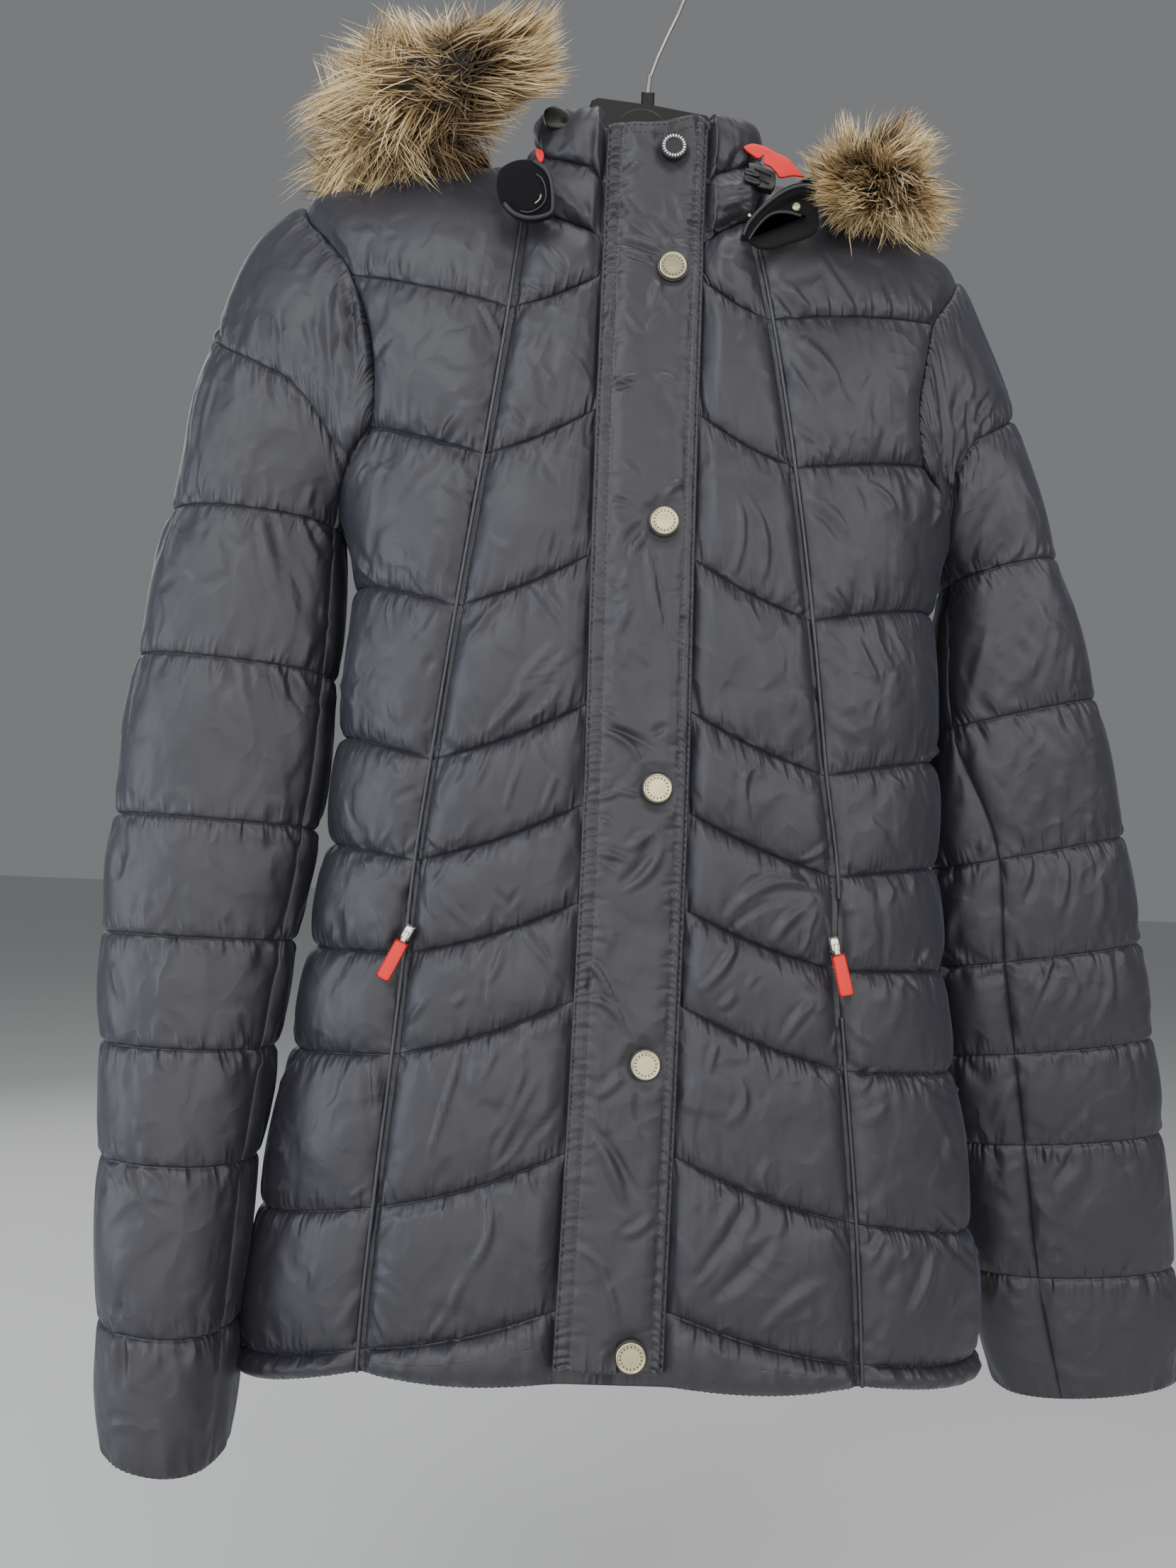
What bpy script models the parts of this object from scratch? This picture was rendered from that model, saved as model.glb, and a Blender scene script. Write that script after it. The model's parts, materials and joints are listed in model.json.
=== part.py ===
"""Quilted jacket with a fur-trimmed hood, hanging on a plastic hanger.

Metres, +Z up, the jacket's front towards -Y, the wearer's left towards +X.
The origin is the hook's inner top, where it bears on a rod, so everything
but the wire itself hangs below it. Heights are given as `drop`, the distance
below that point. "left" and "right" name the sides at -X and +X.
"""
import math

import bmesh
import bpy
import numpy as np
from mathutils import Matrix, Vector

# ---- cloth ----------------------------------------------------------------
GAP = 0.0003          # between neighbouring pieces
WALL = 0.003          # quilted cloth along a stitch line
SWELL = 0.0085        # what the padding adds outside between stitch lines
INNER_SWELL = 0.25    # share of that swelling found on the inside
SLEEVE_SWELL = 0.005

# ---- body -----------------------------------------------------------------
# The side seams, the shoulder ridges and the hanger all lie at y = 0.
ROUNDNESS = 2.6       # superellipse exponent of the body's section
CROWN = 0.11          # height over which the shoulders round off
CROWN_ROUNDNESS = 2.2
NECK = (0.066, 0.165)             # neck point: half width, drop
TIP_LEFT = (0.213, 0.188)         # shoulder tip: distance out, drop
TIP_RIGHT = (0.195, 0.214)
FLAP = 0.0286         # half width of the front flap
NECK_FRONT = 0.235    # drop of the neck seam at the middle front
NECK_FLAP = 0.233     # the same at the flap's edges
NECK_SEAM = 0.213     # drop where the front seams meet the neck seam
NECK_BACK = 0.172

# Sections of the body: where front and back lie (y) and how far out each
# side reaches. Above the underarm the sides run on inside the sleeves.
BODY = (
    # drop, front, back, left, right
    (0.160, -0.074, 0.072, 0.245, 0.235),
    (0.200, -0.076, 0.075, 0.235, 0.225),
    (0.260, -0.078, 0.078, 0.212, 0.208),
    (0.330, -0.079, 0.079, 0.190, 0.194),
    (0.375, -0.079, 0.078, 0.172, 0.184),
    (0.410, -0.079, 0.077, 0.166, 0.179),
    (0.500, -0.077, 0.073, 0.166, 0.180),
    (0.585, -0.075, 0.071, 0.170, 0.182),
    (0.640, -0.076, 0.073, 0.176, 0.186),
    (0.720, -0.078, 0.078, 0.187, 0.196),
    (0.800, -0.080, 0.082, 0.199, 0.206),
    (0.850, -0.081, 0.085, 0.204, 0.209),
    (0.900, -0.081, 0.087, 0.204, 0.207),
)

# Quilt lines from the chest down, ending in the hem edge: their drops where
# they meet the flap, the front seams, each side and the middle of the back,
# and how far the front seams lie from the middle there.
LINES = (
    # flap, seam, side left, side right, back, seam left, seam right
    (0.258, 0.279, 0.254, 0.264, 0.258, 0.0800, 0.0690),
    (0.337, 0.364, 0.343, 0.350, 0.343, 0.0900, 0.0840),
    (0.420, 0.450, 0.431, 0.431, 0.430, 0.1010, 0.0965),
    (0.504, 0.536, 0.520, 0.520, 0.518, 0.1110, 0.1070),
    (0.559, 0.592, 0.583, 0.583, 0.578, 0.1170, 0.1150),
    (0.612, 0.643, 0.643, 0.643, 0.636, 0.1200, 0.1165),
    (0.664, 0.697, 0.701, 0.701, 0.693, 0.1235, 0.1210),
    (0.743, 0.777, 0.790, 0.790, 0.780, 0.1290, 0.1280),
    (0.822, 0.849, 0.866, 0.858, 0.860, 0.1325, 0.1320),
    (0.859, 0.860, 0.880, 0.871, 0.880, 0.1325, 0.1325),
)
SEAM_TOP = (0.0740, 0.0560)       # front seams at the neck, left and right
SHOULDER_STEPS = 5                # rows above the first line at the armholes
CHANNEL_STEPS = 3                 # rows between two lines
HEM_STEPS = 2
UNDERARM_ROW = SHOULDER_STEPS + CHANNEL_STEPS + 1

# Armholes: how far out they lie, front and back, by drop.
ARMHOLES = (
    # drop, front left, front right, back left, back right
    (0.186, 0.214, 0.200, 0.214, 0.200),
    (0.214, 0.203, 0.195, 0.203, 0.195),
    (0.240, 0.182, 0.184, 0.190, 0.186),
    (0.262, 0.170, 0.170, 0.181, 0.178),
    (0.299, 0.158, 0.162, 0.171, 0.170),
    (0.343, 0.158, 0.162, 0.168, 0.170),
    (0.372, 0.170, 0.181, 0.170, 0.181),
)
UNDERARM_OUT = 0.006              # the underarm seam stands out from the side

# ---- collar ---------------------------------------------------------------
COLLAR_TOP = (
    # depth (y), drop of the collar's upper edge
    (-0.082, 0.161),
    (-0.038, 0.139),
    (0.002, 0.118),
    (0.028, 0.111),
)
COLLAR_TOP_WIDTH = 0.047          # half width of the upper edge in front
COLLAR_TOP_BACK = 0.056           # and at the neck points
COLLAR_TOP_MIDDLE = (0.172, 0.172, 0.164)  # its drops under the flap
COLLAR_TIER = 3                   # rows in each of the two tiers

# ---- sleeves --------------------------------------------------------------
# Sections at the quilt lines below the underarm, ending in the cuff edge.
SLEEVE_LEFT = (
    # drop, middle x, middle y, half width, half depth, rise of the outer end
    (0.391, 0.229, -0.007, 0.048, 0.034, 0.07),
    (0.481, 0.235, -0.012, 0.054, 0.034, 0.07),
    (0.573, 0.240, -0.017, 0.054, 0.034, 0.04),
    (0.639, 0.244, -0.022, 0.050, 0.034, 0.02),
    (0.699, 0.244, -0.028, 0.044, 0.035, 0.02),
    (0.759, 0.243, -0.035, 0.038, 0.036, 0.03),
    (0.843, 0.240, -0.043, 0.032, 0.038, 0.09),
    (0.908, 0.236, -0.048, 0.027, 0.038, 0.20),
)
SLEEVE_RIGHT = (
    # drop, middle x, middle y, half width, half depth, rise of the outer end
    (0.398, 0.2300, 0.006, 0.0295, 0.038, 0.26),
    (0.486, 0.242, 0.012, 0.047, 0.035, 0.26),
    (0.570, 0.255, 0.019, 0.056, 0.032, 0.22),
    (0.633, 0.265, 0.026, 0.060, 0.030, 0.16),
    (0.690, 0.275, 0.034, 0.062, 0.029, 0.12),
    (0.747, 0.285, 0.042, 0.062, 0.028, 0.08),
    (0.830, 0.299, 0.053, 0.061, 0.028, 0.05),
    (0.903, 0.314, 0.060, 0.054, 0.028, 0.10),
)
SLEEVE_ROUNDNESS = 2.2
CAP_STEPS = 6                     # rows between the armhole and the first line
CAP_LINE = 3                      # row of the quilt line across the sleeve head
CAP_REACH_LEFT = 0.8              # how far the sleeve heads spring out
CAP_REACH_RIGHT = 0.15
UNDERARM_REACH = 0.7              # and the sleeves at the underarm
UNDER_SLEEVE = (8, 12)            # columns between which the under sleeve lies
# Where the front seams run round the sleeves: drop and turn from the outer side.
SLEEVE_SEAM_LEFT = ((0.391, 160), (0.908, 160))
SLEEVE_SEAM_RIGHT = ((0.398, 172), (0.486, 150), (0.545, 122), (0.640, 118), (0.903, 118))

# ---- hood and fur ---------------------------------------------------------
HOOD_CENTRE = -0.020              # depth of the axis that the hood turns about
HOOD_WALL = 0.003
LINING = 0.001
HOOD_DEPTH = 0.125                # how far the folded hood hangs at the back
HOOD_SPAN = math.radians(84)      # turn at which it has run out to nothing
HOOD_BACK = 0.115                 # distance out of its near side at the back
HOOD_CLEAR = 0.0165               # from the body's surface to the hood's middle
HOOD_SAG = 0.010
FUR_SIDES = 12
# The fur along the hood's edge, by its turn about the neck from the back.
FUR = (
    # turn (degrees), distance out, drop, radius of the fur, clearance from the body
    (-128, 0.112, 0.144, 0.0265, 0.013),
    (-112, 0.136, 0.145, 0.0435, 0.013),
    (-94, 0.160, 0.146, 0.054, 0.024),
    (-74, 0.174, 0.160, 0.050, 0.024),
    (-55, 0.172, 0.172, 0.047, 0.024),
    (-37, 0.163, 0.174, 0.046, 0.024),
    (-19, 0.165, 0.188, 0.043, 0.024),
    (0, 0.166, 0.194, 0.042, 0.024),
    (19, 0.165, 0.190, 0.042, 0.024),
    (37, 0.162, 0.180, 0.043, 0.024),
    (55, 0.158, 0.170, 0.044, 0.024),
    (74, 0.148, 0.166, 0.045, 0.024),
    (94, 0.140, 0.164, 0.045, 0.024),
    (110, 0.136, 0.186, 0.036, 0.012),
    (120, 0.132, 0.203, 0.020, 0.012),
)
HOOD_ENDS = slice(2, -2)          # rings of the fur that the hood itself reaches
# The folded hood from the neck seam over and down to its bottom and up again
# to the fur: where each row lies between the neck seam, the hood's near side
# (1) and the fur (2), and its share of the hood's depth.
HOOD_ROWS = (
    # out, share of depth
    (0.00, 0.00),
    (0.30, -0.06),
    (0.60, 0.00),
    (0.82, 0.10),
    (1.00, 0.32),
    (1.08, 0.85),
    (1.40, 1.05),
    (1.85, 0.95),
    (1.94, 0.55),
)
HOOD_SEAM_ROW = 2                 # row of the collar that it is sewn beside

# ---- fastenings -----------------------------------------------------------
FLAP_WALL = 0.0032
FLAP_BAND = 0.0070                # stitched band along each edge of the flap
FLAP_CLEAR = 0.0005
FLAP_RIDE = 0.5                   # how much it rises as it rides up on a panel
SNAP_FIRST = 0.254                # drop of the first snap
SNAP_PITCH = 0.147
SNAP_COUNT = 5
SNAP_X = 0.0112
SNAP_RADIUS = 0.0079
SNAP_HEIGHT = 0.0024
BADGE = (0.0092, 0.184, 0.0078)   # x, drop and radius of the round badge
# How far the flap lies to the right of the middle, by drop.
FLAP_SHIFT = ((0.150, 0.0), (0.400, 0.0), (0.555, 0.0016), (0.700, 0.0002), (0.860, -0.0028))
PIPING = 0.0016                   # radius of the cord in the front seams
SLIDER = (0.0052, 0.0085)         # width and height of a pocket's slider
LINK = (0.0026, 0.0012, 0.0056)   # width, depth and length
LINK_EYE = 0.0005                 # from the hinge to the link's upper end
PULL = (0.0074, 0.0026, 0.0222)   # width, depth and length of a rubber pull
HINGE_OUT = 0.0079                # from the slider's seat to the hinge
# Hinges of the pocket pulls: x, drop, lean (degrees) and how far the
# slider's seat lies out of the body's surface.
PULL_LEFT = (-0.1187, 0.6310, 26, 0.0047)
PULL_RIGHT = (0.1128, 0.6285, -14, 0.0036)
BADGE_SLEEVE = (0.0080, 0.0016)   # radius and height
CLIP = (0.0165, 0.0046, 0.0100)   # length, height and width of a hood clip
EYELET = (0.0028, 0.0012)         # radius and height
EYELET_PLACE = (1, 1)             # row and column of the right tab
TAB_WALL = 0.003
# Velvet tabs at the hood's front ends: both ends of the middle line and width.
TABS = (
    # start x, start y, start drop, end x, end y, end drop, width
    (-0.1022, -0.0798, 0.1912, -0.060, -0.0890, 0.208, 0.032),
    (0.0888, -0.079, 0.198, 0.055, -0.0895, 0.222, 0.034),
)

# ---- hanger ---------------------------------------------------------------
HANGER_WALL = 0.007
HANGER_CLEAR = 0.0075             # from the shoulder's middle surface
# Outline of the hanger's upper edge up to where the shoulders take over.
HANGER_LEFT = ((-0.0062, 0.1005), (-0.034, 0.0982), (-0.0380, 0.1005), (-0.0430, 0.118),
               (-0.0465, 0.145), (-0.0520, 0.165), (-0.0570, 0.1765))
HANGER_RIGHT = ((0.0022, 0.1012), (0.036, 0.1060), (0.0395, 0.1095), (0.0430, 0.122),
                (0.0465, 0.148), (0.0520, 0.165), (0.0570, 0.1765))
HANGER_ARM = (0.020, 0.012)       # height of an arm at its root and its tip
HANGER_BOTTOM = 0.190             # drop of the lower edge at the middle
SOCKET = (0.0042, 0.0925)         # half width and drop of the hook's socket
SOCKET_X = -0.002
DISC = (-0.0055, 0.1235, 0.0180, 0.0010)  # x, drop, radius, height
HOOK_WIRE = 0.0015                # radius of the hook's wire
HOOK_RADIUS = 0.0205              # of the bend, at the wire's middle
HOOK_STEM = ((-0.002, 0.0918), (-0.001, 0.080), (0.003, 0.067), (0.0085, 0.053),
             (0.0150, 0.0375))

COLOURS = {
    # name: colour, roughness, metallic
    "nylon": ((0.022, 0.026, 0.040, 1), 0.42, 0.0),
    "lining": ((0.70, 0.03, 0.03, 1), 0.6, 0.0),
    "fur": ((0.33, 0.22, 0.13, 1), 0.9, 0.0),
    "velvet": ((0.010, 0.010, 0.012, 1), 0.95, 0.0),
    "metal": ((0.72, 0.69, 0.62, 1), 0.3, 1.0),
    "plastic": ((0.012, 0.012, 0.013, 1), 0.4, 0.0),
    "rubber": ((0.80, 0.06, 0.04, 1), 0.5, 0.0),
    "rubber_black": ((0.015, 0.015, 0.016, 1), 0.55, 0.0),
    "steel": ((0.62, 0.62, 0.62, 1), 0.25, 1.0),
}


# ---- small helpers --------------------------------------------------------
def column(table, index):
    """One column of a table as an array."""
    return np.array([row[index] for row in table], float)


def smooth(knots, values, at):
    """Read a smooth curve through (knots, values) at the places in `at`."""
    knots = np.asarray(knots, float)
    values = np.asarray(values, float)
    at = np.clip(np.asarray(at, float), knots[0], knots[-1])
    slopes = np.gradient(values, knots)
    low = np.clip(np.searchsorted(knots, at, side="right") - 1, 0, len(knots) - 2)
    span = knots[low + 1] - knots[low]
    t = (at - knots[low]) / span
    start = values[low] * (1 + 2 * t) * (1 - t) ** 2 + slopes[low] * span * t * (1 - t) ** 2
    end = values[low + 1] * t ** 2 * (3 - 2 * t) - slopes[low + 1] * span * t ** 2 * (1 - t)
    return start + end


def subdivide(stops, steps):
    """Rows from stop to stop, with the given number of steps in each span."""
    rows = [stops[0]]
    for first, last, count in zip(stops[:-1], stops[1:], steps):
        rows.extend(np.linspace(first, last, count + 1)[1:])
    return np.array(rows)


def swelling(steps):
    """How full each row is: nothing on a stitch line, one between two."""
    rows = [0.0]
    for count in steps:
        rows.extend(math.sin(math.pi * k / count) ** 0.7 for k in range(1, count))
        rows.append(0.0)
    return np.array(rows)


def unit(vectors):
    """Vectors scaled to length one."""
    return vectors / np.linalg.norm(vectors, axis=-1, keepdims=True)


def material(name):
    """The named plain material, made once."""
    found = bpy.data.materials.get(name)
    if found:
        return found
    colour, roughness, metallic = COLOURS[name]
    made = bpy.data.materials.new(name)
    made.use_nodes = True
    shader = made.node_tree.nodes["Principled BSDF"]
    shader.inputs["Base Color"].default_value = colour
    shader.inputs["Roughness"].default_value = roughness
    shader.inputs["Metallic"].default_value = metallic
    made.diffuse_color = colour
    return made


def add_object(name, points, faces, look, smooth_angle=50):
    """A closed mesh object with its faces turned outwards."""
    mesh = bpy.data.meshes.new(name)
    mesh.from_pydata([tuple(map(float, p)) for p in points], [], faces)
    body = bmesh.new()
    body.from_mesh(mesh)
    bmesh.ops.recalc_face_normals(body, faces=body.faces)
    body.to_mesh(mesh)
    body.free()
    mesh.shade_smooth()
    mesh.set_sharp_from_angle(angle=math.radians(smooth_angle))
    mesh.materials.append(material(look))
    made = bpy.data.objects.new(name, mesh)
    bpy.context.scene.collection.objects.link(made)
    return made


def wall(name, outer, inner, look):
    """A cloth wall between two grids of points of the same size."""
    rows, columns = outer.shape[:2]
    count = rows * columns
    points = np.concatenate([outer.reshape(-1, 3), inner.reshape(-1, 3)])
    faces = []
    for j in range(rows - 1):
        for i in range(columns - 1):
            a = j * columns + i
            b = a + columns
            for corners in ((a, a + 1, b + 1), (a, b + 1, b)):
                faces.append(corners)
                faces.append(tuple(corner + count for corner in reversed(corners)))
    rim = [i for i in range(columns)]
    rim += [j * columns + columns - 1 for j in range(1, rows)]
    rim += [(rows - 1) * columns + i for i in range(columns - 2, -1, -1)]
    rim += [j * columns for j in range(rows - 2, 0, -1)]
    for a, b in zip(rim, rim[1:] + rim[:1]):
        faces.append((a, a + count, b + count, b))
    return add_object(name, points, faces, look)


def inset(grid, sides, half):
    """Draw a grid's border half a gap inwards, so that neighbours stay apart."""
    grid = grid.copy()
    if "w" in sides:
        grid[:, 0] += unit(grid[:, 1] - grid[:, 0]) * half
    if "e" in sides:
        grid[:, -1] += unit(grid[:, -2] - grid[:, -1]) * half
    if "n" in sides:
        grid[0] += unit(grid[1] - grid[0]) * half
    if "s" in sides:
        grid[-1] += unit(grid[-2] - grid[-1]) * half
    return grid


def padded(name, points, normals, fullness, look, swell=SWELL, half=GAP / 2):
    """A quilted wall: `fullness` says how far each point swells."""
    grid = inset(points, "news", half)
    rise = (WALL / 2 + swell * fullness)[..., None]
    sink = (WALL / 2 + swell * INNER_SWELL * fullness)[..., None]
    outer = grid + normals * rise
    inner = grid - normals * sink
    wall(name, outer, inner, look)
    return outer


def tube(name, rings, look):
    """A closed tube through rings of points."""
    count, sides = rings.shape[:2]
    ends = [rings[0].mean(axis=0), rings[-1].mean(axis=0)]
    points = np.concatenate([rings.reshape(-1, 3), ends])
    faces = []
    last = (count - 1) * sides
    centre = count * sides
    for i in range(sides):
        following = (i + 1) % sides
        for j in range(count - 1):
            a = j * sides
            faces.append((a + i, a + following, a + sides + following, a + sides + i))
        faces.append((centre, following, i))
        faces.append((centre + 1, last + i, last + following))
    return add_object(name, points, faces, look)


def round_rings(path, radius, sides, level):
    """Round rings along a path; `level` is a direction that lies across it."""
    path = np.asarray(path, float)
    ahead = unit(np.gradient(path, axis=0))
    across = unit(np.cross(ahead, level))[:, None]
    up = np.cross(across[:, 0], ahead)[:, None]
    turn = (np.arange(sides) * 2 * math.pi / sides)[None, :, None]
    return path[:, None] + radius * (np.cos(turn) * up + np.sin(turn) * across)


def turned(name, profile, place, axis, look, sides=24):
    """A round piece: profile of (radius, height) from its base up, on an axis."""
    turn = np.arange(sides) * 2 * math.pi / sides
    way = Vector(axis).normalized()
    swing = way.to_track_quat("Z", "Y").to_matrix()
    points = []
    for radius, height in profile:
        for angle in turn:
            local = Vector((radius * math.cos(angle), radius * math.sin(angle), height))
            points.append(Vector(place) + swing @ local)
    faces = []
    for j in range(len(profile) - 1):
        for i in range(sides):
            following = (i + 1) % sides
            a = j * sides
            faces.append((a + i, a + following, a + sides + following, a + sides + i))
    faces.append(tuple(range(sides - 1, -1, -1)))
    faces.append(tuple((len(profile) - 1) * sides + i for i in range(sides)))
    return add_object(name, points, faces, look, 35)


def slab(name, outline, thickness, look, bevel=0.0):
    """An upright plate: outline in (x, z), its middle plane at y = 0."""
    body = bmesh.new()
    corners = [body.verts.new((x, -thickness / 2, z)) for x, z in outline]
    face = body.faces.new(corners)
    grown = bmesh.ops.extrude_face_region(body, geom=[face])
    moved = [v for v in grown["geom"] if isinstance(v, bmesh.types.BMVert)]
    bmesh.ops.translate(body, verts=moved, vec=(0, thickness, 0))
    bmesh.ops.recalc_face_normals(body, faces=body.faces)
    if bevel:
        rims = [e for e in body.edges if abs(e.verts[0].co.y - e.verts[1].co.y) < 1e-9]
        bmesh.ops.bevel(body, geom=rims, offset=bevel, segments=1, affect="EDGES")
    mesh = bpy.data.meshes.new(name)
    body.to_mesh(mesh)
    body.free()
    mesh.materials.append(material(look))
    made = bpy.data.objects.new(name, mesh)
    bpy.context.scene.collection.objects.link(made)
    return made


# ---- the body's form ------------------------------------------------------
def ridge(x):
    """Drop of the shoulder ridge at x."""
    places = (-TIP_LEFT[0], -NECK[0], NECK[0], TIP_RIGHT[0])
    drops = (TIP_LEFT[1], NECK[1], NECK[1], TIP_RIGHT[1])
    return np.interp(x, places, drops)


def reach(x, drop, side):
    """Depth from the middle to the front (-1) or back (1), crown left out."""
    knots = column(BODY, 0)
    left = smooth(knots, column(BODY, 3), drop)
    right = smooth(knots, column(BODY, 4), drop)
    out = np.clip(np.abs(x) / np.where(x < 0, left, right), 0, 1)
    fullness = (1 - out ** ROUNDNESS) ** (1 / ROUNDNESS)
    face = smooth(knots, column(BODY, 1 if side < 0 else 2), drop)
    return np.abs(face) * fullness


def depth(x, drop, side):
    """The body's y at (x, drop), on its front (-1) or back (1)."""
    up = np.clip((drop - ridge(x)) / CROWN, 0, 1)
    crown = (1 - (1 - up) ** CROWN_ROUNDNESS) ** (1 / CROWN_ROUNDNESS)
    return side * reach(x, drop, side) * crown


def on_body(x, drop, side):
    """Points on the body's middle surface."""
    return np.stack([x, depth(x, drop, side), -drop], axis=-1)


def body_normals(x, drop, side):
    """Outward normals of the body's middle surface."""
    step = 0.0005
    inside = x * 0.995
    below = np.maximum(drop, ridge(x) + step)
    slope_x = (depth(inside + step, below, side) - depth(inside - step, below, side)) / (2 * step)
    slope_d = (depth(inside, below + step, side) - depth(inside, below - step, side)) / (2 * step)
    normals = np.stack([-side * slope_x, side * np.ones_like(x), side * slope_d], axis=-1)
    return unit(normals)


def crown_height(x, y):
    """Height (z) of the shoulders at (x, y), or far below where there is none."""
    side = np.where(y < 0, -1, 1)
    front = reach(x, np.full_like(x, 0.25), -1)
    back = reach(x, np.full_like(x, 0.25), 1)
    share = np.abs(y) / np.maximum(np.where(side < 0, front, back), 1e-6)
    up = 1 - (1 - np.clip(share, 0, 1) ** CROWN_ROUNDNESS) ** (1 / CROWN_ROUNDNESS)
    return np.where(share < 1, -(ridge(x) + CROWN * up), -1.0)


def clear_of_body(points, margin):
    """Lift points off the shoulders to a margin over them."""
    moved = points.copy()
    x = moved[..., 0]
    y = moved[..., 1]
    front = reach(x, np.full_like(x, 0.25), -1)
    back = reach(x, np.full_like(x, 0.25), 1)
    face = np.where(y < 0, front, back)
    top = crown_height(x, y * face / (face + margin)) + margin
    moved[..., 2] = np.maximum(moved[..., 2], top)
    return moved


# ---- rows of the body's panels --------------------------------------------
LINE_STEPS = [CHANNEL_STEPS] * (len(LINES) - 2) + [HEM_STEPS]
SEAM_STEPS = [2, CHANNEL_STEPS] + LINE_STEPS
SIDE_STEPS = [SHOULDER_STEPS] + LINE_STEPS


def seam_place(side, drop):
    """How far the front seam of a side (-1 or 1) lies from the middle."""
    index = 5 if side < 0 else 6
    knots = np.concatenate([[NECK_SEAM], column(LINES, 1)])
    values = np.concatenate([[SEAM_TOP[0 if side < 0 else 1]], column(LINES, index)])
    return smooth(knots, values, drop)


def seam_rows(side):
    """The front seam with the neck seam above it: distances out and drops."""
    drops = subdivide([NECK[1], NECK_SEAM] + list(column(LINES, 1)), SEAM_STEPS)
    places = seam_place(side, drops)
    above = (drops - NECK[1]) / (NECK_SEAM - NECK[1])
    neck = NECK[0] + (places[2] - NECK[0]) * np.clip(above, 0, 1)
    return np.where(drops < NECK_SEAM, neck, places), drops


def side_rows(side, face):
    """Armhole and side seam of a side, front (-1) or back (1)."""
    tip = TIP_LEFT if side < 0 else TIP_RIGHT
    drops = subdivide([tip[1]] + list(column(LINES, 2 if side < 0 else 3)), SIDE_STEPS)
    armhole_column = (1 if face < 0 else 3) + (0 if side < 0 else 1)
    places = smooth(column(ARMHOLES, 0), column(ARMHOLES, armhole_column), drops)
    body = smooth(column(BODY, 0), column(BODY, 3 if side < 0 else 4), drops)
    places[UNDERARM_ROW] = body[UNDERARM_ROW] + UNDERARM_OUT
    below = np.arange(len(drops)) > UNDERARM_ROW
    places = np.where(below, body, places)
    places[0] = tip[0]
    return places, drops


def armhole_ring(side):
    """The armhole of a side as a closed ring of points with its normals.

    It starts at the shoulder tip and runs down the front and up the back.
    """
    halves = []
    for face in (-1, 1):
        places, drops = side_rows(side, face)
        kept = slice(0, UNDERARM_ROW + 1)
        halves.append(on_body(side * places[kept], drops[kept], face))
    ring = np.concatenate([halves[0], halves[1][-2:0:-1]])
    along = np.roll(ring, -1, axis=0) - np.roll(ring, 1, axis=0)
    normals = unit(np.cross(along, (side, 0.0, 0.0)))
    outward = ring - ring.mean(axis=0)
    normals *= np.sign(np.sum(normals * outward, axis=1, keepdims=True))
    return ring, normals


def border_normals(side, face):
    """Normals along a side's border: the armhole's, then straight out."""
    normals = armhole_ring(side)[1]
    kept = normals[:UNDERARM_ROW + 1]
    if face > 0:
        kept = np.concatenate([normals[:1], normals[:UNDERARM_ROW - 1:-1]])
    rows = 1 + sum(SIDE_STEPS)
    straight = np.tile((float(side), 0.0, 0.0), (rows - UNDERARM_ROW - 1, 1))
    return np.concatenate([kept, straight])


def mitre(points, normals):
    """Normals halfway between the body's and the collar's at the neck seam."""
    level = points - np.array([0, HOOD_CENTRE, 0])
    level[..., 2] = 0
    return unit(unit(normals) + unit(level))


def ridge_normal(side):
    """The normal on top of a shoulder."""
    tip = TIP_LEFT if side < 0 else TIP_RIGHT
    slope = (tip[1] - NECK[1]) / (tip[0] - NECK[0])
    return unit(np.array([side * slope, 0.0, 1.0]))


# ---- panels ---------------------------------------------------------------
CENTRE_SHARES = (0, 0.3, 0.6, 0.82, 1)    # from the front seam to the flap
CENTRE_FULL = (0, 0.95, 1, 0.8, 0, 0)     # how full each of its columns is
SIDE_COLUMNS = 4
SIDE_FULL = (0, 0.95, 0.95, 0)
BACK_TOP = (-1, -0.55, 0, 0.25, 0.5, 0.75, 1, 1.55, 2)


def centre_front(side):
    """A front panel between the zip and the front seam, with chevron lines."""
    steps = [CHANNEL_STEPS] + LINE_STEPS
    outer_drops = subdivide([NECK_SEAM] + list(column(LINES, 1)), steps)
    inner_drops = subdivide([NECK_FLAP] + list(column(LINES, 0)), steps)
    middle_drops = inner_drops.copy()
    middle_drops[0] = NECK_FRONT
    outer = seam_place(side, outer_drops)
    xs = []
    drops = []
    for share in CENTRE_SHARES:
        xs.append(outer + (FLAP - outer) * share)
        drops.append(outer_drops + (inner_drops - outer_drops) * share)
    xs.append(np.zeros_like(outer))
    drops.append(middle_drops)
    x = side * np.array(xs).T
    drop = np.array(drops).T
    points = on_body(x, drop, -1)
    normals = body_normals(x, drop, -1)
    normals[:, -1] = unit(normals[:, -1] * (0, 1, 1))
    normals[0] = mitre(points[0], normals[0])
    fullness = np.outer(swelling(steps), CENTRE_FULL)
    name = "front_centre_left" if side < 0 else "front_centre_right"
    surface = padded(name, points, normals, fullness, "nylon")
    return points, normals, surface


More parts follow.
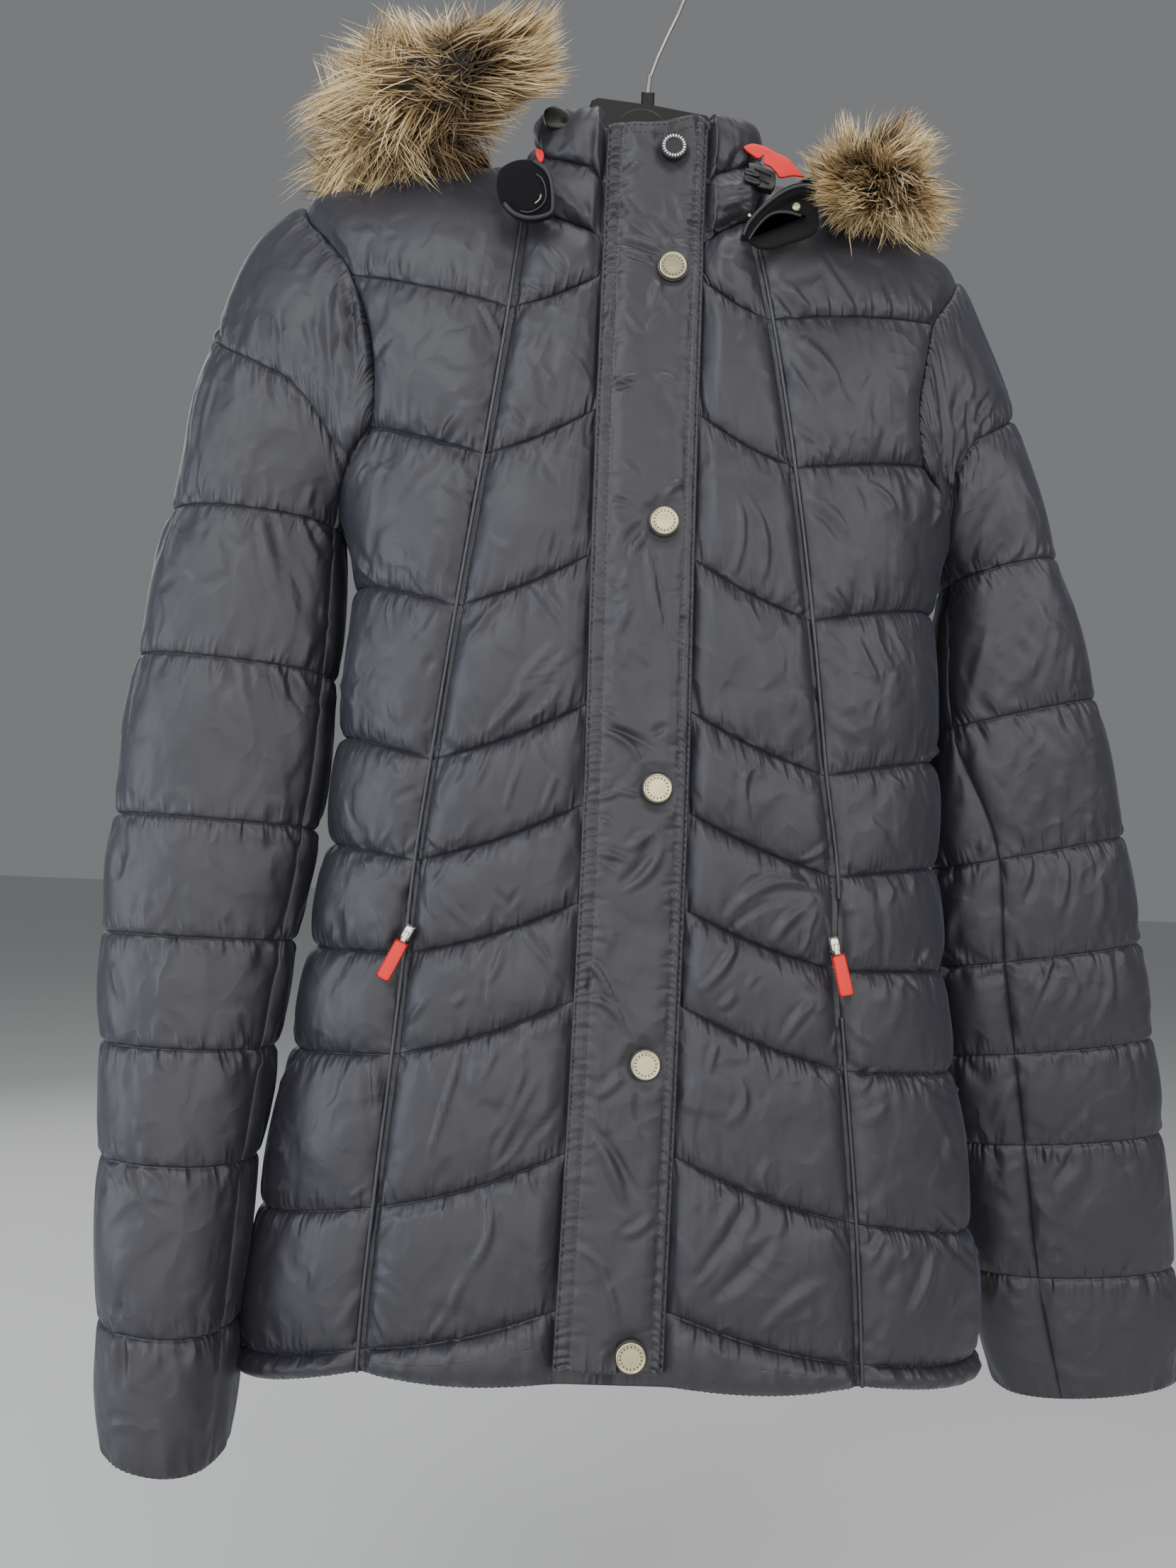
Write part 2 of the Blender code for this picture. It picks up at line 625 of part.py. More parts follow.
def side_front(side):
    """A front panel from the front seam to the armhole and side seam."""
    inner, inner_drops = seam_rows(side)
    outer, outer_drops = side_rows(side, -1)
    shares = np.linspace(0, 1, SIDE_COLUMNS)
    x = side * (inner[:, None] + (outer - inner)[:, None] * shares)
    drop = inner_drops[:, None] + (outer_drops - inner_drops)[:, None] * shares
    points = on_body(x, drop, -1)
    normals = body_normals(x, drop, -1)
    normals[:, -1] = border_normals(side, -1)
    normals[0] = ridge_normal(side)
    neck_rows = slice(0, 3)
    normals[neck_rows, 0] = mitre(points[neck_rows, 0], normals[neck_rows, 0])
    normals[0, 0] = mitre(points[0, 0], ridge_normal(side))
    normals[0, -1] = armhole_ring(side)[1][0]
    fullness = np.outer(swelling(SIDE_STEPS), SIDE_FULL)
    name = "front_side_left" if side < 0 else "front_side_right"
    padded(name, points, normals, fullness, "nylon")
    return points, normals


def back_panel():
    """The back, from side seam to side seam, up to the neck."""
    left, left_drops = side_rows(-1, 1)
    right, right_drops = side_rows(1, 1)
    middle_drops = subdivide([NECK_BACK] + list(column(LINES, 4)), SIDE_STEPS)
    rows = len(left)
    columns = len(BACK_TOP)
    x = np.zeros((rows, columns))
    drop = np.zeros((rows, columns))
    even = np.linspace(-1, 1, columns)
    spread = np.clip(np.arange(rows) / (SHOULDER_STEPS + CHANNEL_STEPS), 0, 1)
    spread = spread ** 2 * (3 - 2 * spread)
    top = np.array([-left[0], 0, -NECK[0], -NECK[0] / 2, 0, NECK[0] / 2, NECK[0], 0, right[0]])
    top[1] = (top[0] + top[2]) / 2
    top[7] = (top[6] + top[8]) / 2
    for j in range(rows):
        wide = np.where(even < 0, even * left[j], even * right[j])
        narrow = np.where(top < 0, top / left[0] * left[j], top / right[0] * right[j])
        x[j] = narrow + (wide - narrow) * spread[j]
        outer = np.where(even < 0, left_drops[j], right_drops[j])
        share = np.abs(x[j]) / np.where(even < 0, left[j], right[j])
        drop[j] = middle_drops[j] + (outer - middle_drops[j]) * share ** 2
    drop[0] = ridge(x[0])
    drop[0, 3:6] = (NECK_BACK - 0.002, NECK_BACK, NECK_BACK - 0.002)
    points = on_body(x, drop, 1)
    normals = body_normals(x, drop, 1)
    normals[:, 0] = border_normals(-1, 1)
    normals[:, -1] = border_normals(1, 1)
    normals[0, 1] = ridge_normal(-1)
    normals[0, -2] = ridge_normal(1)
    normals[0, 2] = mitre(points[0, 2], ridge_normal(-1))
    normals[0, 6] = mitre(points[0, 6], ridge_normal(1))
    normals[0, 3:6] = mitre(points[0, 3:6], normals[0, 3:6])
    across = (1 - np.abs(even) ** 5)
    fullness = np.outer(swelling(SIDE_STEPS), across)
    padded("back", points, normals, fullness, "nylon", SWELL, GAP)
    return points, normals


# ---- collar ---------------------------------------------------------------
def neck_half(centre, sides):
    """Half of the neck seam, from the middle front to the neck point."""
    front = np.concatenate([centre[0][0, ::-1], sides[0][1::-1, 0]])
    normals = np.concatenate([centre[1][0, ::-1], sides[1][1::-1, 0]])
    return front, normals


def collar(left, right, back):
    """The stand-up collar in two padded tiers, open at the middle front."""
    left_points, left_normals = neck_half(left[0], left[1])
    right_points, right_normals = neck_half(right[0], right[1])
    base = np.concatenate([left_points, back[0][0, 3:6], right_points[::-1]])
    base_normals = np.concatenate([left_normals, back[1][0, 3:6], right_normals[::-1]])
    widest = np.abs(base[:, 0]).max()
    away = np.abs(base[:, 0])
    squeeze = (COLLAR_TOP_WIDTH - FLAP) / (widest - FLAP)
    top = base.copy()
    top[:, 0] = np.sign(base[:, 0]) * np.where(away <= FLAP, away, FLAP + (away - FLAP) * squeeze)
    behind = base[:, 1] > -0.055
    top[behind, 0] = base[behind, 0] * COLLAR_TOP_BACK / NECK[0]
    top[:, 1] = base[:, 1] - 0.006
    top[:, 2] = -smooth(column(COLLAR_TOP, 0), column(COLLAR_TOP, 1), top[:, 1])
    top[0, 2] = top[-1, 2] = -COLLAR_TOP_MIDDLE[0]
    top[1, 2] = -COLLAR_TOP_MIDDLE[1]
    top[-2, 2] = -COLLAR_TOP_MIDDLE[2]
    level = top - np.array([0, HOOD_CENTRE, 0])
    level[:, 2] = 0
    rows = 2 * COLLAR_TIER + 1
    upright = unit(level)
    upright[[0, 1, -2, -1]] = (0, -1, 0)
    shares = np.linspace(0, 1, rows)[:, None, None]
    points = base + (top - base) * shares
    normals = unit(base_normals + (upright - base_normals) * np.clip(shares * 3, 0, 1))
    across = np.ones(len(base))
    across[[0, 1, -2, -1]] = 0
    fullness = np.outer(swelling([COLLAR_TIER, COLLAR_TIER]), across)
    surface = padded("collar", points, normals, fullness, "nylon", SWELL, 2 * GAP)
    return points, normals, surface


# ---- sleeves --------------------------------------------------------------
def sleeve_section(table, side, drop, count):
    """A ring of the sleeve at a drop, starting on its outer side."""
    knots = column(table, 0)
    x, y, half, deep, rise = [float(smooth(knots, column(table, k), drop)) for k in range(1, 6)]
    seams = SLEEVE_SEAM_LEFT if side < 0 else SLEEVE_SEAM_RIGHT
    seam = float(smooth(column(seams, 0), column(seams, 1), drop))
    stops = (0, UNDER_SLEEVE[0], UNDER_SLEEVE[1], 2 * UNDERARM_ROW)
    places = np.arange(count) * 2 * UNDERARM_ROW / count
    turn = np.radians(np.interp(places, stops, (0, seam, 240, 360)))
    power = 2 / SLEEVE_ROUNDNESS
    out = np.sign(np.cos(turn)) * np.abs(np.cos(turn)) ** power * half
    front = np.sign(np.sin(turn)) * np.abs(np.sin(turn)) ** power * deep
    points = np.stack([side * (x + out), y - front, -drop + out * rise], axis=-1)
    return points


def sleeve(side):
    """A two-piece sleeve from its armhole to the open cuff."""
    table = SLEEVE_LEFT if side < 0 else SLEEVE_RIGHT
    ring, ring_normals = armhole_ring(side)
    count = len(ring)
    first = sleeve_section(table, side, table[0][0], count)
    reach_top = CAP_REACH_LEFT if side < 0 else CAP_REACH_RIGHT
    low = (ring[:, 2].max() - ring[:, 2]) / np.ptp(ring[:, 2])
    spring = (reach_top + (UNDERARM_REACH - reach_top) * low ** 4)[:, None]
    away = np.array([side * 0.85, 0.0, -0.5]) * spring
    down = np.array([side * 0.1, 0.0, -1.0]) * spring
    length = np.linalg.norm(first - ring, axis=1, keepdims=True)
    rows = []
    for k in range(CAP_STEPS + 1):
        t = k / CAP_STEPS
        start = ring * (1 + 2 * t) * (1 - t) ** 2 + away * length * t * (1 - t) ** 2
        end = first * t ** 2 * (3 - 2 * t) - down * length * t ** 2 * (1 - t)
        rows.append(start + end)
    steps = [2] * (len(table) - 1)
    for drop in subdivide(list(column(table, 0)), steps)[1:]:
        rows.append(sleeve_section(table, side, drop, count))
    points = np.array(rows)
    along = np.gradient(points, axis=0)
    around = np.roll(points, -1, axis=1) - np.roll(points, 1, axis=1)
    normals = unit(np.cross(around, along))
    middle = points.mean(axis=1, keepdims=True)
    normals *= np.sign(np.sum(normals * (points - middle), axis=2, keepdims=True))
    normals[0] = ring_normals
    normals[1] = unit(normals[1] + ring_normals * 0.5)
    full = swelling([CAP_LINE, CAP_STEPS - CAP_LINE] + steps)
    facing_body = np.clip(-np.cos(np.arange(count) * 2 * math.pi / count), 0, 1)
    across = 1 - 0.75 * facing_body ** 2
    fullness = np.outer(full, across)
    low, high = UNDER_SLEEVE
    under = np.arange(low, high + 1)
    top = np.arange(high, low + count + 1) % count
    label = "left" if side < 0 else "right"
    for name, kept in (("sleeve_under_", under), ("sleeve_top_", top)):
        shape = fullness[:, kept].copy()
        shape[:, [0, -1]] = 0
        padded(name + label, points[:, kept], normals[:, kept], shape, "nylon",
               SLEEVE_SWELL, 2 * GAP)
    return points, normals


# ---- flap and fastenings --------------------------------------------------
def flap_shift(drop):
    """How far the flap lies to the right at a drop."""
    return smooth(column(FLAP_SHIFT, 0), column(FLAP_SHIFT, 1), drop)


def flap(left_surface, right_surface, collar_surface):
    """The front flap over the zip, from the collar's top to the hem."""
    upper = collar_surface[::-1]
    left = np.concatenate([upper[:-1, 1], left_surface[:, -2]])
    right = np.concatenate([upper[:-1, -2], right_surface[:, -2]])
    middle = np.concatenate([
        (upper[:-1, 0] + upper[:-1, -1]) / 2,
        (left_surface[:, -1] + right_surface[:, -1]) / 2,
    ])
    band = FLAP_BAND / FLAP
    rows = [left, left + (middle - left) * band, middle, right + (middle - right) * band, right]
    back = np.stack(rows, axis=1)
    back[0, :, 2] += (0.000, 0.002, 0.003, 0.003, -0.004)
    back[-1] = back[-2] + (back[-1] - back[-2]) * 0.6
    shift = flap_shift(-back[:, :, 2])
    back[:, :, 1] -= FLAP_CLEAR + FLAP_RIDE * np.abs(shift)
    back[:, :, 0] += shift
    lift = np.array([0.7, 1.25, 1.4, 1.25, 0.7]) * FLAP_WALL
    front = back.copy()
    front[:, :, 1] -= lift
    wall("flap", front, back, "nylon")
    return front


def flap_face(front, drop, radius):
    """The flap's foremost y within a radius of a place."""
    reach_rows = np.abs(-front[:, 2, 2] - drop) < radius + 0.03
    rows = front[reach_rows]
    heights = -rows[:, 2, 2]
    best = 1.0
    for z in np.linspace(drop - radius, drop + radius, 9):
        best = min(best, np.interp(z, heights, rows[:, 2, 1]), np.interp(z, heights, rows[:, 3, 1]))
    return best


def snaps(front):
    """Five round snap caps and the round badge above them."""
    dome = ((0.94, 0.0), (1.0, 0.15), (1.0, 0.6), (0.9, 0.9), (0.78, 1.0))
    profile = [(r * SNAP_RADIUS, h * SNAP_HEIGHT) for r, h in dome]
    for k in range(SNAP_COUNT):
        drop = SNAP_FIRST + k * SNAP_PITCH
        x = SNAP_X + float(flap_shift(drop))
        y = flap_face(front, drop, SNAP_RADIUS) - GAP
        turned("snap_%d" % (k + 1), profile, (x, y, -drop), (0, -1, 0), "metal", 18)
    x, drop, radius = BADGE
    y = flap_face(front, drop, radius) - GAP
    rim = [(radius * 0.95, 0.0), (radius, 0.0003), (radius, 0.0012), (radius * 0.94, 0.0017)]
    turned("badge_front", rim, (x, y, -drop), (0, -1, 0), "rubber_black")


def piping(side, points, normals):
    """The corded edge that covers a front seam, down to the hem."""
    start = 3
    path = points[start:, 0] + normals[start:, 0] * (WALL / 2 + GAP + PIPING)
    path = np.concatenate([[path[0] + (path[0] - path[1]) * 0.5 - (0, 0.001, 0)], path])
    path[-1] += (0, 0, 0.001)
    name = "piping_left" if side < 0 else "piping_right"
    tube(name, round_rings(path, PIPING, 5, (0, 1, 0)), "nylon")


# ---- hood -----------------------------------------------------------------
def around_neck(turn, out, drop):
    """Points at a turn about the neck (0 at the back), a distance and a drop."""
    return np.stack([out * np.sin(turn), HOOD_CENTRE + out * np.cos(turn), -drop], axis=-1)


def fur_trim():
    """The fur along the hood's edge, as the solid that its hairs fill."""
    turn, out, drop, radius, clear = [column(FUR, k) for k in range(5)]
    angle = np.arange(FUR_SIDES) * 2 * math.pi / FUR_SIDES
    away = out[:, None] + radius[:, None] * np.sin(angle)
    low = drop[:, None] - radius[:, None] * np.cos(angle)
    rings = around_neck(np.radians(turn)[:, None], away, low)
    rings = clear_of_body(rings, clear[:, None])
    tube("hood_fur", rings, "fur")
    return rings


def under_fur(rings, distance):
    """The least drop at which the hood stays under each ring of the fur."""
    lower = slice(FUR_SIDES // 4, FUR_SIDES * 3 // 4 + 1)
    drops = []
    for ring, out in zip(rings, distance):
        away = np.hypot(ring[lower, 0], ring[lower, 1] - HOOD_CENTRE)
        order = np.argsort(away)
        inside = away.min() - 0.001 < out < away.max() + 0.001
        low = np.interp(out, away[order], -ring[lower, 2][order])
        drops.append(low + HOOD_WALL / 2 + LINING + 3 * GAP if inside else 0.0)
    return np.array(drops)


def hood(collar_surface, fur_rings):
    """The folded hood: a pouch from the neck seam to the fur, and its lining."""
    turns = np.radians(column(FUR, 0))[HOOD_ENDS]
    seam = collar_surface[HOOD_SEAM_ROW]
    seam_turn = np.arctan2(seam[:, 0], seam[:, 1] - HOOD_CENTRE)
    seam_out = np.hypot(seam[:, 0], seam[:, 1] - HOOD_CENTRE)
    near = np.interp(turns, seam_turn, seam_out) + HOOD_WALL / 2 + 0.0018
    height = np.interp(turns, seam_turn, -seam[:, 2])
    edge = fur_rings[HOOD_ENDS, FUR_SIDES // 2]
    far = np.hypot(edge[:, 0], edge[:, 1] - HOOD_CENTRE)
    edge_drop = -edge[:, 2] + HOOD_WALL / 2 + GAP
    deep = HOOD_DEPTH * np.clip(np.cos(turns / HOOD_SPAN * math.pi / 2), 0, 1) ** 1.5
    back = np.clip(HOOD_BACK / np.clip(np.cos(turns), 0.1, 1), near * 1.2, near * 0.3 + far * 0.7)
    rows = []
    for out, share in HOOD_ROWS:
        distance = np.where(out < 1, near + (back - near) * out, back + (far - back) * (out - 1))
        along = (distance - near) / (far - near)
        sag = HOOD_SAG * np.sin(math.pi * along)
        drop = height + (edge_drop - height) * along + sag + deep * share
        drop = np.maximum(drop, under_fur(fur_rings[HOOD_ENDS], distance))
        row = around_neck(turns, distance, drop)
        rows.append(clear_of_body(row, HOOD_CLEAR) if out > 0.5 else row)
    rows.append(around_neck(turns, far, edge_drop))
    points = np.array(rows)
    along = np.gradient(points, axis=0)
    across = np.gradient(points, axis=1)
    normals = unit(np.cross(across, along))
    if normals[6, len(turns) // 2, 2] > 0:
        normals = -normals
    padded("hood_shell", points, normals, np.zeros(points.shape[:2]), "nylon", 0)
    inside = points[1:-1] - normals[1:-1] * (HOOD_WALL / 2 + 4 * GAP)
    inside = inset(inside[:, 1:-1], "news", 0.003)
    wall("hood_lining", inside, inside - normals[1:-1, 1:-1] * LINING, "lining")


def tab(side, x0, y0, drop0, x1, y1, drop1, width):
    """A rounded velvet tab from under the fur towards the front neck seam."""
    start = np.array([x0, y0, -drop0])
    end = np.array([x1, y1, -drop1])
    along = unit(end - start)
    across = unit(np.cross(along, (0, 1, 0)))
    length = np.linalg.norm(end - start)
    rows = []
    for share in (0, 0.3, 0.6, 0.8, 0.92, 1.0):
        round_part = max(0.0, share * length - (length - width / 2)) / (width / 2)
        half = width / 2 * math.sqrt(1 - 0.94 * round_part ** 2)
        row = [start + along * share * length + across * half * u for u in (-1, -0.5, 0, 0.5, 1)]
        rows.append(row)
    points = np.array(rows)
    points[:, :, 1] -= 0.004 * np.sin(np.linspace(0, math.pi, 5))
    normals = np.zeros_like(points)
    normals[:, :, 1] = -1
    outer = points + normals * TAB_WALL / 2
    inner = points - normals * TAB_WALL / 2
    name = "hood_tab_left" if side < 0 else "hood_tab_right"
    wall(name, outer, inner, "velvet")
    return outer


def box(name, size, place, turn, look):
    """A box with bevelled edges, turned by a matrix."""
    body = bmesh.new()
    bmesh.ops.create_cube(body, size=1)
    bmesh.ops.scale(body, verts=body.verts, vec=size)
    bmesh.ops.bevel(body, geom=body.edges, offset=min(size) * 0.2, segments=1, affect="EDGES")
    mesh = bpy.data.meshes.new(name)
    body.to_mesh(mesh)
    body.free()
    mesh.materials.append(material(look))
    made = bpy.data.objects.new(name, mesh)
    made.matrix_world = Matrix.Translation(place) @ turn.to_4x4()
    bpy.context.scene.collection.objects.link(made)
    return made


def lean_matrix(degrees):
    """The turn of a pocket pull about the depth axis."""
    return Matrix.Rotation(math.radians(degrees), 3, "Y")


def clips(surface, normals):
    """The black clips that button the hood to the collar's outside."""
    for name, first, second, sink, clear in (
        ("clip_right", (2, -6), (3, -7), -0.35, 0.0042),
        ("clip_left", (5, 5), (6, 6), 0.45, 0.0048),
    ):
        outward = Vector(normals[first] + normals[second]).normalized()
        level = outward.cross((0, 0, 1)).normalized()
        along = (level + Vector((0, 0, sink))).normalized()
        across = along.cross(outward).normalized()
        along = outward.cross(across)
        turn = Matrix((along, outward, across)).transposed()
        seat = Vector(surface[first] + surface[second]) / 2
        place = seat + outward * (CLIP[1] / 2 + clear)
        box(name, CLIP, place, turn, "plastic")


# ---- zips and small trim --------------------------------------------------
def pocket_zip(label, x, drop, lean, out):
    """A pocket zip's slider over its seam, with its link and rubber pull."""
    seat = float(depth(np.array(x), np.array(drop), -1)) - out
    hinge = Vector((x, seat - HINGE_OUT, -drop))
    front = hinge.y + LINK[1] / 2 + GAP
    size = (SLIDER[0], seat - front, SLIDER[1])
    middle = (x, (seat + front) / 2, -drop)
    box("slider_" + label, size, middle, lean_matrix(lean), "metal")
    pivot = bpy.data.objects.new("hinge_" + label, None)
    pivot.matrix_world = Matrix.Translation(hinge) @ lean_matrix(lean).to_4x4()
    bpy.context.scene.collection.objects.link(pivot)
    still = Matrix.Identity(3)
    link_middle = LINK_EYE - LINK[2] / 2
    link = box("pull_link_" + label, LINK, (0, 0, link_middle), still, "metal")
    pull_middle = LINK_EYE - LINK[2] - GAP - PULL[2] / 2
    pull = box("pull_" + label, PULL, (0, 0, pull_middle), still, "rubber")
    link.parent = pivot
    pull.parent = pivot


def eyelet(face):
    """The metal eyelet on the right tab."""
    seat = face[EYELET_PLACE] + (0, -4 * GAP, 0)
    radius, height = EYELET
    rim = ((radius, 0.0), (radius, height * 0.6), (radius * 0.8, height))
    turned("eyelet", rim, seat, (0, -1, 0), "metal", 12)


def sleeve_badge(points, normals):
    """The small round badge on the right sleeve's outer side."""
    row = CAP_STEPS - 1
    radius, height = BADGE_SLEEVE
    seat = (points[row, 0] + points[row - 1, 0]) / 2
    seat = seat + normals[row, 0] * (WALL / 2 + SLEEVE_SWELL + 2 * GAP)
    rim = ((radius * 0.95, 0.0), (radius, 0.0003), (radius, height * 0.7), (radius * 0.93, height))
    turned("badge_sleeve", rim, seat, normals[row, 0], "rubber_black", 20)


# ---- hanger ---------------------------------------------------------------
def hanger():
    """The hanger's plate and arms, the bare disc on it and the hook's wire."""
    upper_left = []
    upper_right = []
    for shares, tip, side, into in (
        (np.linspace(0.05, 0.9, 6), TIP_LEFT, -1, upper_left),
        (np.linspace(0.05, 0.9, 6), TIP_RIGHT, 1, upper_right),
    ):
        for share in shares:
            x = side * (NECK[0] + (tip[0] - NECK[0]) * share)
            into.append((x, float(ridge(np.array(x))) + HANGER_CLEAR))
    lower = []
    for into in (upper_left, upper_right):
        heights = np.linspace(HANGER_ARM[0], HANGER_ARM[1], len(into))
        lower.append([(x, drop + high) for (x, drop), high in zip(into, heights)])
    half, top = SOCKET
    socket = [(SOCKET_X + half, top), (SOCKET_X - half, top)]
    outline = list(reversed(HANGER_RIGHT)) + socket + list(HANGER_LEFT)
    outline += upper_left + lower[0][::-1] + [(0.0, HANGER_BOTTOM)] + lower[1]
    outline += upper_right[::-1]
    slab("hanger", [(x, -drop) for x, drop in outline], HANGER_WALL, "plastic", 0.0012)
    x, drop, radius, height = DISC
    rim = ((radius, 0.0), (radius, height * 0.6), (radius * 0.97, height))
    turned("hanger_disc", rim, (x, -HANGER_WALL / 2 - GAP, -drop), (0, -1, 0), "plastic", 32)
    bend = HOOK_WIRE - HOOK_RADIUS
    path = [(px, 0, -pd) for px, pd in HOOK_STEM]
    for angle in np.radians(np.linspace(-28, 200, 20)):
        path.append((HOOK_RADIUS * math.cos(angle), 0, bend + HOOK_RADIUS * math.sin(angle)))
    tube("hook", round_rings(path, HOOK_WIRE, 8, (0, 1, 0)), "steel")


def main():
    """Build the whole jacket."""
    for old in list(bpy.data.objects):
        bpy.data.objects.remove(old, do_unlink=True)
    centre = {side: centre_front(side) for side in (-1, 1)}
    sides = {side: side_front(side) for side in (-1, 1)}
    back = back_panel()
    collar_parts = collar((centre[-1], sides[-1]), (centre[1], sides[1]), back)
    sleeves = {side: sleeve(side) for side in (-1, 1)}
    front = flap(centre[-1][2], centre[1][2], collar_parts[2])
    snaps(front)
    piping(-1, *sides[-1])
    piping(1, *sides[1])
    pocket_zip("left", *PULL_LEFT)
    pocket_zip("right", *PULL_RIGHT)
    tab(-1, *TABS[0])
    eyelet(tab(1, *TABS[1]))
    sleeve_badge(*sleeves[1])
    hood(collar_parts[2], fur_trim())
    clips(collar_parts[2], collar_parts[1])
    hanger()


main()
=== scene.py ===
"""Looks of the quilted jacket: cloth, fur, trims, hanger, light and camera.

The forms repeat the part's own tables, in metres, with `drop` as the distance
below the hook's inner top. "left" and "right" are the sides at -X and +X.
"""
import json
import math

import bmesh
import bpy
import numpy as np
from mathutils import Matrix, Vector

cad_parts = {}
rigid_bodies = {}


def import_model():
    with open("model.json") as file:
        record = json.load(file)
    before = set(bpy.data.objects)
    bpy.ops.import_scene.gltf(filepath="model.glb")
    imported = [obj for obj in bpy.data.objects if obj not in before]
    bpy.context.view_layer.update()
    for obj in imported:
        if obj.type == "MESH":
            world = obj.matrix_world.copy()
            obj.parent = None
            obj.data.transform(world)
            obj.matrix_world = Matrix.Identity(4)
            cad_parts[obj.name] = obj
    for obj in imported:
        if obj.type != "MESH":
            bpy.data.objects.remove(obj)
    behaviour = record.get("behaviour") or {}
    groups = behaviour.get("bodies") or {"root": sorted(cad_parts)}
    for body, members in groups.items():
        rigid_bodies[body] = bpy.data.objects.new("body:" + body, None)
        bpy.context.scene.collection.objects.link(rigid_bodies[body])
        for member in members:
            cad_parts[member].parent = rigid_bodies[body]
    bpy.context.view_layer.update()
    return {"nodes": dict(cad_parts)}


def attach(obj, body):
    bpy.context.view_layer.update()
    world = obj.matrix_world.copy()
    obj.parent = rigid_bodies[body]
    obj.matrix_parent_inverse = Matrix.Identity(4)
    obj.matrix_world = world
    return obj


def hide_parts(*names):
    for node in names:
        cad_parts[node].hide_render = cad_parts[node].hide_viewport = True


for old in list(bpy.data.objects):
    bpy.data.objects.remove(old, do_unlink=True)
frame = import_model()


# ---- cloth ----------------------------------------------------------------
GAP = 0.0003          # between neighbouring pieces
WALL = 0.003          # quilted cloth along a stitch line
SWELL = 0.0085        # what the padding adds outside between stitch lines
SLEEVE_SWELL = 0.005


# ---- body -----------------------------------------------------------------
# The side seams, the shoulder ridges and the hanger all lie at y = 0.
ROUNDNESS = 2.6       # superellipse exponent of the body's section
CROWN = 0.11          # height over which the shoulders round off
CROWN_ROUNDNESS = 2.2
NECK = (0.066, 0.165)             # neck point: half width, drop
TIP_LEFT = (0.213, 0.188)         # shoulder tip: distance out, drop
TIP_RIGHT = (0.195, 0.214)
FLAP = 0.0286         # half width of the front flap
NECK_FRONT = 0.235    # drop of the neck seam at the middle front
NECK_FLAP = 0.233     # the same at the flap's edges
NECK_SEAM = 0.213     # drop where the front seams meet the neck seam
NECK_BACK = 0.172

# Sections of the body: where front and back lie (y) and how far out each
# side reaches. Above the underarm the sides run on inside the sleeves.
BODY = (
    # drop, front, back, left, right
    (0.160, -0.074, 0.072, 0.245, 0.235),
    (0.200, -0.076, 0.075, 0.235, 0.225),
    (0.260, -0.078, 0.078, 0.212, 0.208),
    (0.330, -0.079, 0.079, 0.190, 0.194),
    (0.375, -0.079, 0.078, 0.172, 0.184),
    (0.410, -0.079, 0.077, 0.166, 0.179),
    (0.500, -0.077, 0.073, 0.166, 0.180),
    (0.585, -0.075, 0.071, 0.170, 0.182),
    (0.640, -0.076, 0.073, 0.176, 0.186),
    (0.720, -0.078, 0.078, 0.187, 0.196),
    (0.800, -0.080, 0.082, 0.199, 0.206),
    (0.850, -0.081, 0.085, 0.204, 0.209),
    (0.900, -0.081, 0.087, 0.204, 0.207),
)

# Quilt lines from the chest down, ending in the hem edge: their drops where
# they meet the flap, the front seams, each side and the middle of the back,
# and how far the front seams lie from the middle there.
LINES = (
    # flap, seam, side left, side right, back, seam left, seam right
    (0.258, 0.279, 0.254, 0.264, 0.258, 0.0800, 0.0690),
    (0.337, 0.364, 0.343, 0.350, 0.343, 0.0900, 0.0840),
    (0.420, 0.450, 0.431, 0.431, 0.430, 0.1010, 0.0965),
    (0.504, 0.536, 0.520, 0.520, 0.518, 0.1110, 0.1070),
    (0.559, 0.592, 0.583, 0.583, 0.578, 0.1170, 0.1150),
    (0.612, 0.643, 0.643, 0.643, 0.636, 0.1200, 0.1165),
    (0.664, 0.697, 0.701, 0.701, 0.693, 0.1235, 0.1210),
    (0.743, 0.777, 0.790, 0.790, 0.780, 0.1290, 0.1280),
    (0.822, 0.849, 0.866, 0.858, 0.860, 0.1325, 0.1320),
    (0.859, 0.860, 0.880, 0.871, 0.880, 0.1325, 0.1325),
)
SEAM_TOP = (0.0740, 0.0560)       # front seams at the neck, left and right
SHOULDER_STEPS = 5                # rows above the first line at the armholes
CHANNEL_STEPS = 3                 # rows between two lines
HEM_STEPS = 2
UNDERARM_ROW = SHOULDER_STEPS + CHANNEL_STEPS + 1

# Armholes: how far out they lie, front and back, by drop.
ARMHOLES = (
    # drop, front left, front right, back left, back right
    (0.186, 0.214, 0.200, 0.214, 0.200),
    (0.214, 0.203, 0.195, 0.203, 0.195),
    (0.240, 0.182, 0.184, 0.190, 0.186),
    (0.262, 0.170, 0.170, 0.181, 0.178),
    (0.299, 0.158, 0.162, 0.171, 0.170),
    (0.343, 0.158, 0.162, 0.168, 0.170),
    (0.372, 0.170, 0.181, 0.170, 0.181),
)
UNDERARM_OUT = 0.006              # the underarm seam stands out from the side


# ---- collar ---------------------------------------------------------------
COLLAR_TOP = (
    # depth (y), drop of the collar's upper edge
    (-0.082, 0.161),
    (-0.038, 0.139),
    (0.002, 0.118),
    (0.028, 0.111),
)
COLLAR_TOP_WIDTH = 0.047          # half width of the upper edge in front
COLLAR_TOP_BACK = 0.056           # and at the neck points
COLLAR_TOP_MIDDLE = (0.172, 0.172, 0.164)  # its drops under the flap
COLLAR_TIER = 3                   # rows in each of the two tiers


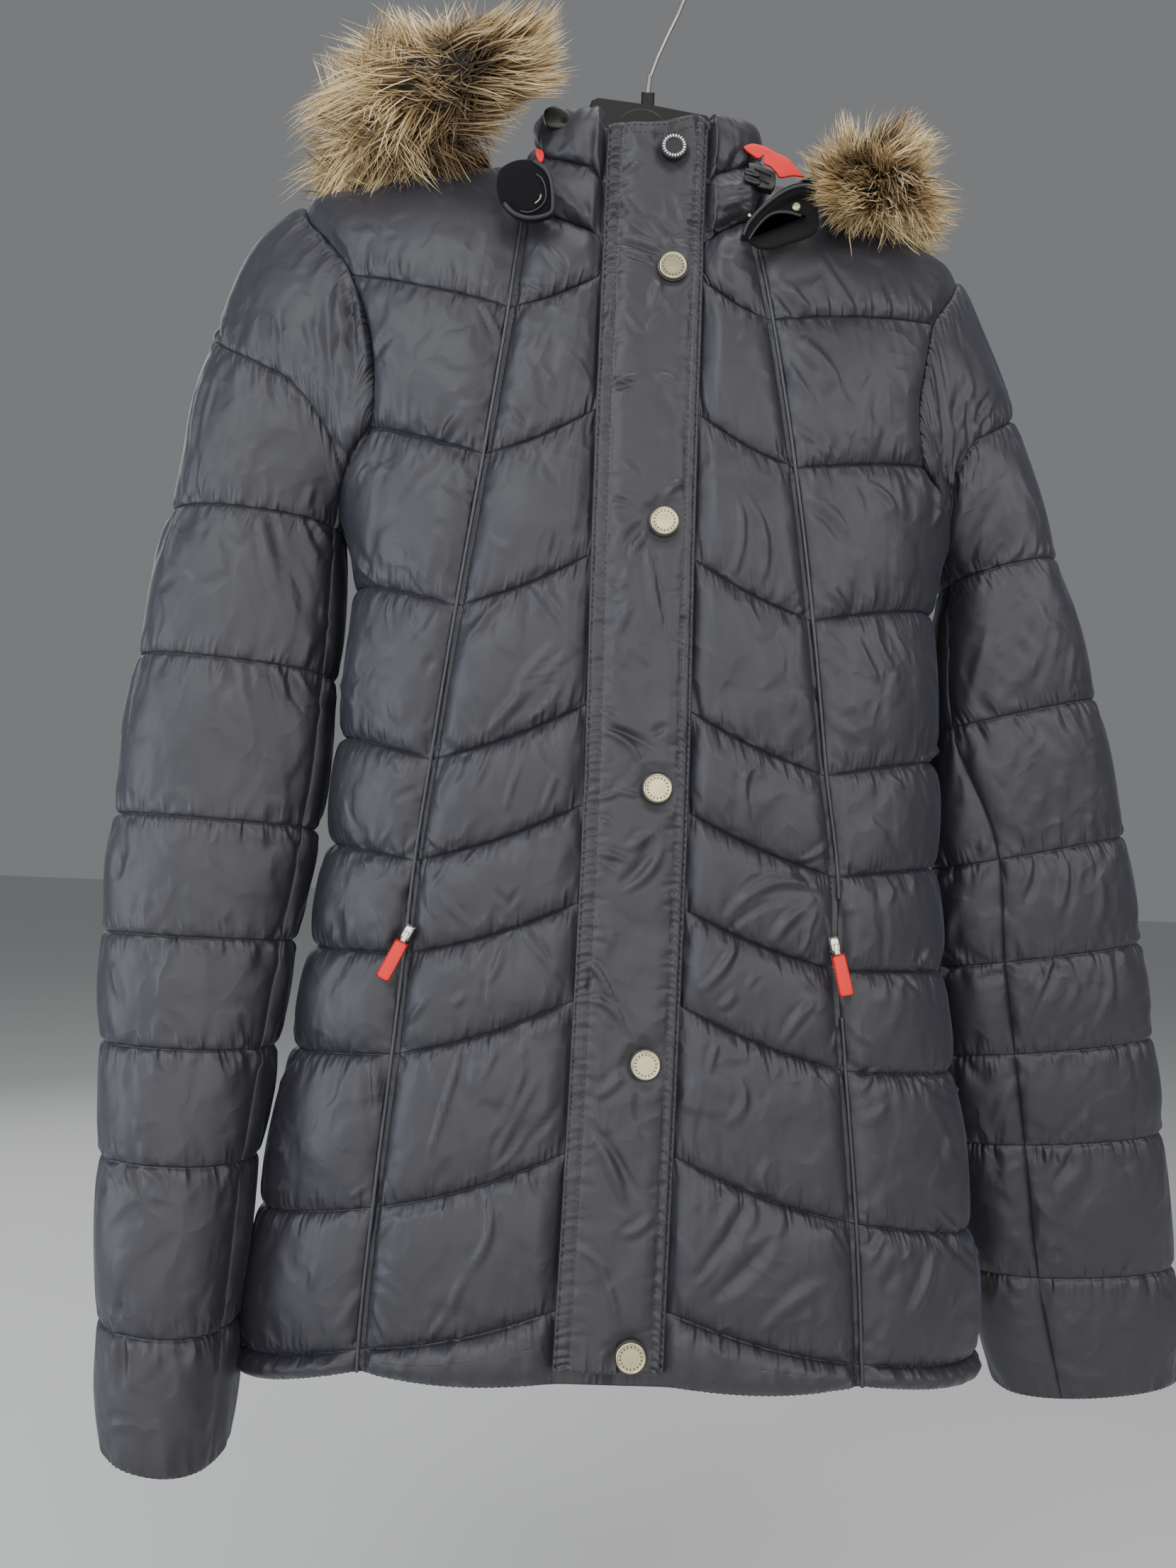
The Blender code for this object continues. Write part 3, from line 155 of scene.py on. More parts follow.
# ---- sleeves --------------------------------------------------------------
# Sections at the quilt lines below the underarm, ending in the cuff edge.
SLEEVE_LEFT = (
    # drop, middle x, middle y, half width, half depth, rise of the outer end
    (0.391, 0.229, -0.007, 0.048, 0.034, 0.07),
    (0.481, 0.235, -0.012, 0.054, 0.034, 0.07),
    (0.573, 0.240, -0.017, 0.054, 0.034, 0.04),
    (0.639, 0.244, -0.022, 0.050, 0.034, 0.02),
    (0.699, 0.244, -0.028, 0.044, 0.035, 0.02),
    (0.759, 0.243, -0.035, 0.038, 0.036, 0.03),
    (0.843, 0.240, -0.043, 0.032, 0.038, 0.09),
    (0.908, 0.236, -0.048, 0.027, 0.038, 0.20),
)
SLEEVE_RIGHT = (
    # drop, middle x, middle y, half width, half depth, rise of the outer end
    (0.398, 0.2300, 0.006, 0.0295, 0.038, 0.26),
    (0.486, 0.242, 0.012, 0.047, 0.035, 0.26),
    (0.570, 0.255, 0.019, 0.056, 0.032, 0.22),
    (0.633, 0.265, 0.026, 0.060, 0.030, 0.16),
    (0.690, 0.275, 0.034, 0.062, 0.029, 0.12),
    (0.747, 0.285, 0.042, 0.062, 0.028, 0.08),
    (0.830, 0.299, 0.053, 0.061, 0.028, 0.05),
    (0.903, 0.314, 0.060, 0.054, 0.028, 0.10),
)
SLEEVE_ROUNDNESS = 2.2
CAP_STEPS = 6                     # rows between the armhole and the first line
CAP_LINE = 3                      # row of the quilt line across the sleeve head
CAP_REACH_LEFT = 0.8              # how far the sleeve heads spring out
CAP_REACH_RIGHT = 0.15
UNDERARM_REACH = 0.7              # and the sleeves at the underarm
UNDER_SLEEVE = (8, 12)            # columns between which the under sleeve lies
UNDER_TURN = 240                  # turn at which its rear seam runs
# Where the front seams run round the sleeves: drop and turn from the outer side.
SLEEVE_SEAM_LEFT = ((0.391, 160), (0.908, 160))
SLEEVE_SEAM_RIGHT = ((0.398, 172), (0.486, 150), (0.545, 122), (0.640, 118), (0.903, 118))


# ---- hood and fur ---------------------------------------------------------
HOOD_CENTRE = -0.020              # depth of the axis that the hood turns about
HOOD_WALL = 0.003
LINING = 0.001
HOOD_DEPTH = 0.125                # how far the folded hood hangs at the back
HOOD_SPAN = math.radians(84)      # turn at which it has run out to nothing
HOOD_BACK = 0.115                 # distance out of its near side at the back
HOOD_CLEAR = 0.0165               # from the body's surface to the hood's middle
HOOD_SAG = 0.010
FUR_SIDES = 12
# The fur along the hood's edge, by its turn about the neck from the back.
FUR = (
    # turn (degrees), distance out, drop, radius of the fur, clearance from the body
    (-128, 0.112, 0.144, 0.0265, 0.013),
    (-112, 0.136, 0.145, 0.0435, 0.013),
    (-94, 0.160, 0.146, 0.054, 0.024),
    (-74, 0.174, 0.160, 0.050, 0.024),
    (-55, 0.172, 0.172, 0.047, 0.024),
    (-37, 0.163, 0.174, 0.046, 0.024),
    (-19, 0.165, 0.188, 0.043, 0.024),
    (0, 0.166, 0.194, 0.042, 0.024),
    (19, 0.165, 0.190, 0.042, 0.024),
    (37, 0.162, 0.180, 0.043, 0.024),
    (55, 0.158, 0.170, 0.044, 0.024),
    (74, 0.148, 0.166, 0.045, 0.024),
    (94, 0.140, 0.164, 0.045, 0.024),
    (110, 0.136, 0.186, 0.036, 0.012),
    (120, 0.132, 0.203, 0.020, 0.012),
)
HOOD_ENDS = slice(2, -2)          # rings of the fur that the hood itself reaches
# The folded hood from the neck seam over and down to its bottom and up again
# to the fur: where each row lies between the neck seam, the hood's near side
# (1) and the fur (2), and its share of the hood's depth.
HOOD_ROWS = (
    # out, share of depth
    (0.00, 0.00),
    (0.30, -0.06),
    (0.60, 0.00),
    (0.82, 0.10),
    (1.00, 0.32),
    (1.08, 0.85),
    (1.40, 1.05),
    (1.85, 0.95),
    (1.94, 0.55),
)
HOOD_SEAM_ROW = 2                 # row of the collar that it is sewn beside


# ---- fastenings -----------------------------------------------------------
FLAP_BAND = 0.0070                # stitched band along each edge of the flap
FLAP_CLEAR = 0.0005
FLAP_RIDE = 0.5                   # how much it rises as it rides up on a panel
SNAPS = ["snap_%d" % k for k in range(1, 6)]
# How far the flap lies to the right of the middle, by drop.
FLAP_SHIFT = ((0.150, 0.0), (0.400, 0.0), (0.555, 0.0016), (0.700, 0.0002), (0.860, -0.0028))


# ---- curves and the body's surface ----------------------------------------
FACE_STEP = 0.0005                # step between two readings of a slope
FACE_INSET = 0.995                # keeps those readings inside the section
CHEST_DROP = 0.25                 # drop at which the shoulders' depth is read
NOWHERE = -1.0                    # height where there is no shoulder


def column(table, index):
    """One column of a table as an array."""
    return np.array([row[index] for row in table], float)


def smooth(knots, values, at):
    """Read a smooth curve through (knots, values) at the places in `at`."""
    knots = np.asarray(knots, float)
    values = np.asarray(values, float)
    at = np.clip(np.asarray(at, float), knots[0], knots[-1])
    slopes = np.gradient(values, knots)
    low = np.clip(np.searchsorted(knots, at, side="right") - 1, 0, len(knots) - 2)
    span = knots[low + 1] - knots[low]
    t = (at - knots[low]) / span
    start = values[low] * (1 + 2 * t) * (1 - t) ** 2 + slopes[low] * span * t * (1 - t) ** 2
    end = values[low + 1] * t ** 2 * (3 - 2 * t) - slopes[low + 1] * span * t ** 2 * (1 - t)
    return start + end


def subdivide(stops, steps):
    """Rows from stop to stop, with the given number of steps in each span."""
    rows = [stops[0]]
    for first, last, count in zip(stops[:-1], stops[1:], steps):
        rows.extend(np.linspace(first, last, count + 1)[1:])
    return np.array(rows)


def swelling(steps):
    """How full each row is: nothing on a stitch line, one between two."""
    rows = [0.0]
    for count in steps:
        rows.extend(math.sin(math.pi * k / count) ** 0.7 for k in range(1, count))
        rows.append(0.0)
    return np.array(rows)


def unit(vectors):
    """Vectors scaled to length one."""
    return vectors / np.linalg.norm(vectors, axis=-1, keepdims=True)


def ridge(x):
    """Drop of the shoulder ridge at x."""
    places = (-TIP_LEFT[0], -NECK[0], NECK[0], TIP_RIGHT[0])
    drops = (TIP_LEFT[1], NECK[1], NECK[1], TIP_RIGHT[1])
    return np.interp(x, places, drops)


def reach(x, drop, side):
    """Depth from the middle to the front (-1) or back (1), crown left out."""
    knots = column(BODY, 0)
    left = smooth(knots, column(BODY, 3), drop)
    right = smooth(knots, column(BODY, 4), drop)
    out = np.clip(np.abs(x) / np.where(x < 0, left, right), 0, 1)
    fullness = (1 - out ** ROUNDNESS) ** (1 / ROUNDNESS)
    face = smooth(knots, column(BODY, 1 if side < 0 else 2), drop)
    return np.abs(face) * fullness


def depth(x, drop, side):
    """The body's y at (x, drop), on its front (-1) or back (1)."""
    up = np.clip((drop - ridge(x)) / CROWN, 0, 1)
    crown = (1 - (1 - up) ** CROWN_ROUNDNESS) ** (1 / CROWN_ROUNDNESS)
    return side * reach(x, drop, side) * crown


def on_body(x, drop, side):
    """Points on the body's middle surface."""
    return np.stack([x, depth(x, drop, side), -drop], axis=-1)


def body_normals(x, drop, side):
    """Outward normals of the body's middle surface."""
    step = FACE_STEP
    inside = x * FACE_INSET
    below = np.maximum(drop, ridge(x) + step)
    slope_x = (depth(inside + step, below, side) - depth(inside - step, below, side)) / (2 * step)
    slope_d = (depth(inside, below + step, side) - depth(inside, below - step, side)) / (2 * step)
    normals = np.stack([-side * slope_x, side * np.ones_like(x), side * slope_d], axis=-1)
    return unit(normals)


def chest_depth(x, y):
    """Depth of the chest at x, on the side of the body where y lies."""
    front = reach(x, np.full_like(x, CHEST_DROP), -1)
    back = reach(x, np.full_like(x, CHEST_DROP), 1)
    return np.where(y < 0, front, back)


def crown_height(x, y):
    """Height (z) of the shoulders at (x, y), or far below where there is none."""
    share = np.abs(y) / np.maximum(chest_depth(x, y), 1e-6)
    up = 1 - (1 - np.clip(share, 0, 1) ** CROWN_ROUNDNESS) ** (1 / CROWN_ROUNDNESS)
    return np.where(share < 1, -(ridge(x) + CROWN * up), NOWHERE)


def clear_of_body(points, margin):
    """Lift points off the shoulders to a margin over them."""
    moved = points.copy()
    x = moved[..., 0]
    y = moved[..., 1]
    face = chest_depth(x, y)
    top = crown_height(x, y * face / (face + margin)) + margin
    moved[..., 2] = np.maximum(moved[..., 2], top)
    return moved


LINE_STEPS = [CHANNEL_STEPS] * (len(LINES) - 2) + [HEM_STEPS]
SEAM_STEPS = [2, CHANNEL_STEPS] + LINE_STEPS
SIDE_STEPS = [SHOULDER_STEPS] + LINE_STEPS


def seam_place(side, drop):
    """How far the front seam of a side (-1 or 1) lies from the middle."""
    index = 5 if side < 0 else 6
    knots = np.concatenate([[NECK_SEAM], column(LINES, 1)])
    values = np.concatenate([[SEAM_TOP[0 if side < 0 else 1]], column(LINES, index)])
    return smooth(knots, values, drop)


def seam_rows(side):
    """The front seam with the neck seam above it: distances out and drops."""
    drops = subdivide([NECK[1], NECK_SEAM] + list(column(LINES, 1)), SEAM_STEPS)
    places = seam_place(side, drops)
    above = (drops - NECK[1]) / (NECK_SEAM - NECK[1])
    neck = NECK[0] + (places[2] - NECK[0]) * np.clip(above, 0, 1)
    return np.where(drops < NECK_SEAM, neck, places), drops


def side_rows(side, face):
    """Armhole and side seam of a side, front (-1) or back (1)."""
    tip = TIP_LEFT if side < 0 else TIP_RIGHT
    drops = subdivide([tip[1]] + list(column(LINES, 2 if side < 0 else 3)), SIDE_STEPS)
    armhole_column = (1 if face < 0 else 3) + (0 if side < 0 else 1)
    places = smooth(column(ARMHOLES, 0), column(ARMHOLES, armhole_column), drops)
    body = smooth(column(BODY, 0), column(BODY, 3 if side < 0 else 4), drops)
    places[UNDERARM_ROW] = body[UNDERARM_ROW] + UNDERARM_OUT
    below = np.arange(len(drops)) > UNDERARM_ROW
    places = np.where(below, body, places)
    places[0] = tip[0]
    return places, drops


def mitre(points, normals):
    """Normals halfway between the body's and the collar's at the neck seam."""
    level = points - np.array([0, HOOD_CENTRE, 0])
    level[..., 2] = 0
    return unit(unit(normals) + unit(level))


def ridge_normal(side):
    """The normal on top of a shoulder."""
    tip = TIP_LEFT if side < 0 else TIP_RIGHT
    slope = (tip[1] - NECK[1]) / (tip[0] - NECK[0])
    return unit(np.array([side * slope, 0.0, 1.0]))


def sleeve_section(table, side, drop, count):
    """A ring of the sleeve at a drop, starting on its outer side."""
    knots = column(table, 0)
    x, y, half, deep, rise = [float(smooth(knots, column(table, k), drop)) for k in range(1, 6)]
    seams = SLEEVE_SEAM_LEFT if side < 0 else SLEEVE_SEAM_RIGHT
    seam = float(smooth(column(seams, 0), column(seams, 1), drop))
    stops = (0, UNDER_SLEEVE[0], UNDER_SLEEVE[1], 2 * UNDERARM_ROW)
    places = np.arange(count) * 2 * UNDERARM_ROW / count
    turn = np.radians(np.interp(places, stops, (0, seam, UNDER_TURN, 360)))
    power = 2 / SLEEVE_ROUNDNESS
    out = np.sign(np.cos(turn)) * np.abs(np.cos(turn)) ** power * half
    front = np.sign(np.sin(turn)) * np.abs(np.sin(turn)) ** power * deep
    return np.stack([side * (x + out), y - front, -drop + out * rise], axis=-1)


def flap_shift(drop):
    """How far the flap lies to the right at a drop."""
    return smooth(column(FLAP_SHIFT, 0), column(FLAP_SHIFT, 1), drop)


def around_neck(turn, out, drop):
    """Points at a turn about the neck (0 at the back), a distance and a drop."""
    return np.stack([out * np.sin(turn), HOOD_CENTRE + out * np.cos(turn), -drop], axis=-1)


def under_fur(rings, distance):
    """The least drop at which the hood stays under each ring of the fur."""
    lower = slice(FUR_SIDES // 4, FUR_SIDES * 3 // 4 + 1)
    drops = []
    for ring, out in zip(rings, distance):
        away = np.hypot(ring[lower, 0], ring[lower, 1] - HOOD_CENTRE)
        order = np.argsort(away)
        inside = away.min() - 0.001 < out < away.max() + 0.001
        low = np.interp(out, away[order], -ring[lower, 2][order])
        drops.append(low + HOOD_WALL / 2 + LINING + 3 * GAP if inside else 0.0)
    return np.array(drops)


# ---- folds: (x, drop) of three points, half width and height, in mm ----
FOLDS_CENTRE_LEFT = (
    (-63, 244, -54, 255, -49, 262, 1.6, 1.7), (-74, 265, -67, 268, -62, 271, 1.2, -1.6),
    (-57, 279, -51, 283, -46, 284, 1.2, 1.3), (-72, 300, -66, 302, -60, 303, 1.2, 1.2),
    (-48, 308, -39, 315, -31, 325, 1.6, 2.1), (-72, 313, -66, 318, -61, 323, 1.6, 1.6),
    (-61, 316, -55, 323, -51, 328, 1.6, 1.3), (-80, 339, -72, 345, -67, 350, 1.6, 2.1),
    (-57, 370, -52, 376, -46, 382, 1.2, -1.2), (-38, 391, -33, 391, -29, 392, 1.6, -2.1),
    (-88, 406, -81, 416, -70, 422, 1.2, 1.3), (-47, 411, -49, 420, -51, 427, 1.2, -1.6),
    (-29, 404, -32, 414, -33, 423, 1.6, 1.6), (-61, 440, -57, 448, -51, 458, 1.9, 2.1),
    (-53, 444, -46, 455, -38, 464, 1.5, -1.7), (-77, 447, -86, 461, -94, 471, 2.3, 2.1),
    (-35, 473, -45, 483, -53, 493, 1.9, 2.2), (-43, 470, -58, 487, -66, 502, 2.3, 2.0),
    (-50, 488, -68, 507, -80, 522, 2.3, 2.3), (-40, 493, -49, 505, -58, 514, 1.5, 1.6),
    (-77, 526, -80, 539, -85, 552, 1.5, 2.0), (-60, 535, -65, 550, -68, 564, 1.5, 1.6),
    (-51, 522, -47, 534, -36, 547, 1.2, -1.7), (-41, 541, -45, 552, -49, 565, 1.5, 1.7),
    (-112, 574, -107, 580, -100, 586, 1.6, 1.7), (-82, 583, -85, 589, -89, 594, 1.2, 1.4),
    (-97, 592, -101, 599, -104, 605, 1.2, 1.3), (-99, 610, -92, 619, -86, 627, 1.5, 2.1),
    (-107, 610, -105, 618, -101, 623, 1.5, 1.7), (-72, 606, -67, 611, -64, 617, 1.5, -1.8),
    (-58, 605, -62, 611, -64, 617, 1.5, -1.8), (-58, 624, -47, 638, -32, 659, 1.5, 2.1),
    (-52, 622, -45, 634, -39, 647, 1.1, -1.4), (-84, 634, -86, 643, -83, 650, 1.5, 1.7),
    (-66, 632, -68, 645, -73, 657, 1.9, 2.2), (-73, 653, -75, 661, -73, 673, 1.5, -1.6),
    (-84, 661, -88, 666, -91, 668, 1.9, 1.6), (-103, 665, -109, 672, -114, 679, 1.5, 1.6),
    (-85, 691, -92, 720, -100, 751, 1.5, 2.5), (-66, 687, -70, 698, -75, 710, 1.5, 1.7),
    (-52, 696, -58, 719, -69, 736, 1.9, 2.2), (-43, 701, -56, 726, -65, 749, 2.2, 2.3),
    (-30, 713, -39, 726, -50, 738, 1.9, -2.3), (-49, 733, -56, 743, -65, 753, 1.5, 1.6),
    (-70, 762, -66, 783, -77, 805, 1.8, 2.9), (-76, 805, -82, 816, -83, 828, 1.8, 2.1),
    (-84, 819, -89, 830, -96, 840, 1.5, 1.8), (-48, 751, -44, 759, -39, 766, 1.5, 1.8),
    (-30, 790, -36, 796, -42, 805, 1.5, 1.8), (-128, 810, -119, 810, -108, 817, 1.5, 2.0),
    (-125, 825, -119, 835, -114, 844, 1.5, 1.8), (-116, 779, -122, 787, -128, 795, 1.1, 1.3),
    (-77, 835, -82, 843, -86, 853, 1.5, 2.1), (-54, 829, -52, 837, -47, 851, 1.1, 1.7),
    (-98, 842, -104, 848, -111, 861, 1.1, 1.6),
)
FOLDS_CENTRE_RIGHT = (
    (31, 321, 34, 330, 38, 338, 1.6, -1.8), (72, 357, 78, 361, 83, 367, 1.6, 1.8),
    (53, 381, 66, 405, 66, 432, 2.0, 2.1), (51, 385, 54, 408, 50, 428, 2.0, 2.0),
    (45, 426, 49, 431, 55, 435, 1.2, 1.3), (57, 441, 62, 450, 65, 460, 1.6, 1.7),
    (94, 442, 89, 445, 85, 449, 1.2, 1.3), (97, 483, 101, 491, 105, 499, 1.6, -1.8),
    (58, 519, 60, 525, 62, 533, 1.2, -1.6), (72, 521, 76, 529, 81, 537, 1.6, -1.8),
    (85, 527, 88, 536, 93, 545, 1.6, 1.8), (66, 532, 59, 543, 63, 565, 1.9, 2.2),
    (111, 571, 102, 579, 92, 584, 1.6, 2.0), (91, 584, 97, 596, 103, 606, 1.2, -1.6),
    (102, 599, 75, 597, 51, 618, 2.3, 2.9), (94, 610, 85, 617, 77, 630, 2.3, 2.6),
    (81, 605, 66, 612, 51, 626, 1.5, -1.8), (102, 610, 97, 620, 95, 633, 1.2, 1.3),
    (107, 612, 110, 620, 112, 629, 1.2, 1.3), (98, 623, 95, 630, 93, 636, 1.2, 1.6),
    (58, 627, 52, 641, 39, 656, 1.9, 2.5), (57, 655, 54, 661, 49, 664, 1.9, 2.1),
    (71, 644, 67, 648, 64, 653, 1.5, 1.4), (101, 660, 91, 669, 84, 683, 1.9, 2.5),
    (94, 641, 95, 648, 102, 655, 1.5, 1.4), (118, 670, 114, 677, 111, 686, 1.2, 1.4),
    (70, 682, 74, 693, 77, 703, 1.5, 2.0), (50, 682, 47, 689, 45, 699, 1.5, 1.7),
    (59, 700, 64, 713, 54, 724, 1.9, 2.2), (100, 694, 108, 705, 116, 715, 1.1, 1.6),
    (43, 715, 40, 730, 43, 742, 1.9, -1.6), (78, 743, 74, 753, 81, 761, 1.9, 1.7),
    (51, 751, 55, 757, 60, 762, 1.1, 1.8), (67, 763, 59, 779, 42, 803, 3.0, -2.9),
    (55, 787, 48, 798, 39, 807, 1.8, 2.1), (82, 780, 65, 799, 49, 813, 3.0, -2.5),
    (112, 805, 92, 813, 76, 829, 3.0, 2.3), (121, 792, 114, 782, 109, 777, 1.1, 1.6),
    (54, 826, 55, 837, 61, 847, 1.5, 2.0), (74, 834, 77, 842, 81, 856, 1.5, -1.7),
    (87, 838, 84, 844, 82, 850, 1.1, 1.3), (123, 832, 119, 838, 117, 844, 1.1, 1.3),
)
FOLDS_SIDE_LEFT = (
    (-94, 278, -87, 292, -80, 307, 1.6, 2.1), (-98, 278, -91, 292, -85, 306, 1.2, -1.6),
    (-146, 249, -143, 257, -140, 263, 1.2, -1.2), (-115, 254, -113, 261, -111, 267, 1.2, 1.2),
    (-86, 265, -89, 271, -91, 276, 1.6, -2.0), (-142, 296, -149, 301, -155, 308, 2.4, -2.3),
    (-149, 305, -144, 311, -139, 320, 2.0, 1.6), (-130, 336, -127, 343, -126, 349, 1.2, 1.2),
    (-124, 340, -122, 346, -120, 352, 1.2, 1.2), (-102, 342, -108, 349, -112, 356, 2.0, 2.2),
    (-94, 353, -98, 359, -102, 363, 1.6, 1.7), (-105, 364, -100, 374, -96, 385, 1.6, 2.1),
    (-101, 364, -96, 373, -92, 384, 1.2, -1.4), (-88, 326, -96, 330, -105, 334, 2.8, -2.5),
    (-114, 406, -105, 409, -95, 414, 1.6, -2.0), (-97, 384, -95, 390, -93, 396, 1.6, -1.6),
    (-166, 400, -156, 420, -146, 437, 1.7, 2.0), (-125, 431, -120, 439, -116, 447, 1.2, 1.4),
    (-137, 446, -137, 455, -134, 464, 1.2, 1.4), (-124, 450, -122, 459, -117, 467, 1.2, 1.4),
    (-147, 369, -155, 368, -158, 373, 1.2, 1.6), (-136, 366, -145, 370, -155, 373, 1.2, 1.3),
    (-109, 478, -113, 483, -115, 489, 2.0, -2.2), (-133, 504, -131, 510, -128, 514, 1.2, 1.2),
    (-168, 483, -159, 496, -153, 506, 1.7, 1.3), (-110, 512, -113, 515, -115, 519, 1.2, -1.3),
    (-131, 533, -128, 540, -124, 545, 1.2, -1.3), (-115, 551, -120, 554, -128, 559, 1.6, -1.8),
    (-130, 575, -134, 582, -136, 587, 1.2, 1.3), (-114, 574, -119, 583, -124, 589, 1.2, 1.4),
    (-148, 585, -145, 591, -141, 597, 1.2, 1.6), (-141, 587, -137, 593, -134, 598, 1.2, 1.3),
    (-172, 704, -179, 714, -185, 725, 1.6, 1.7), (-138, 698, -134, 717, -130, 740, 1.9, -2.3),
    (-132, 697, -130, 713, -128, 732, 1.5, 2.1), (-128, 697, -126, 713, -127, 728, 1.1, -1.6),
    (-189, 751, -180, 753, -175, 758, 2.0, 2.3), (-190, 775, -182, 775, -175, 773, 1.6, 1.6),
    (-140, 773, -136, 769, -131, 765, 1.1, 1.6), (-140, 777, -135, 780, -132, 786, 1.1, -1.6),
    (-131, 818, -137, 829, -142, 839, 2.2, 2.3), (-155, 809, -156, 815, -157, 822, 1.9, 1.3),
    (-200, 839, -192, 836, -185, 835, 1.6, 1.7), (-152, 855, -149, 860, -147, 867, 1.1, 1.4),
)
FOLDS_SIDE_RIGHT = (
    (66, 258, 77, 270, 89, 281, 2.0, -2.2), (71, 257, 82, 266, 93, 276, 1.6, 2.0),
    (93, 241, 108, 261, 118, 273, 2.0, 1.7), (121, 261, 120, 267, 121, 274, 1.2, 1.2),
    (82, 291, 93, 299, 106, 315, 2.4, 2.0), (75, 303, 82, 314, 91, 327, 2.0, 2.2),
    (78, 302, 87, 315, 97, 335, 1.6, -1.4), (82, 340, 94, 350, 106, 362, 2.0, -2.5),
    (87, 345, 96, 352, 109, 357, 1.6, 2.0), (90, 385, 101, 393, 110, 407, 2.4, -2.5),
    (93, 383, 104, 390, 115, 404, 1.6, 2.0), (94, 422, 102, 434, 112, 446, 2.0, -2.0),
    (98, 432, 108, 436, 118, 446, 1.6, 2.1), (125, 369, 135, 374, 141, 383, 1.6, 1.7),
    (116, 372, 120, 379, 121, 387, 1.2, 1.2), (162, 359, 170, 366, 166, 384, 2.1, 2.1),
    (105, 456, 111, 464, 116, 470, 1.2, 1.4), (120, 457, 126, 470, 133, 482, 1.6, 1.7),
    (131, 454, 137, 468, 145, 478, 1.6, 1.7), (143, 454, 148, 462, 152, 468, 1.2, 1.4),
    (103, 473, 110, 481, 117, 489, 2.0, -2.2), (106, 493, 113, 497, 120, 494, 1.6, 2.0),
    (106, 502, 114, 510, 123, 514, 2.0, 2.1), (111, 514, 113, 522, 119, 528, 1.6, 1.8),
    (184, 507, 172, 518, 157, 528, 1.7, 2.0), (142, 532, 147, 537, 151, 540, 1.2, 1.3),
    (183, 489, 186, 498, 185, 506, 1.8, 1.6), (113, 616, 118, 611, 124, 608, 1.6, 1.8),
    (141, 592, 144, 599, 141, 605, 1.6, 1.6), (146, 642, 153, 649, 160, 655, 1.6, 1.7),
    (170, 629, 166, 636, 160, 643, 2.0, 2.0), (184, 646, 167, 642, 158, 639, 1.2, -1.6),
    (122, 670, 126, 677, 132, 682, 1.5, 1.8), (140, 694, 133, 701, 126, 710, 1.5, 2.1),
    (135, 693, 130, 698, 127, 704, 1.2, -1.4), (162, 696, 171, 707, 191, 720, 1.6, -2.0),
    (167, 695, 184, 707, 198, 715, 1.2, 1.7), (143, 714, 136, 720, 128, 723, 1.9, 1.8),
    (176, 731, 178, 739, 177, 746, 2.0, 2.1), (143, 782, 136, 792, 130, 801, 1.5, 2.0),
    (139, 781, 133, 789, 129, 796, 1.1, -1.6), (167, 773, 179, 786, 197, 809, 2.0, -2.3),
    (172, 772, 189, 787, 208, 808, 1.6, 2.0), (173, 792, 164, 812, 154, 826, 2.7, 2.5),
    (150, 794, 145, 803, 140, 811, 2.3, -1.7), (143, 821, 138, 832, 132, 840, 1.9, -1.8),
    (188, 815, 182, 821, 180, 828, 1.5, 1.6),
)
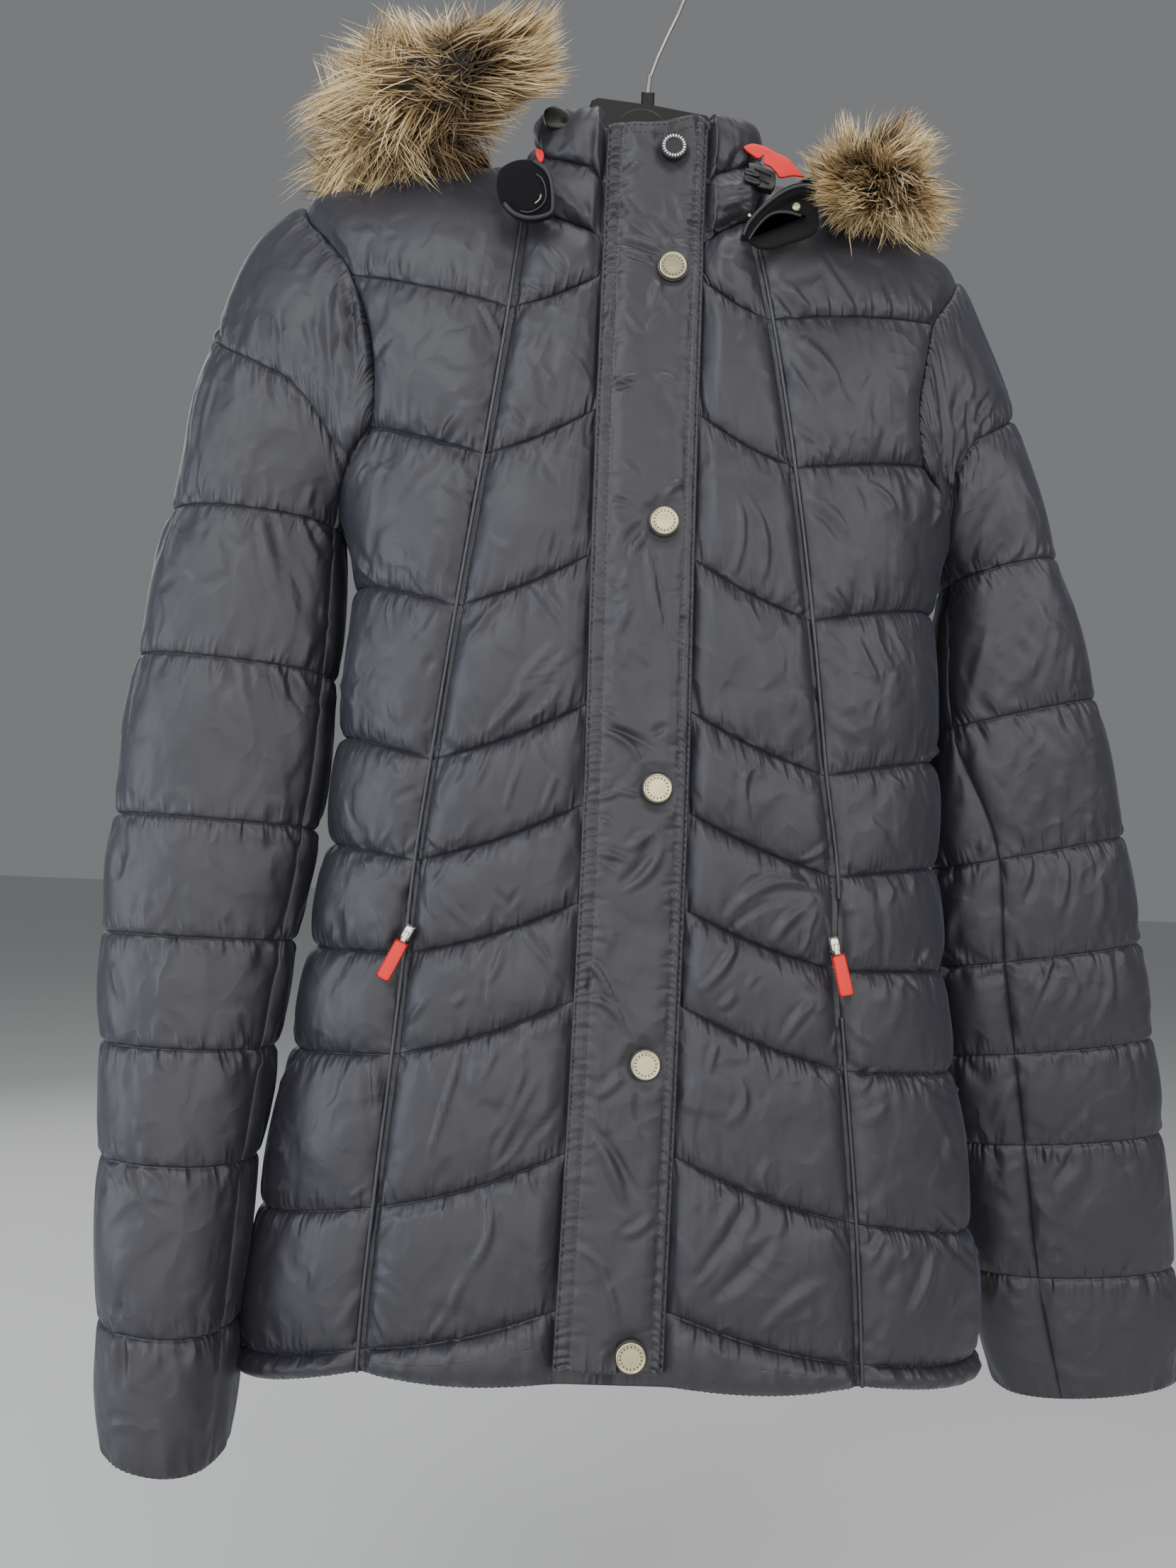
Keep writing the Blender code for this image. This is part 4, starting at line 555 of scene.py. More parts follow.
FOLDS_SLEEVE_LEFT = (
    (-212, 191, -196, 224, -191, 232, 1.3, 1.3), (-197, 213, -190, 225, -185, 236, 1.3, 1.3),
    (-210, 207, -203, 217, -198, 225, 1.3, 1.2), (-186, 269, -183, 295, -178, 325, 2.0, -2.6),
    (-180, 260, -177, 283, -168, 323, 2.5, 2.6), (-174, 254, -170, 282, -168, 311, 2.0, -2.3),
    (-185, 223, -163, 294, -164, 321, 2.1, 2.3), (-197, 280, -194, 291, -188, 303, 1.6, -2.1),
    (-192, 282, -189, 293, -184, 308, 1.2, 1.7), (-214, 279, -212, 289, -210, 299, 1.7, -1.7),
    (-218, 276, -215, 287, -214, 297, 1.2, 1.3), (-264, 249, -259, 275, -259, 292, 1.7, 1.6),
    (-261, 249, -254, 277, -252, 295, 1.3, -1.3), (-257, 306, -260, 332, -262, 358, 1.7, 1.6),
    (-250, 305, -253, 329, -255, 346, 1.3, 1.4), (-216, 305, -216, 320, -209, 328, 2.1, -2.0),
    (-213, 320, -205, 328, -197, 332, 1.6, 1.6), (-187, 312, -180, 321, -176, 327, 1.6, 1.8),
    (-260, 359, -261, 371, -264, 383, 1.2, 1.3), (-253, 362, -255, 373, -256, 384, 1.2, 1.3),
    (-251, 349, -242, 358, -236, 365, 1.2, -1.0), (-230, 365, -226, 373, -223, 380, 1.6, 1.3),
    (-193, 373, -196, 381, -198, 389, 1.7, 2.0), (-218, 376, -216, 384, -214, 389, 1.2, 1.3),
    (-172, 338, -168, 357, -180, 346, 2.6, -2.1), (-220, 394, -214, 422, -206, 447, 2.0, 2.5),
    (-214, 394, -208, 417, -200, 437, 1.6, -2.0), (-205, 421, -197, 445, -182, 451, 1.7, 2.0),
    (-204, 421, -199, 437, -193, 452, 2.1, -2.0), (-197, 392, -192, 405, -184, 420, 1.7, -2.1),
    (-194, 392, -188, 403, -181, 414, 1.3, 1.7), (-275, 391, -279, 409, -281, 425, 1.7, 1.6),
    (-265, 392, -270, 412, -271, 427, 1.2, 1.3), (-238, 457, -233, 461, -227, 468, 1.2, -1.3),
    (-192, 439, -186, 450, -180, 459, 1.7, 1.4), (-179, 423, -174, 437, -174, 446, 1.7, 1.7),
    (-241, 478, -242, 490, -238, 505, 1.6, 1.3), (-219, 479, -220, 487, -217, 495, 1.6, -1.8),
    (-223, 494, -218, 510, -211, 526, 1.6, 1.3), (-207, 482, -203, 494, -201, 504, 1.6, 2.0),
    (-210, 482, -207, 496, -202, 514, 1.2, -1.4), (-198, 485, -196, 501, -182, 517, 2.1, -2.6),
    (-195, 484, -192, 496, -182, 508, 1.7, 1.7), (-184, 484, -181, 497, -177, 511, 1.7, 2.1),
    (-224, 535, -216, 546, -207, 562, 1.6, -1.7), (-220, 534, -213, 544, -206, 553, 1.2, 1.3),
    (-257, 546, -251, 554, -246, 562, 1.2, -1.2), (-287, 484, -290, 510, -288, 536, 1.6, 1.7),
    (-297, 486, -294, 514, -293, 544, 1.2, -1.3), (-216, 576, -216, 582, -214, 590, 2.0, -2.1),
    (-233, 577, -231, 583, -229, 589, 1.2, 1.2), (-196, 576, -192, 587, -188, 603, 1.6, -2.1),
    (-198, 576, -194, 585, -190, 595, 1.2, 1.6), (-186, 580, -186, 588, -188, 594, 1.7, 1.6),
    (-285, 595, -281, 601, -281, 611, 2.4, -1.6), (-262, 618, -264, 623, -264, 629, 2.0, 1.3),
    (-252, 639, -250, 646, -248, 654, 1.6, 1.3), (-264, 641, -261, 648, -255, 661, 1.2, -1.3),
    (-279, 657, -274, 666, -269, 677, 1.5, 1.4), (-203, 639, -197, 657, -197, 677, 2.0, 1.4),
    (-218, 639, -215, 645, -212, 651, 1.2, -1.3), (-215, 676, -209, 675, -203, 676, 1.2, -1.0),
    (-208, 697, -204, 704, -202, 712, 1.6, 1.8), (-213, 683, -210, 687, -209, 692, 1.2, -1.2),
    (-253, 701, -248, 710, -239, 717, 1.5, 1.6), (-256, 738, -254, 741, -252, 742, 1.5, 1.7),
    (-218, 742, -214, 741, -213, 740, 1.5, -1.6), (-275, 757, -267, 762, -258, 775, 1.5, 1.7),
    (-259, 756, -252, 771, -244, 785, 1.5, 2.1), (-254, 757, -246, 762, -237, 770, 1.5, 1.6),
    (-216, 780, -213, 777, -210, 774, 1.9, -1.6), (-233, 801, -224, 809, -217, 803, 1.8, 1.7),
    (-217, 809, -214, 807, -211, 804, 1.5, 1.3), (-252, 823, -253, 828, -254, 834, 1.5, -1.7),
    (-257, 838, -253, 849, -250, 863, 1.8, 2.1), (-250, 841, -249, 852, -247, 863, 1.5, -1.6),
    (-219, 847, -220, 854, -220, 860, 1.5, 1.6), (-224, 883, -219, 882, -217, 880, 1.8, 1.2),
)
FOLDS_SLEEVE_RIGHT = (
    (185, 298, 181, 311, 180, 323, 2.5, -1.8), (191, 292, 190, 305, 185, 312, 1.7, 1.8),
    (187, 308, 184, 318, 184, 324, 1.7, 1.8), (205, 300, 199, 311, 194, 323, 1.7, -2.0),
    (209, 300, 203, 310, 199, 320, 1.3, 1.6), (166, 318, 169, 326, 170, 334, 1.7, 1.4),
    (176, 343, 180, 353, 197, 351, 1.7, 2.1), (190, 334, 187, 358, 191, 384, 2.1, -2.6),
    (186, 338, 184, 362, 191, 383, 1.7, 2.0), (195, 329, 197, 341, 194, 351, 1.7, 1.7),
    (206, 340, 198, 361, 188, 376, 2.1, 1.7), (220, 355, 208, 373, 203, 400, 2.6, -2.5),
    (218, 365, 212, 381, 207, 398, 1.7, 2.2), (222, 376, 215, 388, 211, 401, 1.7, 1.8),
    (230, 384, 227, 392, 222, 400, 1.7, 1.6), (193, 389, 194, 392, 196, 395, 2.2, 1.7),
    (203, 416, 200, 424, 198, 434, 1.7, 1.7), (203, 445, 199, 450, 197, 456, 2.2, -1.8),
    (216, 441, 212, 460, 207, 481, 2.1, 2.3), (219, 442, 240, 442, 210, 469, 1.8, -1.6),
    (242, 454, 233, 467, 220, 480, 1.7, 2.0), (248, 448, 245, 458, 238, 477, 1.7, -1.6),
    (224, 410, 230, 419, 237, 421, 1.7, -1.3), (253, 434, 250, 447, 247, 460, 1.3, 1.3),
    (264, 441, 262, 457, 261, 474, 1.7, 1.3), (195, 454, 195, 461, 195, 468, 1.8, 1.8),
    (200, 502, 203, 511, 202, 522, 2.2, 1.6), (209, 507, 206, 520, 204, 528, 1.3, -1.3),
    (215, 535, 210, 539, 207, 546, 1.7, 1.6), (233, 507, 228, 518, 221, 533, 2.1, 2.0),
    (239, 524, 230, 526, 221, 535, 1.7, -1.4), (268, 529, 253, 538, 241, 545, 1.3, 1.3),
    (246, 522, 240, 537, 231, 554, 2.1, -1.8), (245, 547, 228, 554, 233, 554, 1.3, 1.6),
    (221, 560, 219, 567, 218, 573, 1.7, 1.8), (259, 548, 259, 557, 258, 563, 1.7, 1.3),
    (282, 543, 279, 549, 276, 555, 1.7, 1.3), (220, 575, 218, 586, 216, 597, 1.7, 1.8),
    (202, 602, 201, 591, 211, 582, 1.8, 1.7), (244, 574, 243, 587, 235, 598, 2.1, 2.1),
    (248, 576, 246, 591, 241, 604, 1.7, -1.6), (264, 571, 265, 586, 262, 608, 2.1, 2.3),
    (269, 571, 270, 586, 269, 601, 1.7, -1.7), (279, 571, 281, 577, 280, 586, 1.3, 1.2),
    (286, 585, 288, 602, 285, 615, 2.1, 1.6), (297, 570, 302, 576, 311, 584, 1.7, 1.3),
    (208, 606, 207, 619, 207, 630, 1.7, 1.7), (205, 628, 210, 634, 213, 638, 1.7, 1.7),
    (229, 605, 231, 613, 227, 618, 1.7, 1.6), (260, 631, 256, 649, 248, 668, 2.1, 2.3),
    (265, 631, 261, 646, 253, 659, 1.7, -2.0), (255, 632, 251, 647, 245, 656, 1.3, 1.4),
    (269, 633, 276, 650, 268, 667, 2.1, 1.8), (285, 637, 286, 645, 282, 654, 1.7, -1.2),
    (295, 630, 297, 654, 289, 675, 2.2, 2.1), (284, 673, 281, 678, 279, 682, 1.7, 1.7),
    (221, 651, 228, 646, 239, 647, 2.2, -1.6), (247, 664, 244, 669, 240, 674, 1.3, 1.4),
    (207, 657, 209, 647, 213, 643, 1.8, 1.4), (231, 696, 233, 700, 236, 705, 1.3, 1.4),
    (222, 697, 225, 701, 227, 704, 1.3, 1.3), (251, 706, 244, 713, 237, 726, 2.2, 2.1),
    (250, 712, 242, 722, 236, 738, 1.7, 1.8), (245, 726, 244, 735, 245, 744, 1.7, 1.8),
    (281, 689, 287, 697, 286, 706, 2.2, 1.7), (290, 723, 288, 730, 287, 736, 2.2, 1.6),
    (279, 728, 278, 734, 277, 740, 1.7, -1.4), (228, 783, 238, 771, 259, 757, 1.8, 2.0),
    (269, 746, 268, 755, 264, 760, 1.7, 1.7), (280, 743, 280, 750, 281, 754, 1.7, 1.7),
    (291, 758, 283, 769, 271, 779, 2.6, 2.2), (284, 746, 278, 763, 271, 773, 2.2, -1.8),
    (319, 762, 324, 769, 332, 773, 1.7, 1.3), (292, 786, 309, 783, 328, 779, 2.6, 1.8),
    (263, 788, 275, 787, 289, 787, 1.7, 1.4), (261, 784, 258, 792, 252, 797, 1.8, 2.0),
    (262, 802, 257, 807, 240, 813, 2.2, 2.1), (263, 797, 282, 817, 258, 806, 1.3, -1.7),
    (265, 803, 274, 806, 281, 810, 1.7, 1.7), (266, 801, 276, 802, 287, 806, 2.6, -1.8),
    (265, 808, 261, 814, 254, 820, 1.8, 2.0), (322, 815, 319, 819, 317, 824, 1.7, 1.6),
    (316, 828, 321, 832, 326, 835, 1.3, 1.3), (252, 844, 257, 848, 262, 848, 2.2, 1.6),
    (252, 863, 257, 864, 266, 858, 2.2, 1.7), (284, 855, 292, 856, 300, 851, 2.2, 1.4),
    (280, 883, 290, 888, 316, 889, 2.6, 1.7), (276, 846, 282, 846, 286, 844, 1.7, 1.3),
)
FOLDS_COLLAR = (
    (27, 216, 39, 212, 51, 204, 2.0, 1.6), (26, 230, 36, 225, 48, 216, 2.0, -1.6),
    (28, 233, 40, 226, 53, 215, 1.6, 1.6), (31, 204, 40, 201, 51, 199, 1.6, 1.4),
    (-56, 209, -46, 217, -35, 226, 2.0, 1.6), (-54, 219, -45, 225, -36, 231, 1.6, -1.4),
    (-57, 203, -48, 210, -41, 217, 1.6, 1.3), (39, 189, 42, 182, 46, 174, 2.0, -1.4),
    (43, 193, 45, 185, 47, 180, 1.6, 1.3), (24, 190, 30, 193, 39, 193, 1.6, 1.2),
    (-55, 186, -47, 185, -37, 190, 2.4, 1.2),
)
FOLDS_FLAP = (
    (-25, 239, -9, 242, 7, 249, 1.8, -2.6), (-24, 244, -9, 248, 3, 254, 1.3, 1.6),
    (-22, 207, -14, 221, 3, 237, 1.8, 2.1), (-7, 223, 5, 234, 11, 242, 2.2, 2.1),
    (8, 210, 13, 224, 16, 234, 1.8, -1.8), (-18, 201, -14, 197, -9, 195, 1.8, 1.4),
    (-23, 263, -16, 267, -12, 275, 1.3, 1.4), (-21, 274, -23, 282, -24, 292, 1.3, 1.6),
    (4, 262, 2, 271, 0, 281, 2.2, 1.9), (-14, 282, -9, 290, -5, 294, 1.3, 1.6),
    (-3, 294, 2, 287, 6, 281, 1.3, 1.4), (-21, 323, -14, 322, -4, 319, 1.7, 2.6),
    (-20, 328, -14, 325, -7, 322, 1.3, -1.9), (4, 319, 10, 320, 16, 324, 1.7, 1.8),
    (-17, 336, -14, 331, -10, 328, 1.3, 1.3), (-12, 370, -8, 374, -6, 379, 1.7, 1.8),
    (2, 389, 5, 393, 6, 396, 1.7, 1.9), (12, 387, 16, 381, 21, 379, 1.7, 2.2),
    (-19, 391, -13, 391, -4, 394, 1.3, -2.4), (-17, 394, -11, 393, -3, 396, 1.3, 1.4),
    (3, 404, -6, 409, -10, 422, 2.6, -2.7), (5, 407, -3, 414, -6, 423, 1.7, 2.1),
    (3, 415, 6, 439, 13, 466, 1.7, 2.2), (7, 417, 11, 440, 15, 462, 1.3, -1.6),
    (-17, 441, -10, 437, -7, 427, 1.7, 1.9), (-19, 436, -13, 440, -16, 445, 1.7, -2.2),
    (-5, 447, -9, 455, -12, 465, 2.1, 2.1), (-15, 469, -12, 477, -6, 484, 1.7, 1.9),
    (-1, 470, 1, 476, 4, 482, 2.1, 1.8), (-16, 486, -11, 492, -7, 496, 1.3, 1.6),
    (-19, 506, -15, 510, -11, 514, 1.3, 1.8), (-18, 518, -4, 525, 5, 540, 1.7, 2.7),
    (-16, 517, -3, 520, 11, 528, 2.1, -2.2), (9, 520, 13, 516, 17, 514, 2.1, -1.9),
    (4, 538, 10, 540, 15, 542, 1.7, 1.8), (-18, 527, -15, 531, -14, 535, 1.3, 1.4),
    (-19, 555, -12, 553, -8, 550, 1.3, 2.1), (-9, 550, -1, 552, 4, 552, 1.3, 1.4),
    (-18, 566, -15, 567, -13, 569, 1.3, 1.8), (-3, 582, 3, 578, 10, 572, 2.1, 1.9),
    (-19, 584, -11, 585, -2, 588, 1.7, 2.6), (-17, 589, -14, 593, -10, 598, 1.3, -1.8),
    (10, 573, 6, 588, -8, 602, 2.9, -2.4), (15, 578, 11, 591, -3, 604, 2.1, 1.9),
    (-17, 619, -15, 626, -11, 632, 1.7, 1.6), (-21, 642, -13, 651, -1, 674, 1.7, 2.7),
    (-18, 649, -20, 655, -21, 658, 1.2, -1.6), (-20, 663, -8, 666, 3, 683, 1.7, 2.4),
    (-14, 667, -10, 673, -8, 677, 1.2, 1.4), (1, 684, 5, 684, 9, 685, 1.2, 1.9),
    (2, 696, -6, 706, -15, 713, 2.1, 2.4), (0, 702, 6, 702, 8, 709, 1.6, 1.4),
    (10, 705, 8, 719, 13, 731, 1.6, -1.9), (-16, 715, -11, 726, -6, 731, 2.1, 1.9),
    (-14, 732, -5, 748, 3, 767, 2.4, 2.9), (-10, 732, 2, 749, 10, 763, 2.0, -1.8),
    (2, 782, 11, 778, 17, 771, 2.0, 2.2), (-19, 789, -7, 801, 2, 827, 1.6, 2.7),
    (-16, 793, -9, 799, -4, 808, 1.2, -1.4), (-2, 832, 2, 836, 8, 835, 1.6, 2.1),
    (-7, 845, -3, 839, 1, 836, 1.2, 1.6),
)


# ---- dense grids ----------------------------------------------------------
ROWS_PER_CHANNEL = 42     # rows of the visible cloth between two quilt lines
LINE_HUG = 0.115          # how much closer the rows lie beside a quilt line
BROAD_POWER = 2.2         # roundness of the padding between two quilt lines
BROAD_SHARE = 0.52        # and its share beside the roll at each line
LONG_PLEATS = 0.22        # share of the pleats that run on further
LONG_PLEAT = 1.7          # and how much further
LEAN = 0.22               # spread of the pleats' slant
BEND = 5.0                # and of their curve
PLEAT_RIM = 0.35          # height of the rims beside a pleat
CREASE_POWER = 1.35       # sharpness of a fold
CREASE_RIM = 0.34         # share of the shallow folds beside it
CREASE_STEPS = 9          # points on a fold's line
WAVE_COUNT = 14
DEEPEST = -0.0009         # the least height of the visible cloth
STITCH = (0.0034, 0.0021, 0.00028)        # pitch, length and half width of the thread
THREAD_RISE = 0.0001


def spline(values, places):
    """Read a smooth curve through evenly spaced values at fractional places."""
    values = np.asarray(values, float)
    count = len(values)
    low = np.clip(np.floor(places).astype(int), 0, count - 2)
    t = (np.asarray(places, float) - low).reshape((-1,) + (1,) * (values.ndim - 1))
    slopes = np.gradient(values, axis=0)
    first, last = values[low], values[low + 1]
    from_slope, to_slope = slopes[low], slopes[low + 1]
    return (
        first * (1 + 2 * t) * (1 - t) ** 2
        + from_slope * t * (1 - t) ** 2
        + last * t ** 2 * (3 - 2 * t)
        - to_slope * t ** 2 * (1 - t)
    )


def regrid(grid, rows, columns):
    """A coarse grid read at fractional rows and columns."""
    tall = spline(grid, rows)
    return np.swapaxes(spline(np.swapaxes(tall, 0, 1), columns), 0, 1)


def even(values, places):
    """Straight-line reading of evenly spaced values at fractional places."""
    return np.interp(places, np.arange(len(values)), values)


def channel_rows(steps, counts):
    """Fractional rows for each stretch between quilt lines, and where in it they lie.

    Gives the rows, the stretch each belongs to and its share of that stretch.
    """
    rows, stretch, share = [], [], []
    start = 0
    for k, (step, count) in enumerate(zip(steps, counts)):
        u = np.arange(count) / count
        u = u - LINE_HUG * np.sin(2 * math.pi * u)
        rows.append(start + u * step)
        stretch.append(np.full(count, k))
        share.append(u)
        start += step
    rows.append([float(start)])
    stretch.append([len(steps) - 1])
    share.append([1.0])
    return np.concatenate(rows), np.concatenate(stretch).astype(int), np.concatenate(share)


def ease(value):
    """From 0 to 1 with level ends."""
    value = np.clip(value, 0, 1)
    return value * value * (3 - 2 * value)


class Cloth:
    """A panel's middle surface, with the measures that its padding needs.

    stretch and share say between which quilt lines each row lies and how far
    down; left and right are the distances to the panel's side seams.
    """

    def __init__(self, points, normals, stretch, share):
        self.points = points
        self.normals = normals
        self.stretch = stretch
        self.share = share
        rows, columns = points.shape[:2]
        step = np.linalg.norm(np.diff(points, axis=1), axis=2)
        self.s = np.concatenate([np.zeros((rows, 1)), np.cumsum(step, axis=1)], axis=1)
        self.width = self.s[:, -1:]
        self.left = self.s
        self.right = self.width - self.s
        down = np.linalg.norm(np.diff(points, axis=0), axis=2)
        down = np.concatenate([np.zeros((1, columns)), np.cumsum(down, axis=0)], axis=0)
        self.down = down
        self.above = np.zeros((rows, columns))
        self.below = np.zeros((rows, columns))
        for k in set(stretch.tolist()):
            rows_in = np.where(stretch == k)[0]
            last = min(rows_in[-1] + 1, rows - 1)
            self.above[rows_in] = down[rows_in] - down[rows_in[0]]
            self.below[rows_in] = down[last] - down[rows_in]
        self.height = np.zeros((rows, columns))


def puff(cloth, swell, border=0.007, line=0.0085, sides=(1, 1), flat_top=0.0):
    """The padding's swelling: down to nothing at quilt lines and side seams."""
    share = cloth.share[:, None]
    tall = cloth.above + cloth.below
    place = cloth.above / np.maximum(tall, 1e-6)
    broad = 1 - np.abs(2 * place - 1) ** BROAD_POWER
    near = np.minimum(cloth.above, cloth.below)
    rolled = np.sqrt(np.maximum(1 - (1 - np.minimum(near / line, 1)) ** 2, 0))
    full = BROAD_SHARE * broad + (1 - BROAD_SHARE) * rolled
    if flat_top:
        top = np.maximum(full, flat_top)
        full = np.where(cloth.stretch[:, None] == 0, np.where(share < 0.5, top, full), full)
    if sides[0]:
        full = full * (1 - sides[0] * np.exp(-cloth.left / border))
    if sides[1]:
        full = full * (1 - sides[1] * np.exp(-cloth.right / border))
    cloth.height += swell * full


def gathers(cloth, every, seed, deep=0.0011, reach=(0.006, 0.038), skip=()):
    """Small pleats that run out of each quilt line, up and down, uneven."""
    rng = np.random.default_rng(seed)
    for k in sorted(set(cloth.stretch.tolist())):
        rows_in = np.where(cloth.stretch == k)[0]
        tall = cloth.below[rows_in[0]].mean()
        for face, distance in ((0, cloth.above), (1, cloth.below)):
            if (k, face) in skip:
                continue
            edge = rows_in[0] if face == 0 else rows_in[-1]
            wide = cloth.width[edge, 0]
            place = rng.uniform(0, every)
            while place < wide:
                long = rng.uniform(*reach)
                if rng.random() < LONG_PLEATS:
                    long *= LONG_PLEAT
                long = min(long, tall * 0.85)
                thin = rng.uniform(0.0011, 0.0026)
                lean = rng.normal(0, LEAN)
                bend = rng.normal(0, BEND)
                depth_here = deep * rng.uniform(0.35, 1.25) * (0.6 + 12 * thin / 0.03)
                d = distance[rows_in]
                across = cloth.s[rows_in] - (place + lean * d + bend * d * d)
                spread = thin * (1 + 1.6 * d / long)
                fade = np.clip(1 - d / long, 0, 1) ** 0.8 * ease(d / 0.0035)
                trough = np.exp(-(across / spread) ** 2) * fade
                rims = np.exp(-((np.abs(across) - 2.1 * spread) / spread) ** 2) * fade
                cloth.height[rows_in] += depth_here * (PLEAT_RIM * rims - trough)
                place += every * rng.uniform(0.45, 1.7)


def seam_pleats(cloth, edge, every, seed, deep=0.0008, reach=(0.003, 0.012)):
    """Short pleats that run out of a side seam."""
    rng = np.random.default_rng(seed)
    distance = cloth.left if edge < 0 else cloth.right
    column = 0 if edge < 0 else -1
    down = cloth.down[:, column][:, None] + 0 * distance
    place = 0.01
    while place < cloth.down[-1, column]:
        long = rng.uniform(*reach)
        thin = rng.uniform(0.0010, 0.0022)
        lean = rng.normal(0, 0.25)
        across = down - (place + lean * distance)
        fade = np.clip(1 - distance / long, 0, 1) * ease(distance / 0.002)
        cloth.height -= deep * rng.uniform(0.4, 1.2) * np.exp(-(across / thin) ** 2) * fade
        place += every * rng.uniform(0.5, 1.6)


def crease(cloth, fold, face=0):
    """A given fold, with shallow ones of the other sense beside it.

    The fold gives three points (x, drop) on its line, its half width and its
    height, in millimetres; a negative height is a trough. On a tube it is kept
    to the side that faces forwards (-1) or backwards (1).
    """
    fold = np.asarray(fold, float) / 1000
    start, middle, end = fold[0:2], fold[2:4], fold[4:6]
    width, rise = fold[6], fold[7]
    x = cloth.points[..., 0]
    drop = -cloth.points[..., 2]
    bend = 2 * middle - (start + end) / 2
    t = np.linspace(0, 1, CREASE_STEPS)[:, None]
    path = start * (1 - t) ** 2 + 2 * bend * t * (1 - t) + end * t ** 2
    low = path.min(axis=0) - 4 * width
    high = path.max(axis=0) + 4 * width
    near = (x > low[0]) & (x < high[0]) & (drop > low[1]) & (drop < high[1])
    if face:
        near &= cloth.normals[..., 1] * face > -0.1
    if not near.any():
        return
    p = np.stack([x[near], drop[near]], axis=-1)
    best = np.full(len(p), 1e9)
    along = np.zeros(len(p))
    for k in range(len(path) - 1):
        a, b = path[k], path[k + 1]
        ab = b - a
        u = np.clip(((p - a) @ ab) / max(ab @ ab, 1e-12), 0, 1)
        d = np.linalg.norm(p - (a + u[:, None] * ab), axis=1)
        closer = d < best
        best = np.where(closer, d, best)
        along = np.where(closer, (k + u) / (len(path) - 1), along)
    taper = np.sin(math.pi * np.clip(along, 0.0, 1)) ** 0.6
    size = width * (0.6 + 0.4 * taper)
    rims = np.exp(-((best / size - 2.1) / 0.9) ** 2)
    shape = np.exp(-(best / size) ** CREASE_POWER) - CREASE_RIM * rims
    if face:
        taper = taper * ease((cloth.normals[..., 1][near] * face + 0.1) / 0.3)
    cloth.height[near] += rise * shape * taper


def waves(cloth, seed, size, rise, edges=0.012):
    """Broad soft unevenness, faded out towards the borders."""
    rng = np.random.default_rng(seed)
    s = cloth.s / size
    d = cloth.down / size
    total = np.zeros_like(s)
    for _ in range(WAVE_COUNT):
        angle = rng.uniform(0, 2 * math.pi)
        rate = rng.uniform(0.6, 2.2)
        phase = rng.uniform(0, 2 * math.pi)
        total += np.sin(rate * (math.cos(angle) * s + math.sin(angle) * d) * 2 + phase) / rate
    total /= 6.0
    near = np.minimum(np.minimum(cloth.left, cloth.right), np.minimum(cloth.above, cloth.below))
    cloth.height += rise * total * (1 - np.exp(-near / edges))


def outer(cloth):
    """The cloth's visible surface."""
    return cloth.points + cloth.normals * (WALL / 2 + np.maximum(cloth.height, DEEPEST))[..., None]


def shell(name, cloth, look, coarse=(6, 6), thick=WALL / 2):
    """A closed thin piece: the dense outside, a plain inside and rims between.

    coarse says every how many rows and columns the inside has a point, and
    thick how far it lies behind the middle surface.
    """
    front = outer(cloth)
    rows, columns = front.shape[:2]
    keep_rows = sorted(set(range(0, rows, coarse[0])) | {rows - 1})
    keep_columns = sorted(set(range(0, columns, coarse[1])) | {columns - 1})
    kept = np.ix_(keep_rows, keep_columns)
    back = (cloth.points - cloth.normals * thick)[kept]
    points = np.concatenate([front.reshape(-1, 3), back.reshape(-1, 3)])
    base = rows * columns
    wide = len(keep_columns)
    faces = []
    for j in range(rows - 1):
        a = j * columns + np.arange(columns - 1)
        faces.extend(zip(a, a + columns, a + columns + 1, a + 1))
    outside = len(faces)
    for j in range(len(keep_rows) - 1):
        a = base + j * wide + np.arange(wide - 1)
        faces.extend(zip(a, a + 1, a + wide + 1, a + wide))
    for i in range(wide - 1):
        first, last = keep_columns[i], keep_columns[i + 1]
        top = list(range(first, last + 1))
        faces.append(tuple([base + i + 1, base + i] + top))
        low = [(rows - 1) * columns + c for c in range(last, first - 1, -1)]
        start = base + (len(keep_rows) - 1) * wide + i
        faces.append(tuple([start, start + 1] + low))
    for j in range(len(keep_rows) - 1):
        first, last = keep_rows[j], keep_rows[j + 1]
        left = [r * columns for r in range(last, first - 1, -1)]
        faces.append(tuple([base + j * wide, base + (j + 1) * wide] + left))
        right = [r * columns + columns - 1 for r in range(first, last + 1)]
        start = base + j * wide + wide - 1
        faces.append(tuple([start + wide, start] + right))
    made = mesh_object(name, points, faces, look)
    mesh = made.data
    mesh.materials.append(LOOKS["inside"])
    inside = np.zeros(len(mesh.polygons), int)
    inside[outside:outside + (len(keep_rows) - 1) * (wide - 1)] = 1
    mesh.polygons.foreach_set("material_index", inside)
    lay = mesh.uv_layers.new(name="cloth")
    loops = np.zeros(len(mesh.loops), int)
    mesh.loops.foreach_get("vertex_index", loops)
    flat = np.stack([cloth.s, cloth.down], axis=-1)
    flat = np.concatenate([flat.reshape(-1, 2), flat[kept].reshape(-1, 2)])
    lay.data.foreach_set("uv", flat[loops].astype(np.float32).ravel())
    near = np.minimum(cloth.above, cloth.below)
    side = cloth.stretch[:, None] + np.where(cloth.above < cloth.below, 0.37, 0.0)
    tall = np.maximum(cloth.above + cloth.below, 1e-4)
    margin = ease(1.02 - near / (0.5 * tall))
    for label, values in (("near", near), ("channel", side), ("margin", margin)):
        store(mesh, label, np.concatenate([values.ravel(), values[kept].ravel()]))
    return made


def store(mesh, label, values):
    """A measure stored with each point of a mesh, for its look."""
    layer = mesh.attributes.new(label, "FLOAT", "POINT")
    layer.data.foreach_set("value", values.astype(np.float32))


